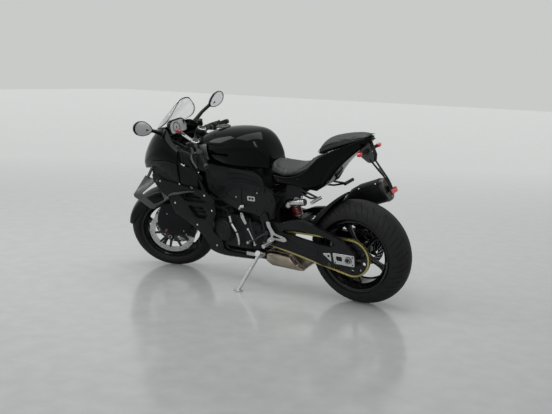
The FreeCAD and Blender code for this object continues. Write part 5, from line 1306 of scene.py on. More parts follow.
def make_swingarm():
    """Beams with a window and ribs, the chain adjusters, nuts and chain guard."""
    extruded("swingarm_beams", rounded(BEAM, 0.018), [rounded(BEAM_WINDOW, 0.014)], 0.1283,
             0.1577, "chassis", "frame_black", replaces=["swingarm"], bevel=0.005)
    ribs = [(0.535, 0.372), (0.535, 0.440), (0.490, 0.440), (0.330, 0.392), (0.210, 0.372),
            (0.200, 0.318), (0.240, 0.310), (0.400, 0.344)]
    inner = [(0.522, 0.384), (0.522, 0.428), (0.490, 0.428), (0.334, 0.382), (0.218, 0.363),
             (0.212, 0.326), (0.240, 0.321), (0.400, 0.355)]
    extruded("swingarm_ribs", rounded(ribs, 0.012), [rounded(inner, 0.008)], 0.157, 0.160,
             "chassis", "frame_black", bevel=0.0012)
    slab = [(-0.042, 0.291), (0.094, 0.295), (0.104, 0.361), (-0.042, 0.361)]
    wedge = [(0.112, 0.301), (0.174, 0.349), (0.118, 0.357)]
    slot = [(0.040, 0.314), (0.078, 0.314), (0.082, 0.344), (0.040, 0.344)]
    verts, faces = flip_sides(*join_parts([
        plate(rounded(slab, 0.010), [circle((0, REAR_AXLE.z), 0.023, 28), rounded(slot, 0.008)],
              0.1583, 0.1633, on_side),
        plate(rounded(wedge, 0.010), [circle((0.132, 0.337), 0.008, 16)], 0.1583, 0.1633,
              on_side)]))
    piece("adjuster_plates", verts, faces, "chassis", "aluminium_silver", None, ["axle_blocks"],
          angle=30, soft=0.0012)
    parts = []
    for sign in (1, -1):
        parts.append(turned_about((0, sign * 0.1575, REAR_AXLE.z), (0, sign, 0), [
            (0.0105, 0.004), (0.021, 0.004), (0.0225, 0.006), (0.0225, 0.011), (0.017, 0.013),
            (0.0165, 0.0145), (0.0105, 0.0145), (0.0105, 0.002)]))
        parts += [bolt((x, sign * 0.1633, z), (0, sign, 0), 0.0045, 0.003)
                  for x, z in ((0.085, 0.304), (-0.030, 0.303), (-0.030, 0.350))]
        parts.append(rod_between((-0.080, sign * 0.143, 0.330), (-0.046, sign * 0.143, 0.330),
                                 0.005, 12, 0.001))
        parts.append(bolt((-0.062, sign * 0.143, 0.330), (-1, 0, 0), 0.009, 0.007))
    group("axle_nuts", parts, "chassis", "levers_grey", angle=30)
    threads = []
    for sign in (1, -1):
        threads.append(turned_about((0.130, sign * 0.158, 0.284), (0, sign, 0), [
            (0.0042, 0.001), (0.0105, 0.001), (0.011, 0.0025), (0.0105, 0.0035),
            (0.0045, 0.0035), (0.0042, -0.012)]))
    group("bobbin_seats", threads, "chassis", "steel_dark", angle=30)
    guard = [(0.500, 0.452), (0.440, 0.458), (0.300, 0.462), (0.120, 0.452), (0.060, 0.438),
             (0.100, 0.430), (0.300, 0.452), (0.500, 0.444)]
    extruded("chain_guard", rounded(guard, 0.006), [], 0.099, 0.126, "chassis",
             "plastic_black", both=False, bevel=0.002)


SILENCER_START = Vector((0.185, -0.206, 0.566))
SILENCER_WAY = Vector((-262, -4, 100)).normalized()


def make_silencer():
    """Can with an end ring, an outlet, a shield and bolts."""
    start, way = SILENCER_START, SILENCER_WAY
    side = Vector((0, 1, 0)) - way * way.y
    side.normalize()
    upward = way.cross(side).normalized()
    if upward.z < 0:
        upward = -upward

    def ring(along, wide, tall, steps=40):
        rows = []
        for k in range(steps):
            a = 2 * math.pi * k / steps
            u = math.copysign(abs(math.cos(a)) ** 0.72, math.cos(a)) * wide
            v = math.copysign(abs(math.sin(a)) ** 0.80, math.sin(a)) * tall
            rows.append(tuple(start + way * along + side * u + upward * v))
        return rows

    body = [ring(0.0004, 0.029, 0.030), ring(0.020, 0.036, 0.042), ring(0.062, 0.051, 0.066),
            ring(0.090, 0.0535, 0.0715), ring(0.272, 0.0540, 0.0735), ring(0.276, 0.0530, 0.0725)]
    piece("silencer_can", *skin(body, closed=True), "chassis", "frame_black", None,
          ["silencer"], angle=50)
    cap = [ring(0.274, 0.0545, 0.0745), ring(0.286, 0.0545, 0.0745), ring(0.296, 0.0520, 0.0710),
           ring(0.300, 0.0490, 0.0675), ring(0.299, 0.0440, 0.0620), ring(0.290, 0.0410, 0.0580)]
    piece("silencer_ring", *skin(cap, closed=True), "chassis", "steel_dark", angle=50)
    inner = [ring(0.291, 0.042, 0.059), ring(0.284, 0.030, 0.044), ring(0.284, 0.024, 0.024),
             ring(0.296, 0.0235, 0.0235), ring(0.296, 0.0215, 0.0215), ring(0.236, 0.0215, 0.0215),
             ring(0.236, 0.001, 0.001)]
    piece("silencer_outlet", *skin(inner, closed=True), "chassis", "steel_dark", angle=40)
    shield = []
    for along in (0.040, 0.120, 0.200, 0.262):
        loop = ring(along, 0.0555 if along > 0.05 else 0.045, 0.0755 if along > 0.05 else 0.054)
        shield.append([loop[k % 40] for k in range(2, 15)])
    sheet("silencer_shield", [skin(shield)], "plastic_black", both=False, wall=0.002)
    bolts = [bolt(Vector(ring(along, 0.0565, 0.0765)[k]),
                  Vector(ring(along, 0.0565, 0.0765)[k]) - (start + way * along), 0.006, 0.003)
             for along in (0.130, 0.250) for k in (5, 12)]
    group("silencer_bolts", bolts, "chassis", "aluminium_silver", angle=30)


def make_exhaust_box():
    """Pressed box under the engine, with a seam round it."""
    outline = [(0.650, 0.256), (0.650, 0.196), (0.604, 0.168), (0.380, 0.160), (0.362, 0.178),
               (0.402, 0.198), (0.462, 0.258), (0.596, 0.266)]
    rows = []
    for y, inset in ((-0.092, 0.020), (-0.082, 0.006), (-0.060, 0.0), (0.060, 0.0),
                     (0.082, 0.006), (0.092, 0.020)):
        centre = Vector((0.520, 0.215))
        loop = []
        for point in rounded(outline, 0.014, 3):
            away = Vector(point) - centre
            loop.append((centre.x + away.x * (1 - inset / 0.13), y,
                         centre.y + away.y * (1 - inset / 0.052)))
        rows.append(loop)
    piece("exhaust_box_skin", *skin(rows, closed=True, caps=True), "chassis",
          "exhaust_bronze", None, ["exhaust_box"], angle=40)
    seam = []
    for y in (-0.061, 0.061):
        loop = [(p[0], y, p[1]) for p in rounded(outline, 0.014, 3)]
        seam.append(skin(tube_rows(loop + loop[:1], 0.0022, 8), closed=True))
    group("exhaust_seams", seam, "chassis", "exhaust_bronze", angle=60)


def coil(centre, way, radius, wire, rounds, length, steps=18):
    """A helical spring."""
    way = Vector(way).normalized()
    side = way.orthogonal().normalized()
    other = way.cross(side)
    path = []
    for k in range(int(rounds * steps) + 1):
        a = 2 * math.pi * k / steps
        path.append(Vector(centre) + way * (length * k / (rounds * steps))
                    + (side * math.cos(a) + other * math.sin(a)) * radius)
    return tube(path, wire, 8)


def make_shock():
    """Spring, damper body with its bottle, and the canister beside it."""
    low = Vector((0.424, 0, 0.492))
    way = (Vector((0.456, 0, 0.622)) - low).normalized()
    piece("shock_coil", *coil(low + way * 0.026, way, 0.0265, 0.0045, 5.4, 0.073), "chassis",
          "spring_red", None, ["shock_spring"], angle=60)
    rings = []
    bottle = Vector((0.446, 0.036, 0.598))
    section = [(0.0, 0.0), (0.017, 0.0), (0.019, 0.002)]
    section += ribs(0.006, 0.0065, 7, [(0.019, 0), (0.0175, 0.001), (0.0175, 0.003),
                                       (0.019, 0.004)])
    section += [(0.019, 0.056), (0.016, 0.058), (0.008, 0.058), (0.008, 0.052), (0.0, 0.052)]
    rings.append(turned_about(bottle, (0, 1, 0), section))
    rings.append(turned_about(low, way, [(0.0, 0.002), (0.014, 0.002), (0.014, 0.010),
                                         (0.030, 0.011), (0.031, 0.014), (0.030, 0.021),
                                         (0.018, 0.023), (0.018, 0.102), (0.030, 0.104),
                                         (0.031, 0.108), (0.030, 0.120), (0.016, 0.124),
                                         (0.013, 0.132), (0.0, 0.132)]))
    rings.append(rod_between((0.456, -0.016, 0.622), (0.456, 0.016, 0.622), 0.015, 20, 0.002))
    rings.append(rod_between((0.453, 0.004, 0.608), (0.446, 0.044, 0.604), 0.007, 12))
    tank, end = Vector((0.432, 0.078, 0.612)), Vector((0.318, 0.088, 0.631))
    section = [(0.0, 0.0), (0.015, 0.0), (0.021, 0.004), (0.021, 0.030), (0.0195, 0.031),
               (0.0195, 0.034), (0.021, 0.035), (0.021, 0.098), (0.0185, 0.100),
               (0.0185, 0.104), (0.022, 0.105), (0.022, 0.112), (0.019, 0.115), (0.0, 0.115)]
    rings.append(turned_about(tank, (end - tank).normalized(), section))
    for share in (0.3, 0.75):
        at = tank + (end - tank) * share
        rings.append(turned_about(at, end - tank, [(0.0205, -0.005), (0.0235, -0.004),
                                                   (0.0235, 0.004), (0.0205, 0.005)]))
        rings.append(rod_between(at + Vector((0, -0.004, 0.018)), at + Vector((0, -0.012, 0.062)),
                                 0.006, 12))
    rings.append(rod_between((0.446, 0.074, 0.602), tank + Vector((-0.004, 0, 0)), 0.007, 12))
    group("shock_body", rings, "chassis", "aluminium_silver", None, ["shock_absorber"], angle=35)


# ---------------------------------------------------------------- fork and cockpit

FORK_UP = Vector((-math.sin(RAKE), 0, math.cos(RAKE)))
FORK_AHEAD = Vector((math.cos(RAKE), 0, math.sin(RAKE)))
LEG = 0.105
STEM_BACK = 0.02865
BAR_FOOT = 0.7202
BAR_BACK, BAR_DROOP = math.radians(26), math.radians(9.5)


def on_fork(ahead, left, along):
    """A point ahead of, left of and up along the fork from the front axle."""
    return FRONT_AXLE + FORK_AHEAD * ahead + Vector((0, left, 0)) + FORK_UP * along


def on_bar(sign, distance, ahead=0.0, up=0.0):
    """A point along a handlebar, or ahead of its axis and above it."""
    way = bar_way(sign)
    forward = (way.cross(Vector((0, 0, 1))) * sign).normalized()
    return on_fork(0, sign * LEG, BAR_FOOT) + way * distance + forward * ahead + Vector((0, 0, up))


def bar_way(sign):
    """Direction of a handlebar, outwards, swept back and down."""
    return Vector((-math.sin(BAR_BACK) * math.cos(BAR_DROOP),
                   sign * math.cos(BAR_BACK) * math.cos(BAR_DROOP), -math.sin(BAR_DROOP)))


def beside_fork(u, v, w):
    """Ahead of, up along and out from the fork."""
    return tuple(on_fork(u, w, v))


def fork_plate(outline, holes, low, high):
    """A plate square to the fork from an outline of (ahead, left) points."""
    return plate(outline, holes, low, high, lambda u, v, w: tuple(on_fork(u, v, w)))


def make_yokes():
    """Both fork clamps with their slots and bolts, the stem and its nut."""
    top = [(0.030, 0.040), (0.036, 0.075), (0.040, 0.112), (0.012, 0.143), (-0.026, 0.138),
           (-0.044, 0.100), (-0.052, 0.050), (-0.056, 0.0)]
    low = [(0.028, 0.040), (0.040, 0.085), (0.040, 0.116), (0.012, 0.144), (-0.026, 0.138),
           (-0.042, 0.100), (-0.060, 0.040), (-0.062, 0.0)]
    parts = []
    for half, start, end in ((top, 0.680, 0.702), (low, 0.478, 0.510)):
        outline = half + [(u, -v) for u, v in half[-2::-1]]
        holes = [circle((0, sign * LEG), 0.0286, 32) for sign in (1, -1)]
        if start > 0.6:
            holes += [rounded([(-0.030, sign * 0.030), (-0.034, sign * 0.062),
                               (0.012, sign * 0.062), (0.010, sign * 0.030)], 0.006)
                      for sign in (1, -1)]
        parts.append(fork_plate(rounded(outline, 0.012), holes, start, end))
    parts.append(rod_between(on_fork(-STEM_BACK, 0, 0.470), on_fork(-STEM_BACK, 0, 0.690), 0.0148))
    group("yoke_plates", parts, "front_end", "frame_black", None, ["yokes"], soft=0.002)
    bright, dark = [], []
    for sign in (1, -1):
        head = on_fork(0, sign * LEG, 0.738)
        bright.append(turned_about(head, FORK_UP, [
            (0.0245, 0.0), (0.0288, 0.0), (0.0288, 0.006), (0.0275, 0.009), (0.0215, 0.010),
            (0.0205, 0.007), (0.0120, 0.007)], 40))
        dark.append(turned_about(head, FORK_UP, [
            (0.0205, 0.006), (0.0205, 0.013), (0.0190, 0.0145), (0.0060, 0.0145),
            (0.0055, 0.012), (0.0, 0.012)], 6))
        bright.append(turned_about(on_fork(0, sign * LEG, 0.664), FORK_UP, [
            (0.0281, 0.0), (0.0296, 0.001), (0.0296, 0.013), (0.0281, 0.014)], 40))
        for along in (0.486, 0.502):
            dark.append(bolt(on_fork(0.030, sign * 0.126, along), FORK_AHEAD, 0.006, 0.012))
        bright.append(bolt(on_fork(-0.036, sign * 0.127, 0.691), -FORK_AHEAD, 0.005, 0.009))
    bright.append(turned_about(on_fork(-STEM_BACK, 0, 0.702), FORK_UP, [
        (0.021, 0.0), (0.021, 0.004), (0.017, 0.006), (0.017, 0.014), (0.015, 0.016),
        (0.009, 0.016), (0.009, 0.006), (0.0, 0.006)], 12))
    group("fork_cap_rings", bright, "front_end", "aluminium_silver")
    group("fork_cap_nuts", dark, "front_end", "levers_grey")


def make_bars():
    """Clip-on bars, grips with ribs, switch pods, levers and the two fluid pots."""
    bars, rubber, pods, grey, bright, red = [], [], [], [], [], []
    for sign in (1, -1):
        way = bar_way(sign)
        bars.append(turned_about(on_fork(0, sign * LEG, 0.7024), FORK_UP, [
            (0.0285, 0.0), (0.0350, 0.0), (0.0362, 0.002), (0.0362, 0.030), (0.0350, 0.032),
            (0.0285, 0.032), (0.0285, 0.0)], 40))
        bars.append(rod_between(on_bar(sign, 0.030), on_bar(sign, 0.290), 0.0110, 20))
        bars.append(turned_about(on_bar(sign, 0.030), way, [
            (0.0, 0.0), (0.018, 0.0), (0.017, 0.014), (0.0125, 0.024), (0.0110, 0.026)], 24))
        grey.append(turned_about(on_bar(sign, 0.2748), way, [
            (0.0, 0.0), (0.0165, 0.0), (0.0170, 0.002), (0.0160, 0.016), (0.0120, 0.019),
            (0.0060, 0.019), (0.0055, 0.014), (0.0, 0.014)], 28))
        bright.append(bolt(on_fork(-0.020, sign * (LEG + 0.030), 0.718),
                           Vector((-0.6, sign * 0.8, 0)), 0.0055, 0.008))
        section = [(0.0112, 0.158), (0.0210, 0.158), (0.0214, 0.160), (0.0205, 0.162)]
        section += ribs(0.163, 0.0045, 24, [(0.0172, 0), (0.0172, 0.0026), (0.0162, 0.0032),
                                            (0.0162, 0.0042)])
        section += [(0.0170, 0.2725), (0.0160, 0.274), (0.0112, 0.274)]
        rubber.append(turned_about(on_bar(sign, 0), way, section, 28))
        forward = (way.cross(Vector((0, 0, 1))) * sign).normalized()
        above = forward.cross(way).normalized() * -sign
        if above.z < 0:
            above = -above
        loops = []
        for along, wide, tall in ((0.1235, 0.017, 0.019), (0.126, 0.021, 0.024),
                                  (0.136, 0.023, 0.027), (0.150, 0.022, 0.024),
                                  (0.1565, 0.019, 0.021)):
            loops.append([tuple(on_bar(sign, along) + forward * wide * superround(a, 0)
                                + above * tall * superround(a, 1)) for a in turns(32)])
        pods.append(skin(loops, closed=True, caps=True))
        for along, turn in ((0.131, 0.9), (0.141, 0.5), (0.150, 1.2)):
            seat = on_bar(sign, along) - forward * 0.020 * math.cos(turn) \
                + above * 0.022 * math.sin(turn)
            push = above * math.sin(turn) - forward * math.cos(turn)
            target = red if sign < 0 and along < 0.135 else grey
            target.append(bolt(seat, push, 0.0042, 0.005, 8))
        grey.append(turned_about(on_bar(sign, 0.098), way, [
            (0.0112, 0.0), (0.0175, 0.0), (0.0180, 0.002), (0.0180, 0.020), (0.0175, 0.022),
            (0.0112, 0.022), (0.0112, 0.0)], 24))
        grey.append(rod_between(on_bar(sign, 0.110, 0.014), on_bar(sign, 0.110, 0.047), 0.0095,
                                20, 0.002))
        grey.append(turned_about(on_bar(sign, 0.110, 0.046, -0.010), (0, 0, 1), [
            (0.0, 0.0), (0.011, 0.0), (0.012, 0.002), (0.012, 0.018), (0.011, 0.020),
            (0.0, 0.020)], 20))
        blade = [on_bar(sign, distance, ahead) for distance, ahead in (
            (0.110, 0.047), (0.150, 0.060), (0.200, 0.063), (0.245, 0.060), (0.272, 0.059))]
        grey.append(hose([tuple(p) for p in blade], lambda share: 0.0078 - 0.0030 * share, 12, 5))
        grey.append(turned_about(on_bar(sign, 0.266, 0.059), way, [
            (0.0, 0.0), (0.005, 0.001), (0.0072, 0.005), (0.0072, 0.009), (0.005, 0.013),
            (0.0, 0.014)], 16))
        grey.append(rod_between(on_bar(sign, 0.050, 0.034, 0.004),
                                on_bar(sign, 0.112, 0.036, 0.004), 0.0105, 20, 0.002))
        pot = on_bar(sign, 0.062 if sign < 0 else 0.050, 0.050, 0.022)
        tall = 0.034 if sign < 0 else 0.020
        reach = 0.0185 if sign < 0 else 0.011
        pods.append(turned_about(pot, (0, 0, 1), [
            (0.0, 0.0), (reach - 0.002, 0.0), (reach, 0.003), (reach, tall), (0.0, tall)], 28))
        bars.append(turned_about(pot + Vector((0, 0, tall)), (0, 0, 1), [
            (0.0, 0.0), (reach + 0.002, 0.0), (reach + 0.002, 0.005), (reach - 0.002, 0.0075),
            (0.0, 0.0075)], 28))
        bars.append(rod_between(on_bar(sign, 0.062, 0.036, 0.006), pot + Vector((0, 0, 0.004)),
                                0.006, 12))
    group("clip_on_bars", bars, "front_end", "frame_black", None, ["handlebars"])
    group("ribbed_grips", rubber, "front_end", "rubber_black", None, ["grips"], angle=40)
    group("switch_housings", pods, "front_end", "plastic_black", None, ["switch_pods"], angle=40)
    group("lever_blades", grey, "front_end", "levers_grey", None, ["levers"], angle=35)
    group("clip_bolts", bright, "front_end", "aluminium_silver")
    group("stop_button", red, "front_end", "lens_red")


def superround(angle, axis):
    """Share of the half width of a rounded box at an angle round it."""
    value = math.sin(angle) if axis else math.cos(angle)
    return math.copysign(abs(value) ** 0.6, value)


def make_damper():
    """Silver guide on the left of the top clamp, and the red adjuster that it carries."""
    arm = [(0.026, 0.124), (0.020, 0.100), (0.082, 0.056), (0.094, 0.062), (0.098, 0.078)]
    verts, faces = fork_plate(rounded(arm, 0.006), [circle((0.084, 0.069), 0.0045, 12)],
                              0.7405, 0.7465)
    piece("damper_guide", verts, faces, "front_end", "aluminium_silver", soft=0.0012)
    low = on_fork(0.078, 0.070, 0.744)
    tip = on_fork(0.136, 0.044, 0.748)
    way = (tip - low).normalized()
    group("damper_body", [turned_about(low, way, [(0.0, 0.0), (0.009, 0.0), (0.010, 0.002),
                                                  (0.010, 0.034), (0.0, 0.034)], 24),
                          rod_between(on_fork(0.034, 0.070, 0.700), on_fork(0.062, 0.072, 0.742),
                                      0.007, 14)], "front_end", "levers_grey")
    section = [(0.0, 0.036), (0.0135, 0.036), (0.0145, 0.038)]
    section += ribs(0.042, 0.006, 3, [(0.0145, 0), (0.0130, 0.0015), (0.0145, 0.003)])
    section += [(0.0135, 0.064), (0.0, 0.064)]
    piece("damper_knob", *turned_about(low, way, section, 24), "front_end", "lens_red",
          "spring_red")


def make_fork_details():
    """Seals, guard ducts over the feet, and calipers with pistons and bolts."""
    dark, bright = [], []
    for sign in (1, -1):
        dark.append(turned_about(on_fork(0, sign * LEG, 0.256), FORK_UP, [
            (0.0235, 0.0), (0.0300, 0.0), (0.0305, 0.002), (0.0305, 0.016), (0.0285, 0.018)], 36))
        dark.append(turned_about(on_fork(0, sign * LEG, 0.060), FORK_UP, [
            (0.0275, 0.0), (0.0285, 0.001), (0.0265, 0.006), (0.0235, 0.008)], 36))
    group("fork_seals", dark, "front_end", "rubber_black")
    duct = [(0.056, 0.251), (0.111, 0.221), (0.118, 0.127), (0.102, 0.056), (0.067, 0.020),
            (0.010, 0.022), (-0.039, 0.024), (-0.109, 0.061), (-0.121, 0.098),
            (-0.121, 0.203), (-0.086, 0.241)]
    outline = rounded(duct, 0.016)
    grid = [(u * 0.022 - 0.110, v * 0.022 + 0.030) for u in range(11) for v in range(11)]
    inner = [point for point in grid if within(point, duct)]
    flat, faces = inside_of(outline, [], inner)
    verts = []
    for point in flat:
        edge = min((Vector(a) - point).length for a in outline)
        ridge = max(0.0, 1 - abs(point.x - 0.034) / 0.022)
        bow = 0.007 * min(1.0, edge / 0.030) + 0.004 * ridge * min(1.0, edge / 0.02)
        verts.append(tuple(on_fork(point.x, 0.1325 + bow, point.y)))
    verts, faces = flip_sides(verts, faces)
    item = piece("fork_ducts", verts, faces, "front_end", "satin_black", angle=50)
    face_out(item)
    modify(item, "SOLIDIFY", thickness=0.003, offset=-1)
    soft_edges(item, 0.001)
    marks = []
    for sign in (1, -1):
        mark = [(0.036 + 0.008 * u, 0.046 + 0.018 * v) for u, v in circle((0, 0), 1, 24)]
        marks.append(side_plate(mark, [], sign, 0.136, 0.1415, beside_fork))
        for u, v in ((0.059, 0.172), (-0.060, 0.190), (-0.080, 0.080)):
            bright.append(bolt(on_fork(u, sign * 0.1390, v), (0, sign, 0), 0.0045, 0.003))
    group("fork_reflectors", marks, "front_end", "lens_red", "spring_red", soft=0.0015)
    calipers = []
    for sign in (1, -1):
        for inset, a, b in ((0.0, 0.0912, 0.0960), (0.006, 0.0960, 0.0995)):
            body = [(-0.158 + inset, 0.036 + inset), (-0.150 + inset, 0.026 + inset),
                    (-0.098, 0.026 + inset), (-0.092 - inset, 0.036),
                    (-0.092 - inset, 0.092), (-0.100, 0.102 - inset),
                    (-0.150, 0.102 - inset), (-0.158 + inset, 0.090)]
            calipers.append(side_plate(rounded(body, 0.006), [], sign, a, b, beside_fork))
        for along in (0.046, 0.080):
            calipers.append(turned_about(on_fork(-0.124, sign * 0.0992, along), (0, sign, 0), [
                (0.0155, 0.0), (0.0155, 0.003), (0.0140, 0.0045), (0.0, 0.0045)], 28))
        for along in (0.036, 0.092):
            bright.append(bolt(on_fork(-0.099, sign * 0.0995, along), (0, sign, 0), 0.005, 0.006))
    group("caliper_faces", calipers, "front_end", "caliper_black", soft=0.0012)
    group("caliper_bolts", bright, "front_end", "aluminium_silver")


DASH_PLACE = Vector((1.345, 0, 1.018))
DASH_TILT = math.radians(12)


def make_dash():
    """Rounded instrument housing with a grey face and its dial, behind the screen."""
    turn = Matrix.Rotation(DASH_TILT, 3, "Y")
    outline = rounded([(-0.086, -0.046), (0.086, -0.046), (0.092, 0.012), (0.062, 0.052),
                       (-0.062, 0.052), (-0.092, 0.012)], 0.024)

    def place(u, v, w):
        return tuple(DASH_PLACE + turn @ Vector((w, u, v)))

    piece("dash_housing", *plate(outline, [], -0.010, 0.013, place), "chassis", "plastic_black",
          None, ["dash"], soft=0.004)
    face = rounded([(-0.076, -0.038), (0.076, -0.038), (0.081, 0.010), (0.056, 0.043),
                    (-0.056, 0.043), (-0.081, 0.010)], 0.018)
    piece("dash_glass", *plate(face, [], -0.0125, -0.0095, place), "chassis", "plastic_black",
          "dial_grey", soft=0.001)
    back = turn @ Vector((-1, 0, 0))
    at = Vector(place(0.020, 0.0, -0.0125))
    ring = [turned_about(at, back, [(0.0320, 0.0), (0.0345, 0.0), (0.0340, 0.0025),
                                    (0.0325, 0.0025), (0.0320, 0.0)], 48)]
    for k in range(11):
        spin = math.radians(-30 + 24 * k)
        spoke = turn @ Vector((0, math.cos(spin), math.sin(spin)))
        ring.append(rod_between(at + back * 0.001 + spoke * 0.026,
                                at + back * 0.001 + spoke * 0.031, 0.0008, 6))
    ring.append(rod_between(at + back * 0.0015, at + back * 0.0015
                            + turn @ Vector((0, 0.020, -0.016)), 0.0010, 6))
    ring.append(turned_about(at, back, [(0.0, 0.0), (0.005, 0.0), (0.005, 0.002),
                                        (0.0, 0.0025)], 20))
    group("dash_dial", ring, "chassis", "plastic_black", angle=40)


def make_ducts():
    """Moulded air ducts from the nose to the frame, with clips and cables by them."""
    ducts, cables, clips = [], [], []
    for sign in (1, -1):
        rows = []
        for x, y, z, wide, tall in ((1.250, 0.184, 0.880, 0.012, 0.040),
                                    (1.200, 0.178, 0.872, 0.015, 0.046),
                                    (1.150, 0.172, 0.860, 0.015, 0.048),
                                    (1.090, 0.166, 0.842, 0.014, 0.047),
                                    (1.030, 0.160, 0.826, 0.013, 0.044),
                                    (0.985, 0.157, 0.815, 0.012, 0.040)):
            rows.append([(x, sign * (y + wide * superround(a, 0)), z + tall * superround(a, 1))
                         for a in turns(28)])
        ducts.append(skin(rows, closed=True, caps=True))
        for x, y, z in ((1.170, 0.190, 0.868), (1.060, 0.180, 0.834)):
            ring = [(x, sign * (y - 0.015 + 0.0175 * superround(a, 0)),
                     z + 0.050 * superround(a, 1))
                    for a in (2 * math.pi * k / 28 for k in range(29))]
            clips.append(skin(tube_rows(ring, 0.003, 8), closed=True))
        for shift, low in ((0.0, 0.0), (0.012, -0.020), (0.024, -0.004)):
            path = [(1.205, sign * 0.176, 0.930 + low), (1.160, sign * (0.186 - shift / 3), 0.900),
                    (1.120, sign * 0.187, 0.850 - shift), (1.080, sign * 0.182, 0.790 - shift),
                    (1.030, sign * 0.172, 0.740 + low)]
            cables.append(hose(path, 0.0045, 10, 5))
    group("air_ducts", ducts, "chassis", "plastic_black", angle=40)
    group("duct_clips", clips, "chassis", "levers_grey", angle=60)
    group("side_cables", cables, "chassis", "rubber_black", angle=60)


def make_tank_patch():
    """Satin panel at the front corner of the tank."""
    strip("tank_patch", [(1.090, 0.106, 0.936), (1.046, 0.124, 0.946), (1.004, 0.133, 0.956)],
          [(1.058, 0.134, 0.838), (1.012, 0.151, 0.850), (0.966, 0.162, 0.864)], 0.010,
          "satin_black", "wing_grey", wall=0.002)


# ---------------------------------------------------------------- engine and frame

BLOCK_FOOT = Vector((0.925, 0, 0.515))
BLOCK_UP = Vector((0.339, 0, 0.941))
BLOCK_AHEAD = Vector((0.941, 0, -0.339))


def make_engine():
    """Crankcase, cylinder block and head with ribs, seams and bolts."""
    parts = [plate(rounded([(0.640, 0.318), (0.690, 0.268), (0.985, 0.266), (1.002, 0.300),
                            (1.002, 0.480), (0.970, 0.513), (0.690, 0.513), (0.640, 0.470)],
                           0.014), [], -0.097, 0.097, on_side)]
    side = rounded([(0.715, 0.300), (0.745, 0.284), (0.975, 0.284), (0.998, 0.320),
                    (0.998, 0.470), (0.972, 0.505), (0.735, 0.505), (0.715, 0.480)], 0.016)
    for sign in (1, -1):
        parts.append(side_plate(side, [], sign, 0.0975, 0.134, on_side))
        low, high = sorted((sign * 0.132, sign * 0.1372))
        for x in (0.740, 0.770, 0.800):
            rib = rounded(corners(x, 0.292, x + 0.006, 0.350), 0.002)
            parts.append(plate(rib, [], low, high, on_side))
    for start, end, chord, half in ((-0.030, 0.050, 0.079, 0.125), (0.0505, 0.0525, 0.076, 0.122),
                                    (0.053, 0.095, 0.081, 0.129), (0.0955, 0.0975, 0.064, 0.120),
                                    (0.098, 0.135, 0.065, 0.121)):
        outline = rounded(corners(-chord, -half, chord, half), 0.014)
        parts.append(plate(outline, [], start, end, on_block))
    for along in (-0.012, 0.002, 0.016, 0.030):
        outline = rounded(corners(-0.0835, -0.1290, 0.0835, 0.1290), 0.016)
        parts.append(plate(outline, [], along, along + 0.004, on_block))
    group("engine_casting", parts, "chassis", "engine_grey", None, ["engine"], soft=0.003)
    bolts = []
    for sign in (1, -1):
        for x, z in ((0.728, 0.318), (0.728, 0.400), (0.728, 0.486), (0.800, 0.494),
                     (0.880, 0.494), (0.985, 0.486), (0.988, 0.330)):
            bolts.append(bolt((x, sign * 0.134, z), (0, sign, 0), 0.0055, 0.006))
        for chord in (-0.045, 0.045):
            bolts.append(bolt(on_block(chord, sign * 0.129, 0.074), (0, sign, 0), 0.006, 0.006))
            bolts.append(bolt(on_block(chord, sign * 0.121, 0.116), (0, sign, 0), 0.005, 0.005))
    group("engine_bolts", bolts, "chassis", "steel_dark")


def on_block(chord, left, along):
    """A point ahead of, left of and up along the cylinder block."""
    return tuple(BLOCK_FOOT + BLOCK_AHEAD * chord + Vector((0, left, 0)) + BLOCK_UP * along)


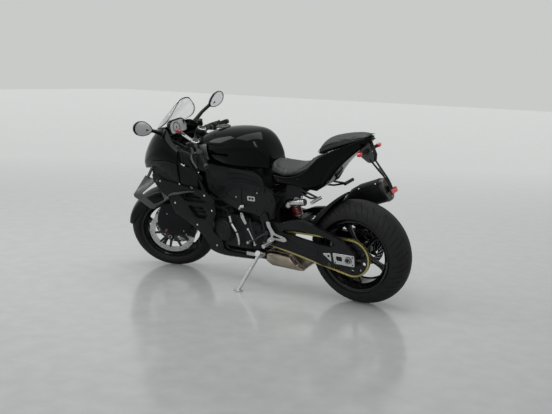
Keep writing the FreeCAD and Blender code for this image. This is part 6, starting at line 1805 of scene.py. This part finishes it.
def make_engine_covers():
    """Alternator, clutch and sprocket covers with rings, lugs and bolts."""
    parts, bolts = [], []
    for centre, sign, reach, rise in (((0.914, 0.138, 0.396), 1, 0.078, 0.033),
                                      ((0.800, -0.138, 0.402), -1, 0.092, 0.040)):
        way = Vector((0, sign, 0))
        parts.append(turned_about(centre, way, [
            (0.0, -0.004), (reach * 0.98, -0.004), (reach, 0.0), (reach, 0.009),
            (reach * 0.93, 0.012), (reach * 0.90, rise * 0.75), (reach * 0.84, rise * 0.90),
            (reach * 0.60, rise * 0.94), (reach * 0.575, rise), (reach * 0.40, rise),
            (reach * 0.375, rise * 0.92), (reach * 0.16, rise * 0.92), (reach * 0.14, rise),
            (0.0, rise)], 56))
        for k in range(8):
            turn = math.pi * (k + 0.5) / 4
            at = Vector(centre) + Vector((math.cos(turn), 0, math.sin(turn))) * (reach - 0.004)
            parts.append(turned_about(at, way, [(0.0, -0.004), (0.0095, -0.004), (0.0095, 0.012),
                                                (0.0085, 0.013), (0.0, 0.013)], 20))
            bolts.append(bolt(at + way * 0.013, way, 0.0052, 0.005))
        for k in range(12):
            turn = math.pi * k / 6
            spoke = Vector((math.cos(turn), 0, math.sin(turn)))
            parts.append(rod_between(Vector(centre) + way * rise * 0.93 + spoke * reach * 0.62,
                                     Vector(centre) + way * rise * 0.88 + spoke * reach * 0.84,
                                     0.003, 8))
    sprocket = [(0.607, 0.352), (0.640, 0.336), (0.711, 0.340), (0.720, 0.400), (0.714, 0.466),
                (0.660, 0.474), (0.613, 0.450)]
    parts.append(plate(rounded(sprocket, 0.010), [], 0.1265, 0.1340, on_side))
    inner = [(0.622, 0.364), (0.645, 0.350), (0.700, 0.352), (0.707, 0.400), (0.702, 0.453),
             (0.662, 0.460), (0.626, 0.440)]
    parts.append(plate(rounded(inner, 0.010), [circle((0.664, 0.404), 0.012, 20)], 0.1335, 0.1378,
                       on_side))
    parts.append(turned_about((0.635, 0.134, 0.441), (0, 1, 0), [
        (0.0, 0.0), (0.0125, 0.0), (0.0125, 0.006), (0.010, 0.008), (0.0, 0.008)], 24))
    bolts.append(bolt((0.635, 0.142, 0.441), (0, 1, 0), 0.0065, 0.006))
    for x, z in ((0.620, 0.366), (0.700, 0.348), (0.706, 0.460), (0.660, 0.466)):
        bolts.append(bolt((x, 0.1362, z), (0, 1, 0), 0.0048, 0.005))
    group("cover_castings", parts, "chassis", "engine_grey", None, ["engine_covers"], angle=35,
          soft=0.0015)
    group("cover_bolts", bolts, "chassis", "levers_grey")


def make_engine_plumbing():
    """Coolant pipes, hoses, their clamps, and the cables round the engine's left side."""
    silver, black, dark = [], [], []
    silver.append(hose([(0.850, 0.158, 0.500), (0.836, 0.163, 0.455), (0.800, 0.166, 0.400),
                        (0.789, 0.163, 0.350), (0.800, 0.150, 0.312)], 0.0085, 14))
    bracket = [(0.770, 0.530), (0.752, 0.528), (0.742, 0.500), (0.726, 0.462), (0.738, 0.452),
               (0.752, 0.468), (0.768, 0.498)]
    silver.append(plate(rounded(bracket, 0.005), [circle((0.760, 0.517), 0.004, 10)],
                        0.145, 0.1505, on_side))
    clamp, slot = corners(0.634, 0.624, 0.692, 0.654), corners(0.644, 0.632, 0.682, 0.646)
    silver.append(plate(rounded(clamp, 0.008), [rounded(slot, 0.005)], 0.1640, 0.1680, on_side))
    silver.append(hose([(0.765, 0.158, 0.560), (0.748, 0.164, 0.576), (0.722, 0.164, 0.580)],
                       0.0110, 14, 5))
    for x, y, z, reach in ((0.739, 0.1605, 0.573, 0.007), (0.778, 0.1620, 0.638, 0.006),
                           (0.663, 0.1640, 0.637, 0.006), (0.614, 0.1640, 0.682, 0.006)):
        silver.append(bolt((x, y, z), (0, 1, 0), reach, 0.006))
    for row in ([(1.000, 0.148, 0.620), (0.940, 0.152, 0.600), (0.860, 0.150, 0.610),
                 (0.760, 0.148, 0.628), (0.662, 0.146, 0.632)],
                [(0.985, 0.140, 0.560), (0.930, 0.146, 0.540), (0.870, 0.146, 0.556),
                 (0.800, 0.146, 0.590), (0.735, 0.146, 0.612)],
                [(0.900, 0.150, 0.520), (0.872, 0.156, 0.540), (0.850, 0.158, 0.500)],
                [(0.960, 0.142, 0.660), (0.905, 0.150, 0.640), (0.850, 0.150, 0.655),
                 (0.790, 0.146, 0.680)]):
        black.append(hose(row, 0.0085))
    for row in ([(0.700, 0.150, 0.500), (0.688, 0.156, 0.452), (0.676, 0.160, 0.400),
                 (0.655, 0.156, 0.330)],
                [(0.770, 0.150, 0.540), (0.765, 0.155, 0.560), (0.742, 0.157, 0.574)]):
        dark.append(hose(row, 0.0035, 10))
    for x, y, z, way in ((0.836, 0.1630, 0.455, (0.5, -0.2, 0.8)),
                         (0.800, 0.1660, 0.400, (0.3, 0, 0.9)),
                         (0.905, 0.1500, 0.604, (1, 0, 0.1)), (0.700, 0.1470, 0.632, (1, 0, 0)),
                         (0.900, 0.1460, 0.546, (1, 0, -0.3))):
        dark.append(turned_about((x, y, z), way, [
            (0.0080, -0.005), (0.0102, -0.005), (0.0102, 0.005), (0.0080, 0.005)], 20))
    group("coolant_pipe", silver, "chassis", "aluminium_silver", angle=40)
    group("coolant_hoses", black, "chassis", "rubber_black", angle=60)
    group("engine_cables", dark, "chassis", "levers_grey", angle=60)


def make_spars():
    """Forged skins with pockets and bolts over the frame spars, and the braces ahead."""
    outer = [(1.000, 0.668), (0.880, 0.596), (0.760, 0.549), (0.662, 0.544), (0.602, 0.524),
             (0.524, 0.524), (0.484, 0.628), (0.500, 0.686), (0.560, 0.716), (0.620, 0.760),
             (0.760, 0.780), (0.990, 0.790)]
    pockets = [rounded([(0.960, 0.700), (0.885, 0.654), (0.872, 0.740), (0.955, 0.752)], 0.012),
               rounded([(0.858, 0.640), (0.775, 0.604), (0.762, 0.722), (0.845, 0.738)], 0.012),
               rounded([(0.745, 0.596), (0.680, 0.586), (0.640, 0.690), (0.735, 0.718)], 0.012)]
    extruded("spar_skins", rounded(outer, 0.014), pockets, 0.1602, 0.1640, "chassis",
             "frame_black", bevel=0.0015)
    bolts = []
    for sign in (1, -1):
        for x, z in ((0.560, 0.552), (0.520, 0.640), (0.575, 0.690), (0.870, 0.612),
                     (0.975, 0.690), (0.975, 0.770), (0.640, 0.560)):
            bolts.append(bolt((x, sign * 0.164, z), (0, sign, 0), 0.0065, 0.006))
    group("spar_bolts", bolts, "chassis", "levers_grey")
    braces = []
    for sign in (1, -1):
        path = [(1.140, sign * 0.150, 0.850), (1.090, sign * 0.158, 0.760),
                (1.035, sign * 0.160, 0.645), (0.985, sign * 0.160, 0.545)]
        braces.append(hose(path, 0.0125, 16))
        for point in (path[0], path[-1]):
            braces.append(turned_about((point[0], point[1] - sign * 0.016, point[2]),
                                       (0, sign, 0), [
                (0.0, 0.0), (0.016, 0.0), (0.017, 0.002), (0.017, 0.026), (0.0, 0.028)], 24))
    group("frame_braces", braces, "chassis", "frame_black", angle=50)


def make_footrests():
    """Hangers, ribbed pegs, heel guards, and the gear and brake levers."""
    hanger = [(0.508, 0.357), (0.556, 0.357), (0.600, 0.520), (0.596, 0.560), (0.550, 0.560),
              (0.528, 0.480)]
    holes = [rounded([(0.532, 0.400), (0.552, 0.400), (0.578, 0.500), (0.558, 0.508)], 0.006)]
    extruded("footrest_hangers", rounded(hanger, 0.010), holes, 0.168, 0.177, "chassis",
             "frame_black", replaces=["rider_footrests"], bevel=0.002)
    guard = [(0.556, 0.506), (0.530, 0.508), (0.518, 0.470), (0.494, 0.436), (0.420, 0.417),
             (0.410, 0.400), (0.430, 0.388), (0.500, 0.394), (0.535, 0.360), (0.560, 0.368),
             (0.552, 0.392), (0.524, 0.412), (0.530, 0.440), (0.550, 0.478)]
    window = rounded([(0.505, 0.425), (0.450, 0.408), (0.500, 0.404), (0.515, 0.410)], 0.002, 2)
    extruded("heel_guards", rounded(guard, 0.006), [window], 0.1775, 0.1812, "chassis",
             "aluminium_silver", bevel=0.001)
    pegs, silver, bolts = [], [], []
    for sign in (1, -1):
        section = [(0.0, 0.0), (0.0125, 0.0), (0.0125, 0.006)]
        section += ribs(0.008, 0.0062, 12, [(0.0112, 0), (0.0112, 0.0036), (0.0096, 0.0042),
                                            (0.0096, 0.0056)])
        section += [(0.0130, 0.0835), (0.0130, 0.0865), (0.0, 0.0875)]
        pegs.append(turned_about((0.530, sign * 0.1775, 0.375), (0, sign, 0), section, 28))
        for x, z in ((0.590, 0.545), (0.562, 0.548)):
            bolts.append(bolt((x, sign * 0.177, z), (0, sign, 0), 0.0060, 0.006))
        toe = [(0.556, 0.430), (0.612, 0.400), (0.655, 0.370), (0.690, 0.357)]
        silver.append(hose([(x, sign * 0.176, z) for x, z in toe], 0.0060, 14))
        silver.append(turned_about((0.556, sign * 0.169, 0.430), (0, sign, 0), [
            (0.0, 0.0), (0.0130, 0.0), (0.0130, 0.013), (0.0105, 0.015), (0.0, 0.015)], 24))
        pegs.append(turned_about((0.690, sign * 0.172, 0.357), (0, sign, 0), [
            (0.0, 0.0), (0.0075, 0.0), (0.0085, 0.002), (0.0085, 0.034), (0.0075, 0.036),
            (0.0, 0.036)], 20))
        bolts.append(bolt((0.556, sign * 0.184, 0.430), (0, sign, 0), 0.0062, 0.005))
    rods = [rod_between((0.706, 0.166, 0.434), (0.656, 0.172, 0.335), 0.0042, 14)]
    for point in ((0.704, 0.166, 0.432), (0.658, 0.172, 0.337)):
        rods.append(turned_about(Vector(point) - Vector((0, 0.005, 0)), (0, 1, 0), [
            (0.0, 0.0), (0.0080, 0.0), (0.0085, 0.001), (0.0085, 0.010), (0.0, 0.011)], 20))
    group("gear_and_brake_levers", silver, "chassis", "aluminium_silver", "levers_grey",
          ["foot_controls"], angle=40)
    group("footrest_pegs", pegs, "chassis", "aluminium_silver", angle=35)
    group("shift_rod", rods, "chassis", "aluminium_silver", angle=40)
    group("footrest_bolts", bolts, "chassis", "steel_dark")
    arms, highlit_peg = [], []
    for sign in (1, -1):
        for z in (0.715, 0.690):
            arms.append(tube([(0.320, sign * 0.1145, z), (0.246, sign * 0.142, z - 0.009),
                              (0.172, sign * 0.166, 0.694)], 0.0062, 14))
        section = [(0.0, 0.0), (0.0105, 0.0), (0.0105, 0.012)]
        section += ribs(0.016, 0.0068, 12, [(0.0105, 0), (0.0105, 0.0042), (0.0090, 0.0048),
                                            (0.0090, 0.0062)])
        section += [(0.0110, 0.100), (0.0110, 0.103), (0.0, 0.104)]
        # only the left passenger peg gets silver, a painted highlight: a lit copy of the right peg, which stays
        # black
        (highlit_peg if sign > 0 else arms).append(
            turned_about((0.172, sign * 0.150, 0.694), (0, sign, 0), section, 24))
        for z in (0.715, 0.690):
            arms.append(turned_about((0.318, sign * 0.108, z), (0, sign, 0), [
                (0.0, 0.0), (0.011, 0.0), (0.011, 0.012), (0.009, 0.014), (0.0, 0.014)], 20))
    # the silver here is a painted highlight on the left passenger peg alone
    group("passenger_peg_painted_highlight", highlit_peg, "chassis", "frame_black", "aluminium_silver", angle=40)
    group("passenger_pegs", arms, "chassis", "frame_black", None, ["passenger_footrests"],
          angle=40)


# ---------------------------------------------------------------- tail end

def make_tail_end():
    """Slotted plate bracket with bent rods, its red reflector, and the indicators."""
    bracket = [(-0.012, 0.947), (-0.056, 0.9815), (-0.092, 1.016), (-0.122, 0.940),
               (-0.116, 0.896), (-0.084, 0.896)]
    slots = [rounded([(-0.062, 0.958), (-0.084, 0.980), (-0.094, 0.950), (-0.080, 0.932)], 0.005)]
    extruded("plate_bracket", rounded(bracket, 0.006), slots, 0.020, 0.0238, "chassis",
             "plastic_black", "wing_grey", replaces=["plate_carrier"], bevel=0.001)
    rods = []
    for sign in (1, -1):
        path = [(-0.096, sign * 0.023, 0.918), (-0.146, sign * 0.017, 0.856),
                (-0.194, sign * 0.009, 0.798), (-0.222, sign * 0.007, 0.740)]
        rods.append(hose(path, 0.0052))
    rods.append(rod_between((-0.108, -0.022, 0.902), (-0.108, 0.022, 0.902), 0.006, 16))
    rods.append(rod_between((-0.070, -0.022, 0.990), (-0.070, 0.022, 0.990), 0.005, 16))
    rods.append(rod_between((-0.208, -0.012, 0.774), (-0.208, 0.012, 0.774), 0.0045, 12))
    way = Vector((-0.050, 0, -0.062)).normalized()
    out = way.cross(Vector((0, 1, 0)))
    top = Vector((-0.094, 0, 0.920))
    web = rounded([(-0.024, 0.0), (0.024, 0.0), (0.019, 0.070), (0.008, 0.128), (-0.008, 0.128),
                   (-0.019, 0.070)], 0.005)
    window = rounded([(-0.013, 0.024), (0.013, 0.024), (0.007, 0.074), (-0.007, 0.074)], 0.004)

    def on_web(u, v, w):
        return tuple(top + way * v + out * w + Vector((0, u, 0)))

    piece("plate_web", *plate(web, [window], -0.0015, 0.0015, on_web), "chassis",
          "plastic_black", "wing_grey", soft=0.0006)
    turn = Matrix.Rotation(math.radians(20), 3, "Y")
    centre = Vector((-0.228, 0, 0.738))

    def on_end(u, v, w):
        return tuple(centre + turn @ Vector((w, u, v)))

    face = rounded(corners(-0.037, -0.016, 0.037, 0.016), 0.005)
    rods.append(plate(face, [], -0.004, 0.0, on_end))
    group("plate_rods", rods, "chassis", "plastic_black", angle=40, soft=0.0008)
    lens = rounded(corners(-0.033, -0.012, 0.033, 0.012), 0.004)
    piece("rear_reflector", *plate(lens, [], -0.0103, -0.0043, on_end), "chassis", "lens_red",
          None, ["plate_reflector"], soft=0.002)
    stems, lenses = [], []
    for sign in (1, -1):
        stems.append(tube([(-0.083, sign * 0.024, 0.968), (-0.083, sign * 0.060, 0.968),
                           (-0.083, sign * 0.104, 0.968)], lambda share: 0.0130 - 0.004 * share,
                          14))
        rows = []
        for left, reach, tall in ((0.098, 0.006, 0.006), (0.102, 0.010, 0.010),
                                  (0.116, 0.013, 0.0125), (0.132, 0.012, 0.0115),
                                  (0.141, 0.007, 0.007), (0.1435, 0.002, 0.002)):
            rows.append([(-0.083 + reach * superround(a, 0), sign * left,
                          0.968 + tall * superround(a, 1)) for a in turns(24)])
        lenses.append(skin(rows, closed=True, caps=True))
    group("indicator_stems", stems, "chassis", "rubber_black", angle=50)
    group("indicator_lenses", lenses, "chassis", "lens_red", None, ["rear_indicators"], angle=50)


# ---------------------------------------------------------------- small parts

CORE_AHEAD = 1.087
HEADERS = (-0.105, -0.035, 0.035, 0.105)


def make_radiator():
    """Rows of cooling fins between two end tanks, with a filler neck."""
    front, rear = CORE_AHEAD + 0.0405, CORE_AHEAD - 0.0005
    fins, tanks = [], []
    for face in (front, rear):
        for k in range(24):
            z = 0.552 + k * 0.0079
            fins.append(plate(corners(-0.150, z, 0.150, z + 0.0034), [], face - 0.001,
                              face + 0.001, on_front))
        for k in range(16):
            y = -0.141 + k * 0.0188
            fins.append(plate(corners(y - 0.0008, 0.548, y + 0.0008, 0.737), [],
                              face - 0.0016, face + 0.0016, on_front))
    for sign in (1, -1):
        outline = rounded([(sign * 0.148, 0.544), (sign * 0.1655, 0.552), (sign * 0.1655, 0.733),
                           (sign * 0.148, 0.741)], 0.004)
        tanks.append(plate(outline, [], rear - 0.002, front + 0.002, on_front))
        for z in (0.580, 0.705):
            tanks.append(bolt((front + 0.002, sign * 0.157, z), (1, 0, 0), 0.0045, 0.004))
    tanks.append(turned_about((CORE_AHEAD + 0.020, -0.150, 0.740), (0, 0, 1), [
        (0.0, 0.0), (0.013, 0.0), (0.013, 0.006), (0.018, 0.007), (0.018, 0.013), (0.0, 0.014)],
        24))
    group("radiator_fins", fins, "chassis", "plastic_black", "levers_grey")
    group("radiator_tanks", tanks, "chassis", "plastic_black", soft=0.001)


def make_airbox():
    """Dark intake box between the engine and the tank, and its lid seam."""
    box = [(0.600, 0.805), (0.600, 0.665), (0.700, 0.600), (0.880, 0.638), (0.985, 0.690),
           (1.035, 0.780), (1.040, 0.858), (0.975, 0.868), (0.880, 0.858), (0.650, 0.838),
           (0.600, 0.832)]
    lid = [(0.604, 0.742), (1.010, 0.742), (1.013, 0.750), (0.604, 0.750)]
    parts = [plate(rounded(box, 0.010), [], -0.118, 0.118, on_side),
             plate(lid, [], -0.121, 0.121, on_side),
             plate(corners(0.535, 0.775, 0.604, 0.822), [],
                   -0.080, 0.080, on_side)]
    group("intake_box", parts, "chassis", "plastic_black", soft=0.004)


def make_header_collars():
    """Flanges with their nuts where the exhaust pipes leave the engine."""
    way = Vector((0.956, 0, -0.294))
    rings, nuts = [], []
    for left in HEADERS:
        foot = Vector((1.0125, left, 0.499))
        rings.append(turned_about(foot, way, [
            (0.0265, 0.0), (0.0310, 0.0), (0.0310, 0.007), (0.0265, 0.008)], 36))
        for sign in (1, -1):
            nuts.append(bolt(foot + Vector((0.008, sign * 0.0275, -0.002)), way, 0.0042, 0.008))
    group("header_collars", rings, "chassis", "steel_dark")
    group("header_nuts", nuts, "chassis", "aluminium_silver")


def make_screws():
    """Heads of the screws that hold the side panels, the seat and the tail."""
    heads = []
    for x, y, z in ((0.470, 0.137, 0.770), (0.330, 0.141, 0.790), (0.232, 0.122, 0.820),
                    (0.150, 0.108, 0.905), (0.060, 0.090, 0.965)):
        for sign in (1, -1):
            heads.append(bolt((x, sign * (y - 0.002), z), (0, sign, 0), 0.0048, 0.004))
    for x, y, z in ((1.340, 0.2235, 0.800), (1.240, 0.2300, 0.795), (1.110, 0.1960, 0.740)):
        for sign in (1, -1):
            heads.append(bolt((x, sign * (y - 0.003), z), (0, sign, 0), 0.0050, 0.004))
    group("panel_screws", heads, "chassis", "levers_grey")


# ---------------------------------------------------------------- stage and camera

# the floor glows for seen rays alone, and the more the further it lies along GLOW_WAY
FLOOR_HALF = 30
FLOOR_COLOUR = (0.39, 0.402, 0.396)
GLOW_COLOUR = (0.98, 1.0, 0.985, 1)
GLOW_WAY = (0.544, -0.839, 0)
GLOW_START, GLOW_END, GLOW_MOST = -1.8, 7.0, 0.23
# the world that lights the machine, and the one that is seen behind it
LIGHT_COLOUR, LIGHT_LEVEL = (0.74, 0.755, 0.755, 1), 0.62
BACKDROP_COLOUR, BACKDROP_LEVEL = (0.578, 0.597, 0.58, 1), 1.0
# columns: name, place, width, length and watts
LAMPS = (("lamp_over", (0.2, 0.4, 4.2), 2.6, 5.0, 110),
         ("lamp_left", (-2.2, 3.6, 3.4), 0.7, 3.0, 40),
         ("lamp_ahead", (3.6, 1.5, 3.2), 1.2, 2.4, 40))
LAMP_AIM = Vector((0, 0, 0.5))
CAMERA_PLACE = Vector((-2.908, 4.227, 1.400))
CAMERA_YAW, CAMERA_PITCH, CAMERA_ROLL = (math.radians(a) for a in (-57.07, -9.57, 1.78))
CAMERA_LENS, CAMERA_SENSOR = 53.63, 36


def combine(nodes, links, operation, first, second):
    """A maths node on two outputs."""
    node = nodes.new("ShaderNodeMath")
    node.operation = operation
    links.new(first, node.inputs[0])
    links.new(second, node.inputs[1])
    return node.outputs["Value"]


def seen_rays(nodes, links):
    """1 for rays from the camera, a reflection or a clear piece, and 0 for light."""
    path = nodes.new("ShaderNodeLightPath")
    total = path.outputs["Is Camera Ray"]
    for kind in ("Is Glossy Ray", "Is Transmission Ray"):
        total = combine(nodes, links, "MAXIMUM", total, path.outputs[kind])
    return total


def make_stage():
    """Pale floor, world and lamps."""
    floor = bpy.data.meshes.new("floor")
    floor.from_pydata([(x * FLOOR_HALF, y * FLOOR_HALF, 0)
                       for x, y in ((-1, -1), (1, -1), (1, 1), (-1, 1))], [], [(0, 1, 2, 3)])
    item = bpy.data.objects.new("floor", floor)
    bpy.context.scene.collection.objects.link(item)
    pale = material("floor_paint", FLOOR_COLOUR, 0.16, grain=3, bump=0.003, patch=0.04)
    nodes, links = pale.node_tree.nodes, pale.node_tree.links
    away = nodes.new("ShaderNodeVectorMath")
    away.operation = "DOT_PRODUCT"
    away.inputs[1].default_value = GLOW_WAY
    links.new(nodes.new("ShaderNodeTexCoord").outputs["Object"], away.inputs[0])
    lift = nodes.new("ShaderNodeMapRange")
    put(lift, From_Min=GLOW_START, From_Max=GLOW_END, To_Max=GLOW_MOST)
    links.new(away.outputs["Value"], lift.inputs["Value"])
    shader = nodes["Principled BSDF"]
    put(shader, Emission_Color=GLOW_COLOUR)
    shown = combine(nodes, links, "MULTIPLY", lift.outputs["Result"], seen_rays(nodes, links))
    links.new(shown, shader.inputs["Emission Strength"])
    floor.materials.append(pale)
    world = bpy.data.worlds.new("studio")
    bpy.context.scene.world = world
    world.use_nodes = True
    nodes, links = world.node_tree.nodes, world.node_tree.links
    soft = nodes["Background"]
    put(soft, Color=LIGHT_COLOUR, Strength=LIGHT_LEVEL)
    seen = nodes.new("ShaderNodeBackground")
    put(seen, Color=BACKDROP_COLOUR, Strength=BACKDROP_LEVEL)
    mix = nodes.new("ShaderNodeMixShader")
    links.new(seen_rays(nodes, links), mix.inputs["Fac"])
    links.new(soft.outputs["Background"], mix.inputs[1])
    links.new(seen.outputs["Background"], mix.inputs[2])
    links.new(mix.outputs["Shader"], nodes["World Output"].inputs["Surface"])
    for name, place, wide, long, power in LAMPS:
        lamp = bpy.data.lights.new(name, "AREA")
        lamp.shape = "RECTANGLE"
        lamp.size = wide
        lamp.size_y = long
        lamp.energy = power
        holder = bpy.data.objects.new(name, lamp)
        holder.location = place
        aim = LAMP_AIM - Vector(place)
        holder.rotation_euler = aim.to_track_quat("-Z", "Y").to_euler()
        bpy.context.scene.collection.objects.link(holder)


def make_camera():
    """The photograph's camera."""
    level = math.cos(CAMERA_PITCH)
    ahead = Vector((math.cos(CAMERA_YAW) * level, math.sin(CAMERA_YAW) * level,
                    math.sin(CAMERA_PITCH)))
    right = ahead.cross(Vector((0, 0, 1))).normalized()
    up = right.cross(ahead)
    across = right * math.cos(CAMERA_ROLL) + up * math.sin(CAMERA_ROLL)
    upward = up * math.cos(CAMERA_ROLL) - right * math.sin(CAMERA_ROLL)
    lens = bpy.data.cameras.new("camera")
    lens.lens = CAMERA_LENS
    lens.sensor_width = CAMERA_SENSOR
    holder = bpy.data.objects.new("camera", lens)
    turn = Matrix((across, upward, -ahead)).transposed()
    holder.matrix_world = Matrix.Translation(CAMERA_PLACE) @ turn.to_4x4()
    bpy.context.scene.collection.objects.link(holder)
    bpy.context.scene.camera = holder


make_stage()
make_camera()
bpy.context.scene.view_settings.view_transform = "Standard"
make_tank()
make_cushion("rider_cushion", "rider_seat", RIDER_SEAT)
make_cushion("pillion_cushion", "pillion_seat", PILLION_SEAT)
make_tail()
make_under_tray()
make_nose()
make_screen()
make_wheels()
make_front_discs()
make_rear_disc()
make_chain()
make_sprockets()
make_side_panels()
make_belly()
make_nose_trim()
make_winglets()
make_covers()
make_guards()
make_mirrors()
make_swingarm()
make_silencer()
make_exhaust_box()
make_shock()
make_yokes()
make_bars()
make_damper()
make_fork_details()
make_dash()
make_ducts()
make_tank_patch()
make_engine()
make_engine_covers()
make_engine_plumbing()
make_spars()
make_footrests()
make_tail_end()
make_radiator()
make_airbox()
make_header_collars()
make_screws()
